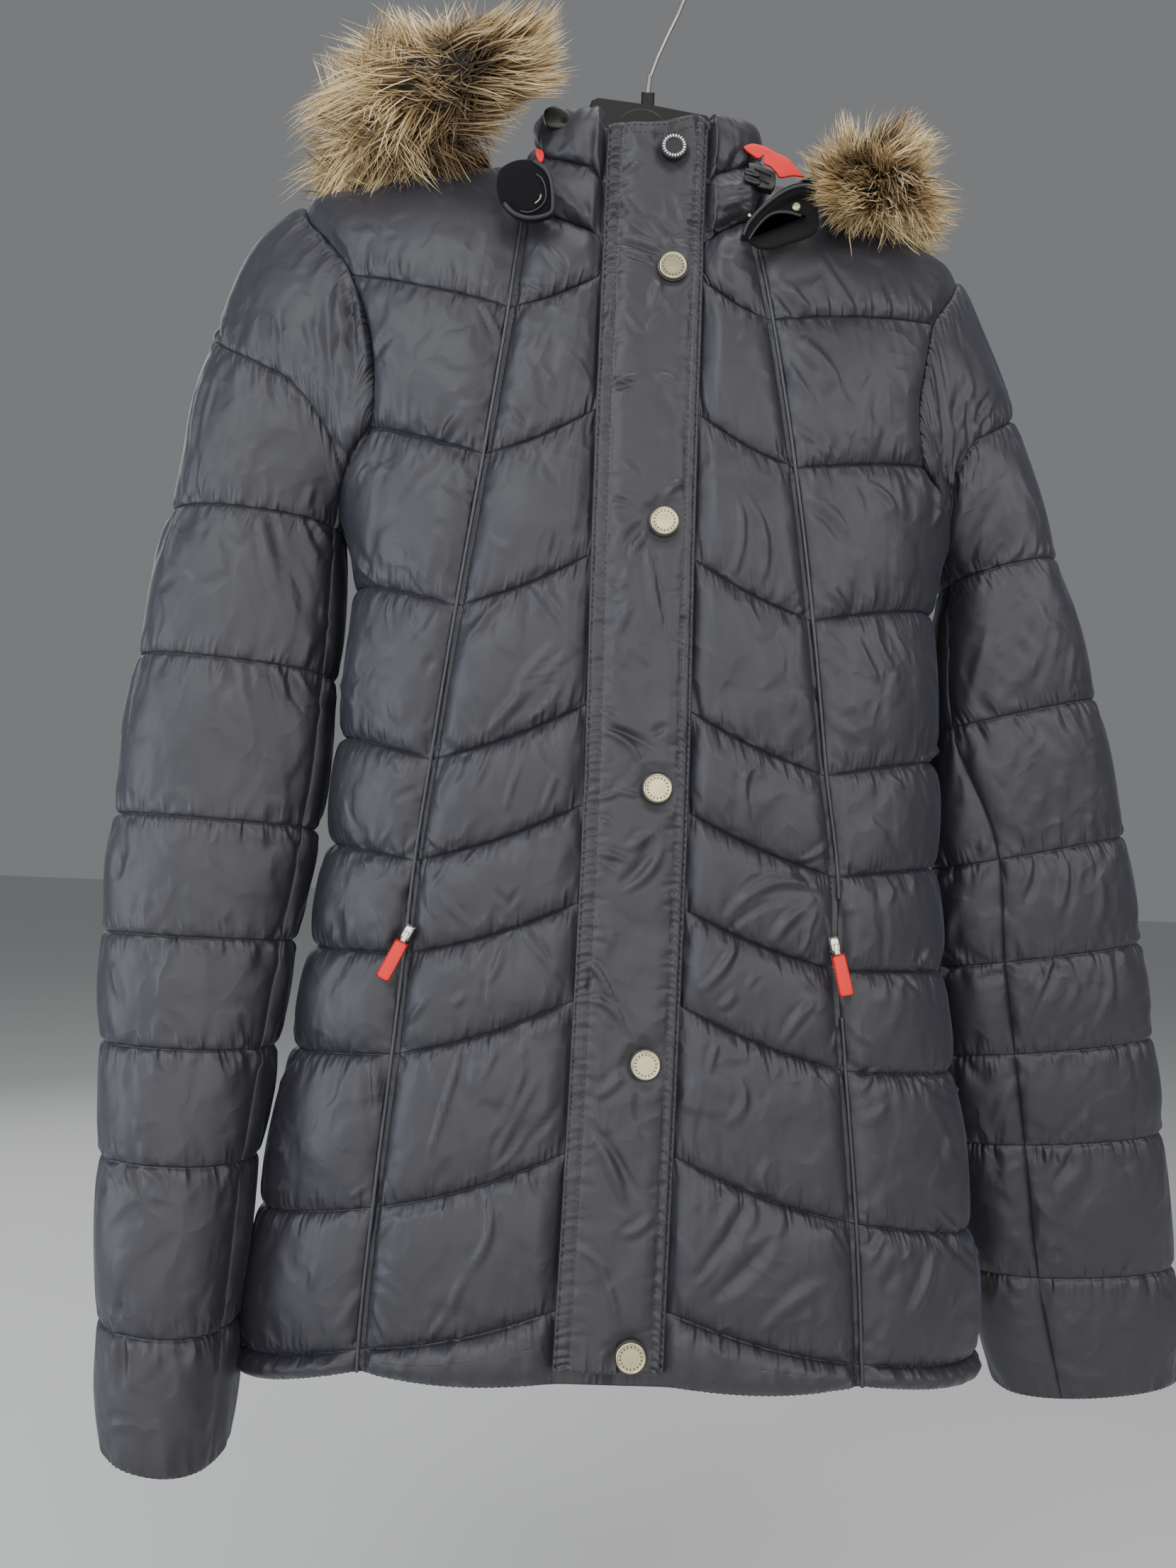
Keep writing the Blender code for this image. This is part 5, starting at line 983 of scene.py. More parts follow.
def stitches(cloth, path):
    """Small thread dashes along a path of grid places: their corner points."""
    face = outer(cloth)
    points = np.array([face[place] for place in path])
    normals = np.array([cloth.normals[place] for place in path])
    return dashes(points, normals, *STITCH)


def dashes(points, normals, pitch, long, thick):
    """Diamond-shaped dashes, evenly spaced on a line of points."""
    step = np.linalg.norm(np.diff(points, axis=0), axis=1)
    along = np.concatenate([[0], np.cumsum(step)])
    places = np.arange(pitch * 0.5, along[-1], pitch)
    if len(places) == 0:
        return np.zeros((0, 6, 3))
    at = [np.stack([np.interp(places + d, along, points[:, k]) for k in range(3)], axis=-1)
          for d in (-long / 2, 0, long / 2)]
    up = unit(np.stack([np.interp(places, along, normals[:, k]) for k in range(3)], axis=-1))
    ahead = unit(at[2] - at[0] + 1e-12)
    side = np.cross(ahead, up)
    middle = at[1] + up * THREAD_RISE
    return np.stack([at[0], at[2], middle + side * thick, middle - side * thick,
                     middle + up * thick, middle - up * thick], axis=1)


def thread(name, sets):
    """One mesh of all the dashes given."""
    corners = np.concatenate(sets)
    base = np.arange(len(corners))[:, None] * 6
    sides = ((0, 2, 4), (0, 4, 3), (0, 3, 5), (0, 5, 2), (1, 4, 2), (1, 3, 4), (1, 5, 3), (1, 2, 5))
    faces = np.concatenate([base + side for side in sides])
    return mesh_object(name, corners.reshape(-1, 3), faces, "thread")


def mesh_object(name, points, faces, look, smooth=True):
    """A mesh from points and faces, in the scene."""
    mesh = bpy.data.meshes.new(name)
    mesh.from_pydata(np.asarray(points, float).tolist(), [], [[int(i) for i in face] for face in faces])
    if smooth:
        mesh.shade_smooth()
    mesh.materials.append(LOOKS[look])
    return placed(name, mesh)


def placed(name, data):
    """A new object in the scene for a mesh, camera or lamp."""
    made = bpy.data.objects.new(name, data)
    bpy.context.scene.collection.objects.link(made)
    return made


# ---- the body's panels ----------------------------------------------------
CHANNELS = [ROWS_PER_CHANNEL] * 8 + [12]
CENTRE_COLUMNS = 71       # columns of a centre front before it runs under the flap
RING_COUNT = 36 * UNDERARM_ROW    # points on an armhole
# How far across each column of a centre front lies; past 1 it runs under the flap.
CENTRE_ACROSS = np.concatenate([
    np.linspace(0, 0.09, 14)[:-1], np.linspace(0.09, 1, 58), [1.10, 1.22, 1.40],
])
CENTRE_SAG = 0.0035       # how low its rows hang at their middle
SIDE_COLUMNS = 80
BACK_COLUMNS = 141
BACK_ROWS = 26            # rows between two quilt lines of the back
BACK_HEM_ROWS = 8


def armhole_curve(side, face, rows):
    """Distance out, kept on the body's section, and drop of a side's border."""
    places, drops = side_rows(side, face)
    fine_drops = even(drops, rows)
    body = smooth(column(BODY, 0), column(BODY, 3 if side < 0 else 4), fine_drops)
    cut = spline(places[:UNDERARM_ROW + 1], np.minimum(rows, UNDERARM_ROW))
    return np.where(rows <= UNDERARM_ROW, np.minimum(cut, body), body), fine_drops


def armhole_loop(side, count):
    """The armhole as a closed ring, with its normals."""
    halves = []
    for face in (-1, 1):
        places, drops = side_rows(side, face)
        kept = slice(0, UNDERARM_ROW + 1)
        halves.append(on_body(side * places[kept], drops[kept], face))
    coarse = np.concatenate([halves[0], halves[1][-2:0:-1]])
    wrapped = np.concatenate([coarse[-3:], coarse, coarse[:4]])
    at = np.arange(count) * len(coarse) / count
    ring = spline(wrapped, at + 3)
    along = np.roll(ring, -1, axis=0) - np.roll(ring, 1, axis=0)
    normals = unit(np.cross(along, (side, 0.0, 0.0)))
    outward = ring - ring.mean(axis=0)
    normals *= np.sign(np.sum(normals * outward, axis=1, keepdims=True))
    return ring, normals


def ring_at(face, rows):
    """Where rows of the front (-1) or back (1) meet the armhole's ring."""
    at = np.minimum(rows, UNDERARM_ROW) / (2 * UNDERARM_ROW) * RING_COUNT
    return RING_COUNT - at if face > 0 else at


def border_curve(side, face, rows):
    """Where a side's border really runs: the armhole's ring, then the side seam."""
    ring = armhole_loop(side, RING_COUNT)[0]
    ring = np.concatenate([ring, ring[:1]])
    at = ring_at(face, rows)
    low = np.clip(np.floor(at).astype(int), 0, RING_COUNT - 1)
    t = (at - low)[:, None]
    upper = ring[low] * (1 - t) + ring[low + 1] * t
    body, drops = armhole_curve(side, face, rows)
    settle = ease(rows - UNDERARM_ROW)
    seam = np.stack([side * (body + UNDERARM_OUT * (1 - settle)), 0 * body, -drops], axis=-1)
    return np.where((rows <= UNDERARM_ROW)[:, None], upper, seam)


def drawn_to(points, border, weight):
    """A grid drawn over to its real border at its last column."""
    move = (border - points[:, -1])[:, None]
    return points + move * weight[None, :, None]


def side_normals(side, face, rows):
    """Outward directions along a side's border at fractional rows."""
    normals = armhole_loop(side, RING_COUNT)[1]
    index = np.round(ring_at(face, rows)).astype(int) % RING_COUNT
    level = np.tile((float(side), 0.0, 0.0), (len(rows), 1))
    mix = ease((rows - UNDERARM_ROW + 1.5) / 1.5)[:, None]
    return unit(normals[index] * (1 - mix) + level * mix)


def lean_on(normals, border, weight):
    """Normals drawn towards a border's own directions."""
    return unit(normals * (1 - weight[..., None]) + border * weight[..., None])


def centre_cloth(side):
    """A centre front, with chevron lines, up to the middle."""
    steps = [CHANNEL_STEPS] + LINE_STEPS
    rows, stretch, share = channel_rows(steps, CHANNELS[:1] + CHANNELS)
    outer_drops = even(subdivide([NECK_SEAM] + list(column(LINES, 1)), steps), rows)
    inner_drops = even(subdivide([NECK_FLAP] + list(column(LINES, 0)), steps), rows)
    wide = CENTRE_ACROSS
    shown = np.minimum(wide, 1)
    seam = seam_place(side, outer_drops)
    x = seam[:, None] + (FLAP - seam)[:, None] * shown
    x = np.where(wide > 1, FLAP * (1.4 - wide) / 0.4, x)
    drop = outer_drops[:, None] + (inner_drops - outer_drops)[:, None] * shown
    sag = CENTRE_SAG * np.sin(math.pi * shown)
    drop = drop + sag * ease(rows / 3)[:, None]
    x = side * x
    points = on_body(x, drop, -1)
    normals = body_normals(x, drop, -1)
    middle = np.where(wide > 1.3, 1.0, 0.0) * np.ones((len(rows), 1))
    level = unit(normals * (0, 1, 1))
    normals = lean_on(normals, level, middle)
    top = np.clip(1 - rows, 0, 1)[:, None] * np.ones(len(wide))
    normals = lean_on(normals, mitre(points, normals), top)
    return Cloth(points, normals, stretch, share)


def side_cloth(side):
    """A side front, from the front seam to the armhole and side seam."""
    rows, stretch, share = channel_rows(SIDE_STEPS, CHANNELS[:1] + CHANNELS)
    inner, inner_drops = seam_rows(side)
    inner_drops = even(inner_drops, rows)
    above = (inner_drops - NECK[1]) / (NECK_SEAM - NECK[1])
    place = seam_place(side, np.maximum(inner_drops, NECK_SEAM))
    neck = NECK[0] + (inner[2] - NECK[0]) * np.clip(above, 0, 1)
    inner = np.where(inner_drops < NECK_SEAM, neck, place)
    out, outer_drops = armhole_curve(side, -1, rows)
    u = np.linspace(0, 1, SIDE_COLUMNS)
    rounded = 1 - (1 - u) ** 1.9
    low = ease((rows - 2) / 6)[:, None]
    wide = u * (1 - low) + rounded * low
    x = side * (inner[:, None] + (out - inner)[:, None] * wide)
    drop = inner_drops[:, None] + (outer_drops - inner_drops)[:, None] * wide
    points = on_body(x, drop, -1)
    points = drawn_to(points, border_curve(side, -1, rows), ease((u - 0.72) / 0.28))
    normals = body_normals(x, drop, -1)
    border = side_normals(side, -1, rows)[:, None]
    normals = lean_on(normals, border, ease((u - 0.86) / 0.14) * np.ones((len(rows), 1)))
    top = np.clip(1 - rows, 0, 1)[:, None] * np.ones(len(u))
    normals = lean_on(normals, ridge_normal(side) * np.ones(normals.shape), top)
    near_neck = np.clip(1.5 - rows / 2, 0, 1)[:, None] * np.clip(1 - u / 0.18, 0, 1)
    normals = lean_on(normals, mitre(points, normals), np.clip(near_neck, 0, 1))
    return Cloth(points, normals, stretch, share)


def back_cloth():
    """The back, from side seam to side seam."""
    rows, stretch, share = channel_rows(SIDE_STEPS, [BACK_ROWS] * 9 + [BACK_HEM_ROWS])
    out_left, drop_left = armhole_curve(-1, 1, rows)
    out_right, drop_right = armhole_curve(1, 1, rows)
    middle_drops = even(subdivide([NECK_BACK] + list(column(LINES, 4)), SIDE_STEPS), rows)
    u = np.linspace(-1, 1, BACK_COLUMNS)
    rounded = np.sign(u) * (1 - (1 - np.abs(u)) ** 1.45)
    low = ease((rows - 2) / 6)[:, None]
    flat = u * (1 - low) + rounded * low
    tips = np.where(u < 0, TIP_LEFT[0], TIP_RIGHT[0])
    knots = np.linspace(-1, 1, 9)
    half = NECK[0]
    neck = (-TIP_LEFT[0], (-TIP_LEFT[0] - half) / 2, -half, -half / 2, 0,
            half / 2, half, (half + TIP_RIGHT[0]) / 2, TIP_RIGHT[0])
    top = np.interp(u, knots, neck)
    spread = ease(rows / (SHOULDER_STEPS + CHANNEL_STEPS))[:, None]
    side_out = np.where(u < 0, out_left[:, None], out_right[:, None])
    wide = flat * side_out
    narrow = top / tips * side_out
    x = narrow + (wide - narrow) * spread
    side_drop = np.where(u < 0, drop_left[:, None], drop_right[:, None])
    part = np.abs(x) / side_out
    drop = middle_drops[:, None] + (side_drop - middle_drops[:, None]) * part ** 2
    neck_line = NECK_BACK - 0.002 * np.abs(x[0]) / (NECK[0] / 2)
    first = np.where(np.abs(x[0]) < NECK[0], np.maximum(neck_line, NECK[1]), ridge(x[0]))
    drop = drop + (first - drop[0]) * ease(1 - rows)[:, None]
    points = on_body(x, drop, 1)
    points = drawn_to(points, border_curve(1, 1, rows), ease((u - 0.8) / 0.2))
    points = drawn_to(points[:, ::-1], border_curve(-1, 1, rows), ease((-u[::-1] - 0.8) / 0.2))[:, ::-1]
    normals = body_normals(x, drop, 1)
    for side, edge in ((-1, ease((-u - 0.93) / 0.07)), (1, ease((u - 0.93) / 0.07))):
        border = side_normals(side, 1, rows)[:, None]
        normals = lean_on(normals, border, edge * np.ones((len(rows), 1)))
    top_rows = np.clip(1 - rows, 0, 1)[:, None] * np.ones(len(u))
    for side in (-1, 1):
        half_top = np.where(u * side > 0, 1.0, 0.0) * top_rows
        normals = lean_on(normals, ridge_normal(side) * np.ones(normals.shape), half_top * 0.9)
    return Cloth(points, normals, stretch, share)


# ---- sleeves --------------------------------------------------------------
SLEEVE_COLUMNS = 198
CAP_ROWS = (36, 26)       # rows above and below the line across the sleeve head
SLEEVE_ROWS = 27          # rows between two quilt lines below it
SLEEVE_STEPS = 2          # coarse rows between them


def sleeve_cloth(side):
    """The whole sleeve's middle surface, from armhole to cuff."""
    table = SLEEVE_LEFT if side < 0 else SLEEVE_RIGHT
    count = SLEEVE_COLUMNS
    ring, ring_normals = armhole_loop(side, count)
    first = sleeve_section(table, side, table[0][0], count)
    reach_top = CAP_REACH_LEFT if side < 0 else CAP_REACH_RIGHT
    low = (ring[:, 2].max() - ring[:, 2]) / np.ptp(ring[:, 2])
    spring = (reach_top + (UNDERARM_REACH - reach_top) * low ** 4)[:, None]
    away = np.array([side * 0.85, 0.0, -0.5]) * spring
    down = np.array([side * 0.1, 0.0, -1.0]) * spring
    length = np.linalg.norm(first - ring, axis=1, keepdims=True)
    steps = [CAP_LINE, CAP_STEPS - CAP_LINE] + [SLEEVE_STEPS] * (len(table) - 1)
    rows, stretch, share = channel_rows(steps, [*CAP_ROWS] + [SLEEVE_ROWS] * (len(table) - 1))
    knots = column(table, 0)
    grid = []
    for row in rows:
        if row <= CAP_STEPS:
            t = row / CAP_STEPS
            start = ring * (1 + 2 * t) * (1 - t) ** 2 + away * length * t * (1 - t) ** 2
            end = first * t ** 2 * (3 - 2 * t) - down * length * t ** 2 * (1 - t)
            grid.append(start + end)
        else:
            drop = even(knots, [(row - CAP_STEPS) / SLEEVE_STEPS])[0]
            grid.append(sleeve_section(table, side, drop, count))
    points = np.array(grid)
    points = np.concatenate([points, points[:, :1]], axis=1)
    along = np.gradient(points, axis=0)
    around = np.roll(points[:, :-1], -1, axis=1) - np.roll(points[:, :-1], 1, axis=1)
    normals = unit(np.cross(around, along[:, :-1]))
    middle = points[:, :-1].mean(axis=1, keepdims=True)
    normals *= np.sign(np.sum(normals * (points[:, :-1] - middle), axis=2, keepdims=True))
    hug = (0.5 * np.clip(1 - rows / 1.6, 0, 1) + 0.5 * (rows == 0))[:, None, None]
    normals = unit(normals * (1 - hug) + ring_normals * hug)
    normals = np.concatenate([normals, normals[:, :1]], axis=1)
    return Cloth(points, normals, stretch, share)


def part_of(cloth, columns):
    """Some columns of a cloth, with what has been worked into it."""
    piece = Cloth(cloth.points[:, columns], cloth.normals[:, columns], cloth.stretch, cloth.share)
    piece.height = cloth.height[:, columns].copy()
    return piece


# ---- collar and flap ------------------------------------------------------
COLLAR_ROWS = 26          # rows in each tier of the visible collar
COLLAR_COLUMNS = 260      # its columns between the flap's edges
FLAP_TOP = (0.000, 0.002, 0.003, 0.003, -0.004)   # heights added along its upper edge
FLAP_HEM = 0.6            # share of the last row by which it reaches down


def neck_ring():
    """The neck seam's points and normals, from the middle front round to it again."""
    shares = np.array((1.4, 1, 0.82, 0.6, 0.3, 0))
    ring = {}
    for side in (-1, 1):
        seam = float(seam_place(side, np.array([NECK_SEAM]))[0])
        x = seam + (FLAP - seam) * np.minimum(shares, 1)
        x[0] = 0
        drop = NECK_SEAM + (NECK_FLAP - NECK_SEAM) * np.minimum(shares, 1)
        drop[0] = NECK_FRONT
        front = on_body(side * x, drop, -1)
        front_normals = body_normals(side * x, drop, -1)
        front_normals[0] = unit(front_normals[0] * (0, 1, 1))
        front_normals = mitre(front, front_normals)
        out, drops = seam_rows(side)
        x, drop = side * out[1::-1], drops[1::-1]
        up = on_body(x, drop, -1)
        up_normals = mitre(up, body_normals(x, drop, -1))
        up_normals[-1] = mitre(up[-1], ridge_normal(side))
        ring[side] = (np.concatenate([front, up]), np.concatenate([front_normals, up_normals]))
    x = np.array([-NECK[0] / 2, 0, NECK[0] / 2])
    drop = np.array([NECK_BACK - 0.002, NECK_BACK, NECK_BACK - 0.002])
    rear = on_body(x, drop, 1)
    rear_normals = mitre(rear, body_normals(x, drop, 1))
    points = np.concatenate([ring[-1][0], rear, ring[1][0][::-1]])
    return points, np.concatenate([ring[-1][1], rear_normals, ring[1][1][::-1]])


def collar_grid():
    """The collar's coarse middle surface, normals and outer face."""
    base, base_normals = neck_ring()
    widest = np.abs(base[:, 0]).max()
    away = np.abs(base[:, 0])
    narrowing = (COLLAR_TOP_WIDTH - FLAP) / (widest - FLAP)
    top = base.copy()
    top[:, 0] = np.sign(base[:, 0]) * np.where(away <= FLAP, away, FLAP + (away - FLAP) * narrowing)
    behind = base[:, 1] > -0.055
    top[behind, 0] = base[behind, 0] * COLLAR_TOP_BACK / NECK[0]
    top[:, 1] = base[:, 1] - 0.006
    top[:, 2] = -smooth(column(COLLAR_TOP, 0), column(COLLAR_TOP, 1), top[:, 1])
    top[0, 2] = top[-1, 2] = -COLLAR_TOP_MIDDLE[0]
    top[1, 2] = -COLLAR_TOP_MIDDLE[1]
    top[-2, 2] = -COLLAR_TOP_MIDDLE[2]
    level = top - np.array([0, HOOD_CENTRE, 0])
    level[:, 2] = 0
    rows = 2 * COLLAR_TIER + 1
    upright = unit(level)
    upright[[0, 1, -2, -1]] = (0, -1, 0)
    shares = np.linspace(0, 1, rows)[:, None, None]
    points = base + (top - base) * shares
    normals = unit(base_normals + (upright - base_normals) * np.clip(shares * 3, 0, 1))
    across = np.ones(len(base))
    across[[0, 1, -2, -1]] = 0
    fullness = np.outer(swelling([COLLAR_TIER, COLLAR_TIER]), across)
    face = points + normals * (WALL / 2 + SWELL * fullness)[..., None]
    return points, normals, face


def collar_cloth(points, normals):
    """The collar's dense surface: two tiers from the neck seam to its edge."""
    rows, stretch, share = channel_rows([COLLAR_TIER] * 2, [COLLAR_ROWS] * 2)
    last = points.shape[1] - 1
    shown = np.linspace(0.9, last - 0.9, COLLAR_COLUMNS)
    columns = np.concatenate([[0, 0.5], shown, [last - 0.5, last]])
    fine_points = regrid(points, rows, columns)
    fine_normals = unit(regrid(normals, rows, columns))
    return Cloth(fine_points, fine_normals, stretch, share), columns


def flap_grid(collar_face):
    """The flap's coarse rear face: five columns from the collar's top to the hem."""
    steps = [CHANNEL_STEPS] + LINE_STEPS
    drops = subdivide([NECK_FLAP] + list(column(LINES, 0)), steps)
    middle_drops = drops.copy()
    middle_drops[0] = NECK_FRONT
    faces = []
    for x, drop in ((-FLAP, drops), (0.0, middle_drops), (FLAP, drops)):
        out = np.full(len(drop), x)
        normals = body_normals(out, drop, -1)
        if x == 0:
            normals = unit(normals * (0, 1, 1))
        faces.append(on_body(out, drop, -1) + normals * WALL / 2)
    upper = collar_face[::-1]
    left = np.concatenate([upper[:-1, 1], faces[0]])
    right = np.concatenate([upper[:-1, -2], faces[2]])
    middle = np.concatenate([(upper[:-1, 0] + upper[:-1, -1]) / 2, faces[1]])
    band = FLAP_BAND / FLAP
    grid = [left, left + (middle - left) * band, middle, right + (middle - right) * band, right]
    back = np.stack(grid, axis=1)
    back[0, :, 2] += FLAP_TOP
    back[-1] = back[-2] + (back[-1] - back[-2]) * FLAP_HEM
    shift = flap_shift(-back[:, :, 2])
    back[:, :, 1] -= FLAP_CLEAR + FLAP_RIDE * np.abs(shift)
    back[:, :, 0] += shift
    return back


# ---- hood and fur ---------------------------------------------------------
FUR_ANGLES = np.arange(FUR_SIDES) * 2 * math.pi / FUR_SIDES
# The dark patches: (x, drop, radius, strength).
FUR_DARK = (
    (-0.104, 0.128, 0.020, 0.8), (-0.097, 0.154, 0.021, 0.9),
    (-0.104, 0.187, 0.024, 1.0), (-0.140, 0.178, 0.013, 0.5),
    (0.144, 0.140, 0.013, 0.9), (0.127, 0.168, 0.016, 0.8),
    (0.104, 0.199, 0.016, 0.9), (0.150, 0.190, 0.012, 0.6),
)
FUR_MIDDLE = ((-0.108, 0.175), (0.122, 0.185))   # (x, drop) that the hairs point away from
FUR_HANG = (-0.104, 0.190, 0.042, 0.026)         # where the fur hangs lower: x, drop, extent
FUR_DEPTH = (-0.113, 0.196)       # the tips keep between these depths
FUR_PAST = (17, 13)               # degrees by which tips may pass each end
HAIRS = 54000
HAIRS_PER_TUFT = 40
HAIR_LEVELS = np.array([0.0, 0.38, 0.72, 1.0])   # cross sections along a hair
HAIR_WIDTHS = (0.9, 1.0, 0.62)    # and their widths, before the pointed tip
HAIR_POINTS = 2 * len(HAIR_WIDTHS) + 1


def fur_place(turn, angle, share, margin):
    """Points in the fur: turn about the neck, angle about its axis, share of its radius."""
    out, drop, radius, clear = [np.interp(turn, column(FUR, 0), column(FUR, k)) for k in range(1, 5)]
    radius = radius * share
    away = out + radius * np.sin(angle)
    low = drop - radius * np.cos(angle)
    return clear_of_body(around_neck(np.radians(turn), away, low), clear * margin)


def hood_grid(collar_face, rings_all):
    """The folded hood's coarse middle surface and normals."""
    turns = np.radians(column(FUR, 0))[HOOD_ENDS]
    seam = collar_face[HOOD_SEAM_ROW]
    seam_turn = np.arctan2(seam[:, 0], seam[:, 1] - HOOD_CENTRE)
    seam_out = np.hypot(seam[:, 0], seam[:, 1] - HOOD_CENTRE)
    near = np.interp(turns, seam_turn, seam_out) + HOOD_WALL / 2 + 0.0018
    height = np.interp(turns, seam_turn, -seam[:, 2])
    edge = rings_all[HOOD_ENDS, FUR_SIDES // 2]
    far = np.hypot(edge[:, 0], edge[:, 1] - HOOD_CENTRE)
    edge_drop = -edge[:, 2] + HOOD_WALL / 2 + GAP
    deep = HOOD_DEPTH * np.clip(np.cos(turns / HOOD_SPAN * math.pi / 2), 0, 1) ** 1.5
    back = np.clip(HOOD_BACK / np.clip(np.cos(turns), 0.1, 1), near * 1.2, near * 0.3 + far * 0.7)
    rows = []
    for out, share in HOOD_ROWS:
        distance = np.where(out < 1, near + (back - near) * out, back + (far - back) * (out - 1))
        along = (distance - near) / (far - near)
        sag = HOOD_SAG * np.sin(math.pi * along)
        drop = height + (edge_drop - height) * along + sag + deep * share
        drop = np.maximum(drop, under_fur(rings_all[HOOD_ENDS], distance))
        row = around_neck(turns, distance, drop)
        rows.append(clear_of_body(row, HOOD_CLEAR) if out > 0.5 else row)
    rows.append(around_neck(turns, far, edge_drop))
    points = np.array(rows)
    normals = unit(np.cross(np.gradient(points, axis=1), np.gradient(points, axis=0)))
    if normals[6, len(turns) // 2, 2] > 0:
        normals = -normals
    return points, normals


def hair_lines(rng, turn_from, turn_to, count):
    """Roots, middles and tips of the hairs, and the tone of the tuft of each."""
    tufts = count // HAIRS_PER_TUFT
    tuft_turn = rng.uniform(turn_from, turn_to, tufts)
    tuft_angle = rng.uniform(0, 2 * math.pi, tufts)
    tuft_reach = rng.uniform(0.78, 1.24, tufts) * (1 + 0.05 * rng.standard_normal(tufts))
    comb = rng.normal(0, 13, tufts)
    swirl = rng.normal(0.25, 0.45, tufts)
    tone = rng.uniform(0, 1, tufts)
    of = rng.integers(0, tufts, count)
    low_end, high_end = FUR[0][0], FUR[-1][0]
    root_turn = tuft_turn[of] + rng.normal(0, 2.4, count)
    root_turn = np.clip(root_turn, low_end + 2, high_end - 2)
    root_angle = tuft_angle[of] + rng.normal(0, 0.26, count)
    reach = tuft_reach[of] * rng.uniform(0.72, 1.04, count)
    tip_turn = root_turn + comb[of] + rng.normal(0, 1.3, count)
    pull = rng.uniform(0.35, 0.8, count)
    tip_turn += (tuft_turn[of] + comb[of] - tip_turn) * pull
    tip_angle = root_angle + swirl[of] + rng.normal(0, 0.05, count)
    tip_angle += (tuft_angle[of] + swirl[of] - tip_angle) * pull
    near_end = np.minimum(root_turn - low_end, high_end - root_turn)
    outward = np.where(root_turn - low_end < high_end - root_turn, -1.0, 1.0)
    splay = np.clip(1 - near_end / 14, 0, 1)
    reach = reach * (1 - np.clip(1.25 - near_end / 7, 0, 1) * rng.uniform(0, 0.85, count))
    tip_turn = tip_turn + outward * splay * rng.uniform(0, 30, count)
    tip_turn = np.clip(tip_turn, low_end - FUR_PAST[0], high_end + FUR_PAST[1])
    root = fur_place(root_turn, root_angle, 0.22, 0.35)
    tip = fur_place(tip_turn, tip_angle, reach, 0.25)
    turn = root_turn * 0.55 + tip_turn * 0.45
    angle = root_angle * 0.5 + tip_angle * 0.5
    middle = fur_place(turn, angle, 0.64 * reach + 0.03, 0.3)
    return root, middle, tip, tone[of]


def lay_tips(rng, root, tip):
    """Tips lowered, pushed away from the fur's middles and kept within its depth."""
    tip[:, 2] -= 0.05 * np.linalg.norm(tip - root, axis=1)
    for x, drop in FUR_MIDDLE:
        aside, above = root[:, 0] - x, root[:, 2] + drop
        away = np.hypot(aside, above) + 0.012
        push = 0.016 * np.exp(-(away / 0.060) ** 2) / away
        tip[:, 0] += push * aside
        tip[:, 2] += push * above
    x, drop, wide, tall = FUR_HANG
    hang = np.hypot((tip[:, 0] - x) / wide, (tip[:, 2] + drop) / tall)
    tip[:, 2] -= 0.018 * np.exp(-hang ** 2) * rng.uniform(0.5, 1.2, len(tip))
    tip[:, 1] = np.clip(tip[:, 1], *FUR_DEPTH)


def darkness(tip):
    """How dark the fur is at each tip."""
    dark = np.zeros(len(tip))
    for x, drop, wide, strength in FUR_DARK:
        away = np.hypot(tip[:, 0] - x, tip[:, 2] + drop)
        dark = np.maximum(dark, strength * np.exp(-(away / wide) ** 2))
    return dark


def hair_mesh(rng, name, root, middle, tip):
    """Flat hairs in one mesh: two pairs of corners, a third and a pointed tip."""
    count = len(root)
    curl = rng.normal(0, 0.0016, (count, 3))
    paths = []
    for t in HAIR_LEVELS:
        line = root * (1 - t) ** 2 + 2 * middle * t * (1 - t) + tip * t ** 2
        paths.append(line + curl * math.sin(math.pi * t))
    ahead = unit(paths[-1] - paths[0])
    across = unit(np.cross(ahead, rng.standard_normal((count, 3))))
    half = rng.uniform(0.00026, 0.00058, count)[:, None]
    corners = []
    for path, wide in zip(paths, HAIR_WIDTHS):
        corners += [path - across * half * wide, path + across * half * wide]
    corners.append(paths[-1])
    start = np.arange(count)[:, None] * HAIR_POINTS
    faces = []
    for loop in ((0, 1, 3, 2), (2, 3, 5, 4), (4, 5, 6)):
        faces += (start + loop).tolist()
    return mesh_object(name, np.stack(corners, axis=1).reshape(-1, 3), faces, "fur")


def fur_strands(name, turn_from, turn_to, count, seed):
    """Tapered hairs that stand out of the fur's core, drawn together in tufts."""
    rng = np.random.default_rng(seed)
    root, middle, tip, tuft_tone = hair_lines(rng, turn_from, turn_to, count)
    lay_tips(rng, root, tip)
    dark = darkness(tip)
    made = hair_mesh(rng, name, root, middle, tip)
    lift = (0.80 + 0.5 * rng.random(count)) * (1 - 0.40 * dark)
    level = HAIR_LEVELS[[0, 0, 1, 1, 2, 2, 3]]
    shade = np.clip(level * lift[:, None], 0, 1)
    tone = np.clip((tuft_tone + rng.normal(0.06, 0.16, count)) * (1 - 0.8 * dark), 0, 1)
    tone = np.repeat(tone[:, None], HAIR_POINTS, axis=1)
    store(made.data, "along", shade.ravel())
    store(made.data, "tone", tone.ravel())
    return made


# ---- materials ------------------------------------------------------------
def plain(name, colour, roughness, metallic=0.0, sheen=0.0, coat=0.0):
    """A material with one colour, and its node tree and shader."""
    made = bpy.data.materials.new(name)
    made.use_nodes = True
    tree = made.node_tree
    shader = tree.nodes["Principled BSDF"]
    shader.inputs["Base Color"].default_value = (*colour, 1)
    shader.inputs["Roughness"].default_value = roughness
    shader.inputs["Metallic"].default_value = metallic
    shader.inputs["Sheen Weight"].default_value = sheen
    shader.inputs["Coat Weight"].default_value = coat
    made.diffuse_color = (*colour, 1)
    return made, tree, shader


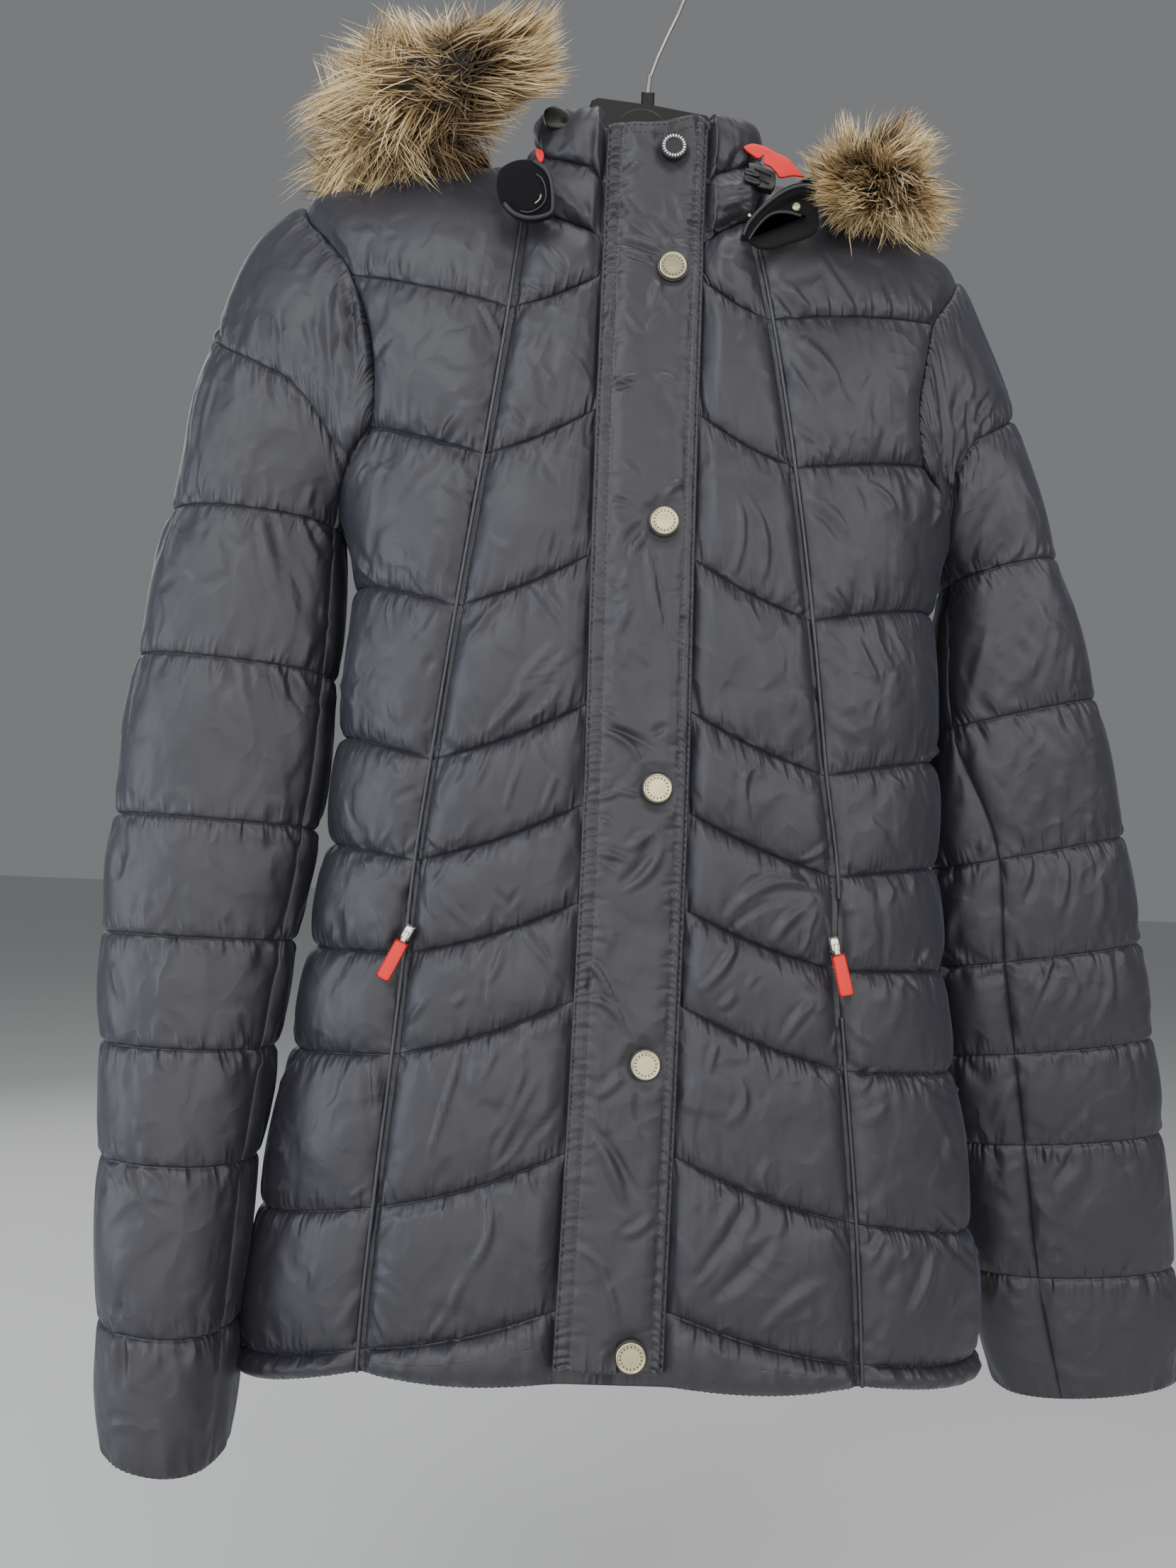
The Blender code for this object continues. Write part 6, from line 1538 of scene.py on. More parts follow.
def add(tree, kind, **settings):
    """A shader node with its settings."""
    node = tree.nodes.new(kind)
    for key, value in settings.items():
        if key in node.inputs:
            node.inputs[key].default_value = value
        else:
            setattr(node, key, value)
    return node


def measure(tree, name):
    """A measure stored with the mesh."""
    return add(tree, "ShaderNodeAttribute", attribute_name=name).outputs["Fac"]


def eased(tree, value, reach, ends, kind="SMOOTHSTEP"):
    """A value from 0 to a reach turned into a smooth step between two ends."""
    node = add(tree, "ShaderNodeMapRange", interpolation_type=kind)
    for key, number in zip(("From Min", "From Max", "To Min", "To Max"), (0.0, reach, *ends)):
        node.inputs[key].default_value = number
    tree.links.new(value, node.inputs["Value"])
    return node.outputs["Result"]


def noise(tree, vector, scale, detail=3.0, rough=0.55):
    """A noise texture read at a vector."""
    node = add(tree, "ShaderNodeTexNoise", Scale=scale, Detail=detail, Roughness=rough)
    tree.links.new(vector, node.inputs["Vector"])
    return node


def stretched(tree, source, scale):
    """A vector scaled by different amounts along its axes."""
    node = add(tree, "ShaderNodeMapping")
    node.inputs["Scale"].default_value = scale
    tree.links.new(source, node.inputs["Vector"])
    return node.outputs["Vector"]


def bump(tree, shader, heights):
    """Bumps laid over each other: (height socket, strength, distance)."""
    last = None
    for socket, strength, distance in heights:
        node = add(tree, "ShaderNodeBump", Strength=strength, Distance=distance)
        tree.links.new(socket, node.inputs["Height"])
        if last is not None:
            tree.links.new(last, node.inputs["Normal"])
        last = node.outputs["Normal"]
    tree.links.new(last, shader.inputs["Normal"])


def ridged(tree, vector, detail, rough=0.5):
    """Noise with sharp crests, for creased cloth."""
    node = noise(tree, vector, 1.0, detail, rough)
    node.noise_type = "RIDGED_MULTIFRACTAL"
    node.normalize = True
    return node.outputs["Fac"]


def product(tree, first, second):
    """Two values multiplied."""
    node = add(tree, "ShaderNodeMath", operation="MULTIPLY")
    tree.links.new(first, node.inputs[0])
    tree.links.new(second, node.inputs[1])
    return node.outputs["Value"]


def facets(tree, source, scale):
    """Soft facets between thin bent lines, as in crumpled cloth."""
    warp = noise(tree, source, 26, 2, 0.5)
    bend = add(tree, "ShaderNodeVectorMath", operation="MULTIPLY_ADD")
    tree.links.new(warp.outputs["Color"], bend.inputs[0])
    bend.inputs[1].default_value = (0.045, 0.045, 0.045)
    tree.links.new(source, bend.inputs[2])
    cells = add(tree, "ShaderNodeTexVoronoi", feature="DISTANCE_TO_EDGE", Scale=1.0, Randomness=1.0)
    tree.links.new(stretched(tree, bend.outputs["Vector"], scale), cells.inputs["Vector"])
    return eased(tree, cells.outputs["Distance"], 0.30, (0.0, 1.0), "SMOOTHERSTEP")


def satin(name, colour, light, roughness):
    """Downproof satin: fine gathers beside the stitching, creases and a faint weave."""
    made, tree, shader = plain(name, colour, roughness, sheen=0.08)
    shader.inputs["Sheen Roughness"].default_value = 0.35
    shader.inputs["Sheen Tint"].default_value = (0.55, 0.65, 0.9, 1)
    shader.inputs["Specular IOR Level"].default_value = 0.62
    place = add(tree, "ShaderNodeTexCoord")
    laid = add(tree, "ShaderNodeUVMap", uv_map="cloth")
    near, channel, margin = [measure(tree, name) for name in ("near", "channel", "margin")]
    broad = noise(tree, place.outputs["Object"], 38, 4)
    mix = add(tree, "ShaderNodeMix", data_type="RGBA")
    mix.inputs["A"].default_value = (*colour, 1)
    mix.inputs["B"].default_value = (*light, 1)
    tree.links.new(broad.outputs["Fac"], mix.inputs["Factor"])
    tree.links.new(mix.outputs["Result"], shader.inputs["Base Color"])
    split = add(tree, "ShaderNodeSeparateXYZ")
    tree.links.new(laid.outputs["UV"], split.inputs["Vector"])
    by_line = add(tree, "ShaderNodeCombineXYZ")
    tree.links.new(split.outputs["X"], by_line.inputs["X"])
    tree.links.new(near, by_line.inputs["Y"])
    tree.links.new(channel, by_line.inputs["Z"])
    fine = ridged(tree, stretched(tree, by_line.outputs["Vector"], (260, 34, 9)), 1.0)
    longer = ridged(tree, stretched(tree, by_line.outputs["Vector"], (95, 17, 5)), 1.0)
    crumple = ridged(tree, stretched(tree, place.outputs["Object"], (21, 21, 15)), 2.0, 0.45)
    soft = noise(tree, stretched(tree, place.outputs["Object"], (60, 60, 44)), 1.0, 3, 0.5)
    broken = facets(tree, place.outputs["Object"], (30, 30, 24))
    patchy = noise(tree, place.outputs["Object"], 17, 2, 0.5)
    weave = noise(tree, place.outputs["Object"], 1500, 2, 0.5)
    bump(tree, shader, (
        (soft.outputs["Fac"], 0.45, 0.0016),
        (crumple, 0.45, 0.0023),
        (product(tree, broken, patchy.outputs["Fac"]), 0.60, 0.0023),
        (product(tree, longer, product(tree, eased(tree, near, 0.042, (1, 0)), margin)), 0.90, 0.0040),
        (product(tree, fine, product(tree, eased(tree, near, 0.016, (1, 0)), margin)), 1.0, 0.0026),
        (weave.outputs["Fac"], 0.12, 0.00012),
    ))
    return made


def pile(name, colour, tip):
    """Velvet: dark, with a soft rim of light and a fine nap."""
    made, tree, shader = plain(name, colour, 0.95, sheen=0.6)
    shader.inputs["Sheen Roughness"].default_value = 0.5
    shader.inputs["Sheen Tint"].default_value = (*tip, 1)
    shader.inputs["Specular IOR Level"].default_value = 0.15
    place = add(tree, "ShaderNodeTexCoord")
    nap = noise(tree, place.outputs["Object"], 900, 3)
    soft = noise(tree, place.outputs["Object"], 70, 3)
    bump(tree, shader, ((soft.outputs["Fac"], 0.4, 0.0015), (nap.outputs["Fac"], 0.5, 0.0004)))
    return made


# Colours along a hair of a pale tuft and of a brown one.
FUR_PALE = (
    (0.0, (0.014, 0.009, 0.005)), (0.26, (0.055, 0.033, 0.014)), (0.50, (0.32, 0.210, 0.088)),
    (0.74, (0.84, 0.640, 0.335)), (1.0, (1.0, 0.88, 0.58)),
)
FUR_BROWN = (
    (0.0, (0.008, 0.005, 0.004)), (0.38, (0.022, 0.013, 0.008)), (0.66, (0.130, 0.075, 0.038)),
    (0.88, (0.44, 0.305, 0.140)), (1.0, (0.68, 0.53, 0.29)),
)


def fur_look():
    """Hairs from a dark root through brown to a pale tip, uneven from tuft to tuft."""
    made, tree, shader = plain("fur", (0.33, 0.22, 0.13), 0.62)
    shader.inputs["Specular IOR Level"].default_value = 0.35
    along, tone = measure(tree, "along"), measure(tree, "tone")
    ramps = []
    for stops in (FUR_PALE, FUR_BROWN):
        ramp = add(tree, "ShaderNodeValToRGB")
        elements = ramp.color_ramp.elements
        while len(elements) < len(stops):
            elements.new(0.5)
        for element, (where, shade) in zip(elements, stops):
            element.position = where
            element.color = (*shade, 1)
        tree.links.new(along, ramp.inputs["Fac"])
        ramps.append(ramp)
    mix = add(tree, "ShaderNodeMix", data_type="RGBA")
    tree.links.new(tone, mix.inputs["Factor"])
    tree.links.new(ramps[1].outputs["Color"], mix.inputs["A"])
    tree.links.new(ramps[0].outputs["Color"], mix.inputs["B"])
    tree.links.new(mix.outputs["Result"], shader.inputs["Base Color"])
    return made


def worn_metal(name, colour, roughness):
    """Nickel with a faint unevenness."""
    made, tree, shader = plain(name, colour, roughness, metallic=1.0)
    place = add(tree, "ShaderNodeTexCoord")
    fine = noise(tree, place.outputs["Object"], 900, 3)
    bump(tree, shader, ((fine.outputs["Fac"], 0.12, 0.0001),))
    return made


def moulded(name, colour, roughness, grain=0.2, coat=0.0):
    """Moulded plastic or rubber with a fine grain."""
    made, tree, shader = plain(name, colour, roughness, coat=coat)
    place = add(tree, "ShaderNodeTexCoord")
    fine = noise(tree, place.outputs["Object"], 1400, 2)
    bump(tree, shader, ((fine.outputs["Fac"], grain, 0.0002),))
    return made


LOOKS = {
    "nylon": satin("nylon", (0.0118, 0.0112, 0.0165), (0.0205, 0.0190, 0.0255), 0.51),
    "cord": moulded("cord", (0.030, 0.032, 0.040), 0.36, 0.15),
    "cap": worn_metal("cap", (0.52, 0.47, 0.30), 0.36),
    "mark": plain("mark", (0.12, 0.11, 0.08), 0.5, metallic=0.6)[0],
    "pale": plain("pale_rubber", (0.78, 0.78, 0.76), 0.35)[0],
    # painted shade: a flat near-black matt finish for the shade in holes, slots and the hood end's opening
    "painted_shade": plain("painted_shade", (0.0012, 0.0012, 0.0014), 0.95)[0],
    "inside": plain("inside", (0.010, 0.011, 0.014), 0.6)[0],
    "red": moulded("lining", (0.70, 0.007, 0.008), 0.50, 0.3),
    "fur": fur_look(),
    "core": plain("fur_core", (0.012, 0.008, 0.006), 0.95)[0],
    "velvet": pile("velvet", (0.004, 0.004, 0.005), (0.10, 0.10, 0.12)),
    "bound": moulded("bound_edge", (0.014, 0.015, 0.016), 0.55),
    "metal": worn_metal("metal", (0.86, 0.81, 0.70), 0.34),
    "plastic": moulded("plastic", (0.0062, 0.0064, 0.0052), 0.38, 0.10),
    "rubber": moulded("rubber", (0.72, 0.012, 0.006), 0.55),
    "rubber_black": moulded("rubber_black", (0.010, 0.010, 0.011), 0.5),
    "steel": worn_metal("steel", (0.30, 0.28, 0.26), 0.30),
    "thread": plain("thread", (0.011, 0.012, 0.018), 0.5)[0],
    "floor": plain("floor", (0.72, 0.72, 0.71), 0.85)[0],
}


# ---- small solid pieces ---------------------------------------------------
def ring_faces(count, sides):
    """The faces between rings of points, one ring after the other."""
    faces = []
    for a in range(0, (count - 1) * sides, sides):
        for i in range(sides):
            k = (i + 1) % sides
            faces.append((a + i, a + k, a + sides + k, a + sides + i))
    return faces


def ring_ends(count, sides):
    """The faces that close the first and the last ring."""
    return [tuple(range(sides - 1, -1, -1)), tuple((count - 1) * sides + i for i in range(sides))]


def round_path(name, path, radius, look, sides=8):
    """A round cord along a path; radius is one number or one for each point."""
    path = np.asarray(path, float)
    count = len(path)
    radius = np.broadcast_to(np.asarray(radius, float), (count,))
    ahead = unit(np.gradient(path, axis=0))
    side = np.cross(ahead[0], (0.31, 0.17, 0.93))
    points = []
    for k in range(count):
        side = unit(side - ahead[k] * (side @ ahead[k]))
        up = np.cross(ahead[k], side)
        for i in range(sides):
            angle = 2 * math.pi * i / sides
            points.append(path[k] + radius[k] * (math.cos(angle) * side + math.sin(angle) * up))
    faces = ring_faces(count, sides) + ring_ends(count, sides)
    return mesh_object(name, points, faces, look)


def turned(name, profile, place, axis, look, sides=40):
    """A round piece: (radius, height) pairs from its base up, on an axis."""
    swing = Vector(axis).normalized().to_track_quat("Z", "Y").to_matrix()
    points = []
    for radius, height in profile:
        for i in range(sides):
            angle = 2 * math.pi * i / sides
            local = Vector((radius * math.cos(angle), radius * math.sin(angle), height))
            points.append(Vector(place) + swing @ local)
    faces = ring_faces(len(profile), sides) + ring_ends(len(profile), sides)
    made = mesh_object(name, points, faces, look)
    made.data.set_sharp_from_angle(angle=math.radians(38))
    return made


def joined(name, pieces):
    """Several mesh objects made into one."""
    body = bmesh.new()
    looks = []
    for piece in pieces:
        look = piece.data.materials[0]
        if look not in looks:
            looks.append(look)
        before = len(body.faces)
        body.from_mesh(piece.data)
        body.faces.ensure_lookup_table()
        for face in body.faces[before:]:
            face.material_index = looks.index(look)
        bpy.data.objects.remove(piece, do_unlink=True)
    mesh = bpy.data.meshes.new(name)
    body.to_mesh(mesh)
    body.free()
    for look in looks:
        mesh.materials.append(look)
    return placed(name, mesh)


def own_look(node, look):
    """A CAD piece shown as it is, in a better finish."""
    made = frame["nodes"][node]
    made.data.materials.clear()
    made.data.materials.append(LOOKS[look])
    return made


def dressed(made, slot, *nodes, body="jacket"):
    """The piece stands for these CAD nodes and rides their body."""
    if nodes:
        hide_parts(*nodes)
    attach(made, body)
    return made


# ---- trims ----------------------------------------------------------------
# Flat pieces seen from the front: outlines and lines as (x, drop) in mm.
VELVET_LEFT = (
    (-67.4, 200.1), (-62.5, 203.1), (-59.5, 207.5), (-57.7, 213.7), (-56.6, 221.1), (-56.3, 227.7),
    (-58.1, 231.2), (-62.8, 233.1), (-68.2, 234.6), (-75.0, 234.2), (-80.2, 231.6), (-84.3, 227.7),
    (-87.7, 222.9), (-89.6, 215.6), (-88.5, 206.4), (-82.4, 201.0), (-74.6, 198.8),
)
RIM_LEFT = (
    (-69.5, 200.6), (-66.5, 202.3), (-62.4, 205.3), (-59.8, 209.8), (-58.4, 215.9), (-57.7, 222.9),
    (-57.8, 228.7), (-60.1, 231.3), (-65.1, 233.3), (-71.0, 234.0), (-77.0, 232.7), (-81.0, 230.1),
    (-84.6, 226.3),
)
INNER_LEFT = (
    (-67.8, 208.6), (-64.5, 210.9), (-62.3, 215.7), (-61.7, 221.5), (-63.1, 225.7), (-66.5, 229.2),
    (-71.1, 231.2), (-75.5, 230.6),
)
GLINT_LEFT = ((-64.5, 220.9), (-64.8, 223.0), (-65.9, 224.7), (-67.4, 226.1))
VELVET_UPPER = (
    (48.0, 239.7), (48.7, 234.7), (52.1, 227.9), (56.7, 222.2), (61.7, 216.9), (68.7, 210.7),
    (75.8, 206.5), (82.5, 205.3), (88.6, 206.6), (89.4, 210.3), (82.7, 212.4), (76.0, 214.0),
    (68.9, 218.6), (63.5, 223.5), (58.4, 229.2), (54.6, 235.2), (51.2, 239.5),
)
VELVET_LOWER = (
    (51.4, 239.8), (54.4, 233.0), (59.3, 226.0), (65.2, 221.5), (73.1, 220.7), (82.0, 222.6),
    (84.0, 225.0), (74.0, 224.4), (66.5, 225.6), (61.0, 229.7), (56.4, 236.6),
)
# Outline of a near-black plate painted for the shade behind and under the right end's velvet bands.
VELVET_PAINTED_SHADE = (
    (52.6, 235.2), (59.5, 225.6), (66.6, 216.0), (76.0, 211.0), (88.0, 209.5), (91.7, 219.0),
    (91.7, 228.8), (85.4, 234.1), (75.1, 238.1), (65.6, 241.9), (56.8, 240.8),
)
RIM_UPPER = (
    (48.9, 238.7), (51.1, 232.4), (55.2, 226.4), (60.6, 220.3), (68.4, 213.6), (75.4, 209.5),
    (81.8, 207.8), (87.4, 208.8),
)
RIM_LOWER = ((52.2, 240.0), (55.6, 234.1), (60.2, 228.0), (65.7, 224.0), (73.6, 223.1), (81.2, 224.7))
LINING_RIGHT = (
    (50.0, 175.4), (52.4, 173.5), (55.6, 172.5), (62.3, 173.8), (68.5, 176.9), (75.6, 179.9),
    (79.4, 184.0), (83.2, 188.5), (85.7, 190.9), (79.2, 190.5), (71.8, 192.2), (69.7, 189.7),
    (65.9, 185.7), (62.1, 184.2), (62.0, 179.0), (59.2, 181.3), (55.9, 179.8),
)
LINING_LEFT = ((-69.1, 183.0), (-65.0, 184.5), (-64.4, 188.7), (-66.0, 191.0), (-68.5, 188.1))
CLIP_RIGHT = (
    (52.8, 185.9), (55.3, 185.8), (61.0, 187.6), (68.4, 190.5), (68.9, 193.9), (68.6, 198.6),
    (66.7, 201.7), (61.4, 200.8), (55.6, 199.0), (54.7, 195.6), (53.0, 191.9),
)
CLIP_HOOKS = (
    ((50.7, 191.3), (52.7, 190.3), (56.8, 191.7), (59.3, 193.3),
     (58.5, 195.1), (54.4, 194.4), (51.2, 193.8)),
    ((50.4, 195.1), (52.8, 194.5), (57.7, 196.4), (59.8, 198.0),
     (58.6, 199.7), (54.1, 198.7), (51.3, 197.6)),
)
CLIP_SLOTS = (((56.5, 189.6), (66.0, 193.4)), ((57.5, 195.6), (65.0, 198.2)))
CLIP_LEFT = (
    (-65.2, 161.8), (-62.0, 159.0), (-57.2, 158.3), (-52.2, 160.6), (-49.2, 165.1), (-48.7, 168.5),
    (-51.8, 171.2), (-56.6, 172.0), (-61.9, 171.0), (-64.9, 166.9),
)
CORD_RISE = 0.0012        # of the piping's middle over the cloth
CORD_RADIUS = 0.00108
CORD_TOP = 0.2225         # drop at which it comes out under the collar
CORD_STEP = 0.0016
FORWARDS = (0, -1, 0)
EYELET = (0.0782, -0.0925, -0.2198)           # places in metres
GLINT_RIGHT = (0.0518, -0.0944, -0.2275)
CLIP_HOLE = (-0.0536, -0.0797, -0.1675)
POCKETS = {-1: (0.606, 0.674), 1: (0.605, 0.666)}     # drops of the pocket openings
POCKET_REACH = 0.0045     # how far the cloth falls away beside an opening
TACK_STITCHES = 14
TACK = (0.0013, 0.0011, 0.00034)  # pitch, length and half width of their thread
TACKS = {-1: ((-0.1136, 0.6066), (-0.1040, 0.6066)), 1: ((0.1005, 0.6048), (0.1094, 0.6066))}


def drawn_line(points, count, closed=False):
    """A smooth line of points through a few, in metres."""
    points = np.asarray(points, float) / 1000
    if closed:
        wrapped = np.concatenate([points[-3:], points, points[:4]])
        return spline(wrapped, np.arange(count) * len(points) / count + 3)
    return spline(points, np.linspace(0, len(points) - 1, count))


def plate(name, outline, front, thick, look, edge=0.0006, count=48, swell=0.0):
    """A flat piece that faces forwards, with a rounded front edge and a soft swell."""
    line = drawn_line(outline, count, closed=True) if count else np.asarray(outline, float) / 1000
    count = len(line)
    ahead = np.roll(line, -1, axis=0) - np.roll(line, 1, axis=0)
    inward = np.stack([-ahead[:, 1], ahead[:, 0]], axis=-1)
    inward /= np.linalg.norm(inward, axis=1, keepdims=True) + 1e-12
    area = np.sum(line[:, 0] * np.roll(line[:, 1], -1) - np.roll(line[:, 0], -1) * line[:, 1])
    inward = inward if area > 0 else -inward
    points = []
    for inset, y in ((0, front + thick), (0, front + edge), (edge * 0.4, front + edge * 0.3), (edge, front)):
        ring = line + inward * inset
        points += [(x, y, -drop) for x, drop in ring]
    rings = 5 if swell else 4
    faces = [tuple(range(count)), tuple(range(4 * count - 1, 3 * count - 1, -1))]
    if swell:
        middle = line.mean(axis=0)
        ring = middle + (line - middle) * 0.55
        points += [(x, front - swell * 0.8, -drop) for x, drop in ring]
        points.append((middle[0], front - swell, -middle[1]))
        faces.pop()
        faces += [(4 * count + i, 4 * count + (i + 1) % count, 5 * count) for i in range(count)]
    faces += ring_faces(rings, count)
    made = mesh_object(name, points, faces, look)
    grown = bmesh.new()
    grown.from_mesh(made.data)
    bmesh.ops.recalc_face_normals(grown, faces=grown.faces)
    grown.to_mesh(made.data)
    grown.free()
    made.data.set_sharp_from_angle(angle=math.radians(50))
    return made


def cord_on(name, line, y, radius, look, count=40):
    """A thin round cord on a line of (x, drop), at a depth."""
    path = drawn_line(line, count)
    return round_path(name, [(x, y, -drop) for x, drop in path], radius, look, 6)


def seat_of(node):
    """Centre of a round CAD piece's outer face, its outward direction, radius and height."""
    points = np.array([vertex.co for vertex in frame["nodes"][node].data.vertices], float)
    middle = (points.min(axis=0) + points.max(axis=0)) / 2
    axis = np.linalg.svd(points - points.mean(axis=0))[2][-1]
    axis *= np.sign(axis @ (middle * (1, 1, 0))) or 1.0
    height = (points - middle) @ axis
    across = points - middle - height[:, None] * axis
    return middle + axis * height.min(), axis, np.linalg.norm(across, axis=1).max(), np.ptp(height)


def ticks(name, place, axis, radius, count, size, rise, look):
    """A ring of small rounded marks on a face."""
    swing = Vector(axis).to_track_quat("Z", "Y").to_matrix()
    corners = ((-1, -0.5), (-0.6, -1), (0.6, -1), (1, -0.5), (1, 0.5), (0.6, 1), (-0.6, 1), (-1, 0.5))
    points, faces = [], []
    for k in range(count):
        angle = 2 * math.pi * (k + 0.5) / count
        out = Vector((math.cos(angle), math.sin(angle), 0))
        along = Vector((-math.sin(angle), math.cos(angle), 0))
        middle = Vector((radius * math.cos(angle), radius * math.sin(angle), 0))
        base = len(points)
        for level, grown in ((0, 1.0), (rise, 0.82)):
            for a, b in corners:
                spot = middle + along * (a * size[0] * grown) + out * (b * size[1] * grown)
                points.append(Vector(place) + swing @ (spot + Vector((0, 0, level))))
        for i in range(8):
            j = (i + 1) % 8
            faces.append((base + i, base + j, base + 8 + j, base + 8 + i))
        faces.append(tuple(base + 8 + i for i in range(8)))
    return mesh_object(name, points, faces, look, smooth=False)


def snap_cap(node):
    """A press stud's cap: a pale dished face in a rim, with a ring of darker ticks painted for the shade in
    its dimples, and a black ring round it painted for the shadow at its edge.
    """
    place, axis, radius, height = seat_of(node)
    profile = [(0.97, 0.0), (1.0, 0.18), (1.0, 0.62), (0.985, 0.82), (0.95, 0.95), (0.91, 1.0), (0.875, 0.95),
               (0.85, 0.86), (0.80, 0.84), (0.40, 0.90), (0.06, 0.92)]
    cap = turned("cap", [(r * radius, h * height) for r, h in profile], place, axis, "cap")
    face = place + axis * (height * 0.84)
    # painted shade: the cap's dimples are drawn as raised ticks in a darker metal
    marks = ticks("marks", face, axis, radius * 0.70, 18, (radius * 0.055, radius * 0.075),
                  0.00025, "mark")
    # painted shadow: a black ring just outside the cap stands for the thin shadow round its edge
    back = turned("back", [(radius * 1.07, -0.0004), (radius * 1.09, 0.0003), (radius * 1.0, 0.0006)],
                  place, axis, "plastic", sides=32)
    dressed(joined("look_" + node, [cap, marks, back]), "metal", node)


def badge(node):
    """A black stud with a ring of pale rounded ticks and a bare middle."""
    place, axis, radius, height = seat_of(node)
    profile = [(0.95, 0.0), (1.0, 0.2), (1.0, 0.7), (0.96, 1.0), (0.88, 1.05), (0.60, 0.92), (0.56, 0.75),
               (0.06, 0.75)]
    profile = [(r * radius, h * height) for r, h in profile]
    disc = turned("disc", profile, place, axis, "rubber_black", sides=48)
    face = place + axis * (height * 0.98)
    marks = ticks("marks", face, axis, radius * 0.76, 24, (radius * 0.062, radius * 0.105),
                  0.00035, "pale")
    dressed(joined("look_" + node, [disc, marks]), "rubber_black", node)


def rounded(node, look, slot, bevel, body, segments=3):
    """A CAD block with its edges rounded."""
    grown = bmesh.new()
    grown.from_mesh(frame["nodes"][node].data)
    bmesh.ops.remove_doubles(grown, verts=grown.verts, dist=1e-6)
    bmesh.ops.dissolve_limit(grown, angle_limit=0.02, verts=grown.verts, edges=grown.edges)
    bmesh.ops.bevel(grown, geom=grown.edges[:], offset=bevel, segments=segments, profile=0.5, affect="EDGES")
    mesh = bpy.data.meshes.new("look_" + node)
    grown.to_mesh(mesh)
    grown.free()
    mesh.shade_smooth()
    mesh.materials.append(LOOKS[look])
    return dressed(placed("look_" + node, mesh), slot, node, body=body)


def piping_cord(side, cloth):
    """The thin satin cord in a front seam; on the right it stops at the pocket."""
    label = "left" if side < 0 else "right"
    path = cloth.points[:, 0] + cloth.normals[:, 0] * (WALL / 2 + CORD_RISE)
    drop = -path[:, 2]
    kept = drop > CORD_TOP
    spans = [kept]
    if side > 0:
        top, low = POCKETS[side]
        spans = [kept & (drop < top), kept & (drop > low)]
    parts = []
    for span in spans:
        line = path[span]
        step = np.concatenate([[0], np.cumsum(np.linalg.norm(np.diff(line, axis=0), axis=1))])
        at = np.linspace(0, step[-1], int(step[-1] / CORD_STEP))
        even_line = np.stack([np.interp(at, step, line[:, k]) for k in range(3)], axis=-1)
        radius = CORD_RADIUS * (1 + 0.06 * np.sin(at * 1900) + 0.05 * np.sin(at * 610))
        parts.append(round_path("cord", even_line, radius, "cord", 8))
    dressed(joined("look_piping_" + label, parts), "nylon", "piping_" + label)


def pocket_opening(cloth, side):
    """The side front falls away from the seam along the pocket's opening."""
    top, low = POCKETS[side]
    drop = -cloth.points[..., 2]
    window = ease((drop - top) / 0.008) * ease((low - drop) / 0.014)
    cloth.height -= POCKET_REACH * np.exp(-(cloth.left / POCKET_REACH) ** 2) * window


def bar_tack(cloth, side):
    """The close stitches at a pocket's upper end."""
    face = outer(cloth)
    start, end = TACKS[side]
    sets = []
    for lower in (0.0, 0.0011):
        spots, normals = [], []
        for t in np.linspace(0, 1, TACK_STITCHES):
            x = start[0] * (1 - t) + end[0] * t
            drop = start[1] * (1 - t) + end[1] * t + lower
            away = (cloth.points[..., 0] - x) ** 2 + (cloth.points[..., 2] + drop) ** 2
            row, column_at = np.unravel_index(np.argmin(away), away.shape)
            spots.append((x, face[row, column_at, 1] - 0.0002, -drop))
            normals.append(cloth.normals[row, column_at])
        sets.append(dashes(np.array(spots), np.array(normals), *TACK))
    return sets


def velvet_ends():
    """The hood's velvet front ends, bound along their edges."""
    left = [
        plate("velvet", VELVET_LEFT, -0.0905, 0.0035, "velvet", edge=0.0012, count=60, swell=0.0010),
        cord_on("rim", RIM_LEFT, -0.0912, 0.00125, "bound"),
        cord_on("rim", INNER_LEFT, -0.0918, 0.00055, "bound"),
    ]
    dressed(joined("look_hood_tab_left", left), "velvet", "hood_tab_left")
    dressed(cord_on("glint_left", GLINT_LEFT, -0.0926, 0.00045, "cap", count=10), "metal")
    right = [
        # painted shade: this near-black plate behind the velvet bands stands for the shade under them
        plate("velvet", VELVET_PAINTED_SHADE, -0.0885, 0.0030, "painted_shade", edge=0.0008, count=60),
        plate("velvet", VELVET_UPPER, -0.0935, 0.0036, "velvet", edge=0.0010, count=60),
        plate("velvet", VELVET_LOWER, -0.0920, 0.0030, "velvet", edge=0.0008, count=50),
        cord_on("rim", RIM_UPPER, -0.0938, 0.0010, "bound"),
        cord_on("rim", RIM_LOWER, -0.0924, 0.0008, "bound"),
    ]
    dressed(joined("look_hood_tab_right", right), "velvet", "hood_tab_right")
    stud = turned("look_eyelet", [(0.0022, 0), (0.0024, 0.0006), (0.0019, 0.0013), (0.0002, 0.0016)],
                  EYELET, FORWARDS, "cap", sides=24)
    dressed(stud, "metal", "eyelet")
    glint = turned("glint_right", [(0.0008, 0), (0.0009, 0.0006), (0.0001, 0.0010)],
                   GLINT_RIGHT, FORWARDS, "cap", sides=12)
    dressed(glint, "metal")


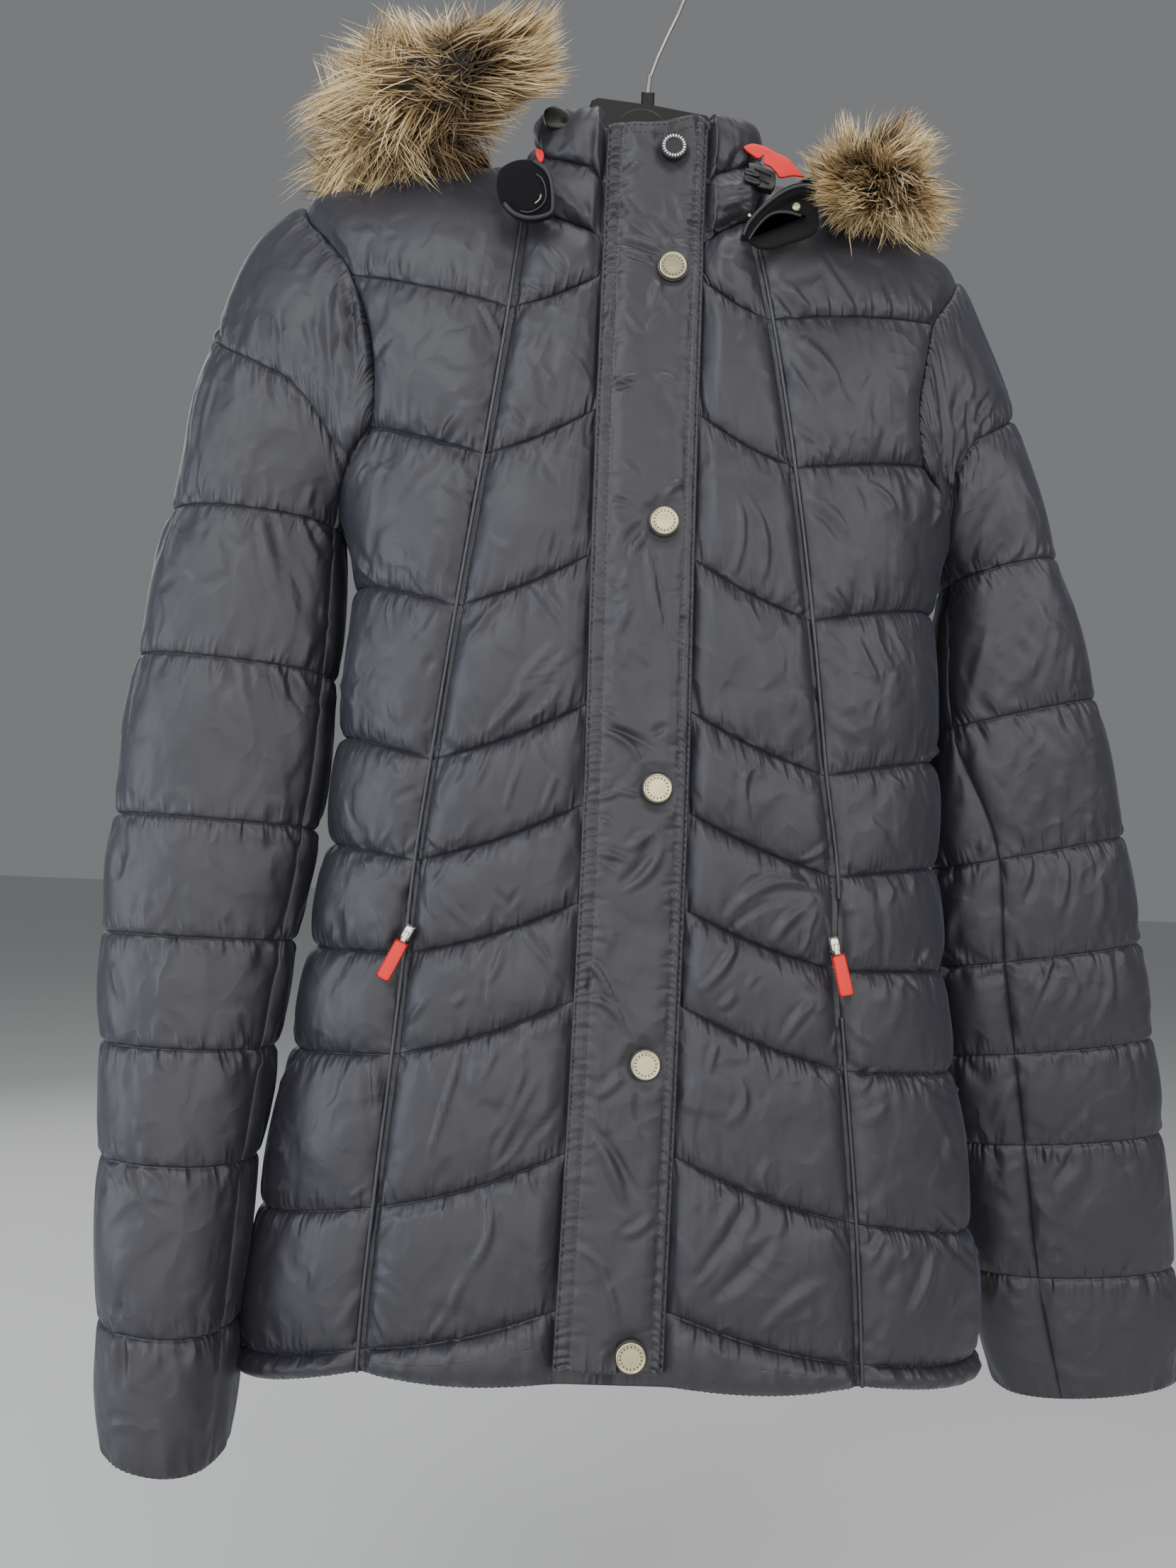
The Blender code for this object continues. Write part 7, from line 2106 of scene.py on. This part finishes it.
def hood_clips():
    """The black clips at the hood's ends, their slots and hole painted near-black for shade, and the red
    lining that shows beside them.
    """
    parts = [plate("clip", CLIP_RIGHT, -0.0785, 0.0050, "plastic", edge=0.0007, count=0)]
    for hook in CLIP_HOOKS:
        parts.append(plate("clip", hook, -0.0800, 0.0022, "plastic", edge=0.0005, count=24))
    # painted shade: near-black cords for the clip's slots
    for start, end in CLIP_SLOTS:
        parts.append(cord_on("slot", (start, end), -0.0784, 0.0006, "painted_shade", count=6))
    dressed(joined("look_clip_right", parts), "plastic", "clip_right")
    parts = [plate("clip", CLIP_LEFT, -0.0790, 0.0040, "plastic", edge=0.0010, count=40, swell=0.0006)]
    # painted shade: a near-black disc for the clip's hole
    parts.append(turned("hole", [(0.0018, 0), (0.0017, 0.0002), (0.0002, 0.0002)],
                        CLIP_HOLE, FORWARDS, "painted_shade", sides=20))
    dressed(joined("look_clip_left", parts), "plastic", "clip_left")
    for name, outline in (("lining_right", LINING_RIGHT), ("lining_left", LINING_LEFT)):
        dressed(plate(name, outline, -0.0760, 0.0012, "red", edge=0.0004, count=40), "lining")


def build_trims():
    """Everything small that is sewn, pressed or clipped on."""
    for node in SNAPS:
        snap_cap(node)
    badge("badge_front")
    badge("badge_sleeve")
    velvet_ends()
    hood_clips()
    for label in ("left", "right"):
        body = "pull_tab_" + label
        rounded("slider_" + label, "metal", "metal", 0.0009, "jacket")
        rounded("pull_link_" + label, "metal", "metal", 0.0004, body)
        rounded("pull_" + label, "rubber", "rubber", 0.0008, body, 4)
    own_look("hanger", "plastic")
    own_look("hanger_disc", "plastic")
    own_look("hook", "steel")


# ---- build ----------------------------------------------------------------
WELT = 0.0032             # flat welt of a centre front beside its seam
WELT_STITCHES = 0.0033    # distance of its stitches from the seam
FULLNESS = 0.9            # share of the swelling found on the visible cloth
SMALL_FULLNESS = 0.95     # and on the sleeves and collar
NO_TOP = ((0, 0),)        # no gathers at the upper edge
BACK_LOWER = 9            # mm by which the folds of the hidden back lie lower
SLEEVE_LOWER = 5          # and those of the sleeves' hidden sides
HOOD_GRID = (110, 150)    # rows and columns of the visible hood
HOOD_WAVE = 0.0035        # the most that the hood's cloth may rise
CORE_SHARE = 0.5          # radius of the fur's core as a share of the fur's
CORE_SIDES = 20
CORE_RINGS = 60
FLAP_ROWS = 560           # rows of the visible flap
# Its columns, as places between the coarse ones: close together at the bands.
FLAP_ACROSS = np.concatenate([
    np.linspace(0, 1.25, 15)[:-1], np.linspace(1.25, 2.9, 21)[:-1], np.linspace(2.9, 4, 14),
])
FLAP_EDGE = 0.0015        # distance of the outer stitches from the flap's edge
FLAP_BANDS = (0.0080, 0.0066)     # and of the inner ones, left and right
FLAP_PUFF = 0.0013        # height of the flap's soft field
SEAT = 0.0080             # radius of the flat place round a stud
SEAT_HEIGHT = 0.0010


def build_fronts():
    """The four front panels."""
    for side, label in ((-1, "left"), (1, "right")):
        cloth = centre_cloth(side)
        quilt_centre(cloth, side)
        made = shell("cloth_front_centre_" + label, cloth, "nylon")
        dressed(made, "nylon", "front_centre_" + label)
        lines = line_stitches(cloth, last=CENTRE_COLUMNS) + hem_stitches(cloth, CENTRE_COLUMNS)
        lines.append(stitches(cloth, places_at(cloth.left, WELT_STITCHES, range(len(cloth.share)))))
        lines += bar_tack(cloth, side)
        piping_cord(side, cloth)
        cloth = side_cloth(side)
        quilt_side(cloth, side)
        made = shell("cloth_front_side_" + label, cloth, "nylon")
        dressed(made, "nylon", "front_side_" + label)
        lines += line_stitches(cloth) + hem_stitches(cloth)
        dressed(thread("stitches_front_" + label, lines), "nylon")


def line_stitches(cloth, first=0, last=None):
    """Stitches along every quilt line of a cloth."""
    last = cloth.points.shape[1] if last is None else last
    rows = [row for row in range(1, len(cloth.share)) if cloth.share[row] == 0]
    return [stitches(cloth, [(row, column) for column in range(first, last)]) for row in rows]


def hem_stitches(cloth, last=None):
    """Stitches a little above the lower edge of a cloth."""
    last = cloth.points.shape[1] if last is None else last
    return [stitches(cloth, [(len(cloth.share) - 2, column) for column in range(last)])]


def places_at(distance, wanted, rows):
    """Grid places in these rows that lie nearest to a distance from a seam."""
    return [(row, int(np.argmin(np.abs(distance[row] - wanted)))) for row in rows]


def quilt_centre(cloth, side):
    """Padding, pleats and folds of a centre front."""
    keep = cloth.left.copy()
    cloth.left = np.maximum(keep - WELT, 0)
    puff(cloth, SWELL * FULLNESS, border=0.006, sides=(1, 0))
    cloth.left = keep
    cloth.height -= 0.0008 * np.exp(-((keep - WELT) / 0.0010) ** 2)
    gathers(cloth, every=0.0090, seed=11 + side, deep=0.0009, reach=(0.005, 0.022))
    seam_pleats(cloth, -1, every=0.0060, seed=31 + side, deep=0.0010, reach=(0.006, 0.016))
    waves(cloth, seed=51 + side, size=0.030, rise=0.0017)
    for fold in FOLDS_CENTRE_LEFT if side < 0 else FOLDS_CENTRE_RIGHT:
        crease(cloth, fold)
    across = cloth.points[..., 0] - flap_shift(-cloth.points[..., 2])
    beside = np.abs(across) - FLAP
    cloth.height *= ease((beside + 0.001) / 0.013) ** 0.75


def quilt_side(cloth, side):
    """Padding, pleats and folds of a side front."""
    puff(cloth, SWELL * FULLNESS, border=0.006, sides=(1, 0.9), flat_top=0.25)
    gathers(cloth, every=0.0095, seed=71 + side, deep=0.0009, reach=(0.005, 0.022), skip=NO_TOP)
    seam_pleats(cloth, -1, every=0.0070, seed=81 + side, deep=0.0009, reach=(0.004, 0.012))
    seam_pleats(cloth, 1, every=0.0085, seed=91 + side, deep=0.0009, reach=(0.004, 0.014))
    waves(cloth, seed=61 + side, size=0.032, rise=0.0017)
    for fold in FOLDS_SIDE_LEFT if side < 0 else FOLDS_SIDE_RIGHT:
        crease(cloth, fold)
    pocket_opening(cloth, side)


def turned_over(folds, lower):
    """The same folds mirrored and lower, for what is out of sight."""
    return [(-a, b + lower, -c, d + lower, -e, f + lower, wide, high)
            for a, b, c, d, e, f, wide, high in folds]


def build_back():
    """The back panel."""
    cloth = back_cloth()
    puff(cloth, SWELL * FULLNESS, border=0.007, sides=(0.9, 0.9), flat_top=0.25)
    gathers(cloth, every=0.0095, seed=5, deep=0.0010, reach=(0.006, 0.026), skip=NO_TOP)
    waves(cloth, seed=6, size=0.036, rise=0.0018)
    fronts = FOLDS_CENTRE_LEFT[::2] + FOLDS_CENTRE_RIGHT + FOLDS_SIDE_LEFT + FOLDS_SIDE_RIGHT
    for fold in turned_over(fronts, BACK_LOWER):
        crease(cloth, fold)
    made = shell("cloth_back", cloth, "nylon")
    dressed(made, "nylon", "back")
    dressed(thread("stitches_back", line_stitches(cloth) + hem_stitches(cloth)), "nylon")


def build_sleeves():
    """Both sleeves: each is padded whole, then cut at its two seams."""
    for side, label in ((-1, "left"), (1, "right")):
        cloth = sleeve_cloth(side)
        cloth.left = np.full_like(cloth.left, 1.0)
        cloth.right = cloth.left
        per = SLEEVE_COLUMNS / (2 * UNDERARM_ROW)
        seams = [int(round(column * per)) for column in UNDER_SLEEVE]
        for seam in seams:
            away = np.abs(cloth.s - cloth.s[:, seam:seam + 1])
            cloth.left = np.minimum(cloth.left, away)
        puff(cloth, SLEEVE_SWELL * SMALL_FULLNESS, border=0.005, line=0.005, sides=(0.85, 0))
        gathers(cloth, every=0.0080, seed=101 + side, deep=0.0010, reach=(0.005, 0.022))
        waves(cloth, seed=111 + side, size=0.030, rise=0.0016)
        shown, hidden = FOLDS_SLEEVE_LEFT, FOLDS_SLEEVE_RIGHT
        if side > 0:
            shown, hidden = hidden, shown
        for fold in shown:
            crease(cloth, fold, -1)
        for fold in turned_over(hidden, SLEEVE_LOWER):
            crease(cloth, fold, 1)
        cloth.height[:, -1] = cloth.height[:, 0]
        dressed(thread("stitches_sleeve_" + label, line_stitches(cloth) + hem_stitches(cloth)), "nylon")
        under = np.arange(seams[0], seams[1] + 1)
        top = np.arange(seams[1], seams[0] + SLEEVE_COLUMNS + 1) % SLEEVE_COLUMNS
        for name, kept, size, cut in (
            ("sleeve_under_", under, (0.110, 0.640), 0.052), ("sleeve_top_", top, (0.270, 0.730), 0.145),
        ):
            made = shell("cloth_" + name + label, part_of(cloth, kept), "nylon", coarse=(8, 7))
            dressed(made, "nylon", name + label)


def build_collar():
    """The stand collar: its outer face and its stitches."""
    coarse, coarse_normals, face = collar_grid()
    cloth, columns = collar_cloth(coarse, coarse_normals)
    edge = np.minimum(columns, coarse.shape[1] - 1 - columns)
    puff(cloth, SWELL * SMALL_FULLNESS, border=0.005, line=0.005, sides=(0, 0))
    gathers(cloth, every=0.0080, seed=15, deep=0.0009, reach=(0.005, 0.014))
    waves(cloth, seed=16, size=0.022, rise=0.0014, edges=0.006)
    for fold in FOLDS_COLLAR:
        crease(cloth, fold, -1)
    cloth.height *= ease((edge - 1.0) / 0.5)[None, :]
    made = shell("cloth_collar", cloth, "nylon", thick=WALL / 2 + 0.001)
    dressed(made, "nylon", "collar")
    return face, line_stitches(cloth, 8, cloth.points.shape[1] - 8)


def build_flap(face, seams):
    """The front flap, with the stitches of the collar and its own."""
    grid = flap_grid(face)
    fine = np.linspace(0, grid.shape[0] - 1, FLAP_ROWS)
    points = regrid(grid, fine, FLAP_ACROSS)
    normals = np.zeros_like(points)
    normals[..., 1] = -1
    share = np.linspace(0, 1, FLAP_ROWS)
    flap = Cloth(points + normals * WALL / 2, normals, np.zeros(FLAP_ROWS, int), share)
    quilt_flap(flap)
    made = shell("cloth_flap", flap, "nylon")
    dressed(made, "nylon", "flap")
    for distance, band in zip((flap.left, flap.right), FLAP_BANDS):
        for place in (FLAP_EDGE, band):
            seams.append(stitches(flap, places_at(distance, place, range(4, FLAP_ROWS - 3))))
    for row in (4, 9, FLAP_ROWS - 4):
        seams.append(stitches(flap, [(row, column) for column in range(2, len(FLAP_ACROSS) - 2)]))
    dressed(thread("stitches_flap", seams), "nylon")


def quilt_flap(flap):
    """The flap's soft field between two puckered bands, stitched at both sides."""
    rng = np.random.default_rng(23)
    near = np.minimum(flap.left, flap.right)
    end = np.minimum(flap.down, flap.down[-1:] - flap.down)
    edge = ease(near / 0.0012) * ease(end / 0.0016)
    flap.height += edge * 0.0009
    for distance, band in zip((flap.left, flap.right), FLAP_BANDS):
        field = ease((distance - band) / 0.007)
        flap.height += FLAP_PUFF * field * edge
        for place in (FLAP_EDGE, band):
            flap.height -= FLAP_PUFF * np.exp(-((distance - place) / 0.0008) ** 2) * edge
        place = 0.004
        while place < flap.down.max():
            lean = rng.normal(0, 0.10)
            deep = rng.uniform(0.0010, 0.0018)
            thin = rng.uniform(0.0009, 0.0014)
            line = flap.down - (place + lean * distance)
            inside = ease(distance / 0.0014) * (1 - ease((distance - band + 0.0006) / 0.0012))
            flap.height -= deep * np.exp(-(line / thin) ** 2) * inside
            if rng.random() < 0.45:
                long = rng.uniform(0.004, 0.012)
                beyond = np.clip(1 - (distance - band) / long, 0, 1) * ease((distance - band) / 0.001)
                flap.height -= deep * 0.8 * np.exp(-(line / (thin * 1.2)) ** 2) * beyond
            place += rng.uniform(0.0030, 0.0050)
    for fold in FOLDS_FLAP:
        crease(flap, fold)
    waves(flap, seed=24, size=0.026, rise=0.0012)
    for node in ["badge_front"] + SNAPS:
        place = seat_of(node)[0]
        away = np.hypot(flap.points[..., 0] - place[0], flap.points[..., 2] - place[2])
        seat = 1 - ease((away - SEAT) / SEAT)
        flap.height = flap.height * (1 - seat) + SEAT_HEIGHT * seat


def build_hood(face):
    """The folded hood and its lining."""
    rings = fur_place(column(FUR, 0)[:, None], FUR_ANGLES, 1.0, 1.0)
    points, normals = hood_grid(face, rings)
    rows, columns = [np.linspace(0, size - 1, fine) for size, fine in zip(points.shape, HOOD_GRID)]
    fine = regrid(points, rows, columns)
    fine_normals = unit(regrid(normals, rows, columns))
    cloth = Cloth(fine, fine_normals, np.zeros(len(rows), int), np.linspace(0, 1, len(rows)))
    waves(cloth, seed=41, size=0.045, rise=0.0030)
    seam = np.abs(cloth.s - cloth.width / 2)
    cloth.height -= 0.0012 * np.exp(-(seam / 0.0016) ** 2)
    cloth.height = np.minimum(cloth.height, HOOD_WAVE)
    made = shell("cloth_hood", cloth, "nylon")
    dressed(made, "nylon", "hood_shell")
    own_look("hood_lining", "red")


def build_fur():
    """The fur and the core that it grows from."""
    angle = np.arange(CORE_SIDES) * 2 * math.pi / CORE_SIDES
    turns = np.linspace(FUR[0][0] + 3, FUR[-1][0] - 3, CORE_RINGS)
    core = np.array([fur_place(turn, angle, CORE_SHARE, CORE_SHARE) for turn in turns])
    ends = [core[0].mean(axis=0), core[-1].mean(axis=0)]
    faces = ring_faces(CORE_RINGS, CORE_SIDES)
    tip = CORE_RINGS * CORE_SIDES
    for i in range(CORE_SIDES):
        k = (i + 1) % CORE_SIDES
        faces.append((tip, k, i))
        faces.append((tip + 1, tip - CORE_SIDES + i, tip - CORE_SIDES + k))
    made = mesh_object("fur_core", np.concatenate([core.reshape(-1, 3), ends]), faces, "core")
    dressed(made, "fur", "hood_fur")
    for name, low, high, share, seed in (
        ("fur_left", -128, -52, 0.33, 3), ("fur_back", -56, 54, 0.37, 4), ("fur_right", 50, 120, 0.30, 5),
    ):
        dressed(fur_strands(name, low, high, int(HAIRS * share), seed), "fur")


# ---- camera and light -----------------------------------------------------
CAMERA_PLACE = (-0.0418, -0.7165, -0.6032)
CAMERA_TURN = (1.533, 5.047, 2.310)       # yaw, pitch and roll in degrees
CAMERA_LENS = 36 * 1662 / 2212            # for a sensor 36 mm high
FLOOR = (60, -1.15)                       # half width and height
LAMPS = (
    # name, place, aim, size, power, colour
    ("key", (-1.3, -1.9, 0.8), (0, 0, -0.45), (1.2, 1.2), 32, (0.94, 0.97, 1.0)),
    ("front", (0.0, -2.6, 0.0), (0, 0, -0.5), (1.2, 1.0), 17, (1.0, 0.98, 0.95)),
    ("side", (-2.3, -0.9, -0.6), (0, 0, -0.6), (1.2, 1.8), 40, (0.84, 0.92, 1.0)),
    ("low", (-0.4, -1.9, -1.05), (0, 0, -0.6), (2.4, 0.7), 12, (1.0, 0.97, 0.94)),
    ("fill", (1.6, -1.7, 0.3), (0, 0, -0.5), (1.4, 1.4), 27, (1.0, 1.0, 1.0)),
    ("top", (0.1, -0.4, 1.6), (0, 0, -0.3), (1.4, 1.2), 24, (1.0, 1.0, 1.0)),
    ("rim", (-1.4, 1.6, 0.4), (0, 0, -0.4), (1.0, 1.4), 12, (1.0, 1.0, 1.0)),
)


def camera():
    """The camera in front of the jacket, a little below its middle and tilted."""
    yaw, pitch, roll = (math.radians(a) for a in CAMERA_TURN)
    data = bpy.data.cameras.new("camera")
    data.sensor_fit = "VERTICAL"
    data.sensor_height = 36
    data.lens = CAMERA_LENS
    level = math.cos(pitch)
    ahead = Vector((math.sin(yaw) * level, math.cos(yaw) * level, math.sin(pitch)))
    right = Vector((math.cos(yaw), -math.sin(yaw), 0))
    up = right.cross(ahead)
    turned_right = right * math.cos(roll) + up * math.sin(roll)
    turned_up = up * math.cos(roll) - right * math.sin(roll)
    turn = Matrix((turned_right, turned_up, -ahead)).transposed()
    made = placed("camera", data)
    made.matrix_world = Matrix.Translation(CAMERA_PLACE) @ turn.to_4x4()
    bpy.context.scene.camera = made


def lamp(name, place, aim, size, power, colour):
    """A soft rectangular lamp."""
    data = bpy.data.lights.new(name, "AREA")
    data.shape = "RECTANGLE"
    data.size, data.size_y = size
    data.energy = power
    data.color = colour
    made = placed(name, data)
    made.location = place
    made.rotation_euler = (Vector(aim) - Vector(place)).to_track_quat("-Z", "Y").to_euler()


def studio():
    """A pale floor, and soft light from the front, the sides and above."""
    wide, height = FLOOR
    corners = [(x * wide, y * wide, height) for x, y in ((-1, -1), (1, -1), (1, 1), (-1, 1))]
    floor = mesh_object("floor", corners, [(0, 1, 2, 3)], "floor")
    world = bpy.data.worlds.new("world")
    world.use_nodes = True
    background = world.node_tree.nodes["Background"]
    background.inputs["Color"].default_value = (0.80, 0.82, 0.85, 1)
    background.inputs["Strength"].default_value = 0.24
    bpy.context.scene.world = world
    for row in LAMPS:
        lamp(*row)


build_fronts()
build_back()
build_sleeves()
collar_face, collar_stitches = build_collar()
build_flap(collar_face, collar_stitches)
build_hood(collar_face)
build_fur()
build_trims()
camera()
studio()
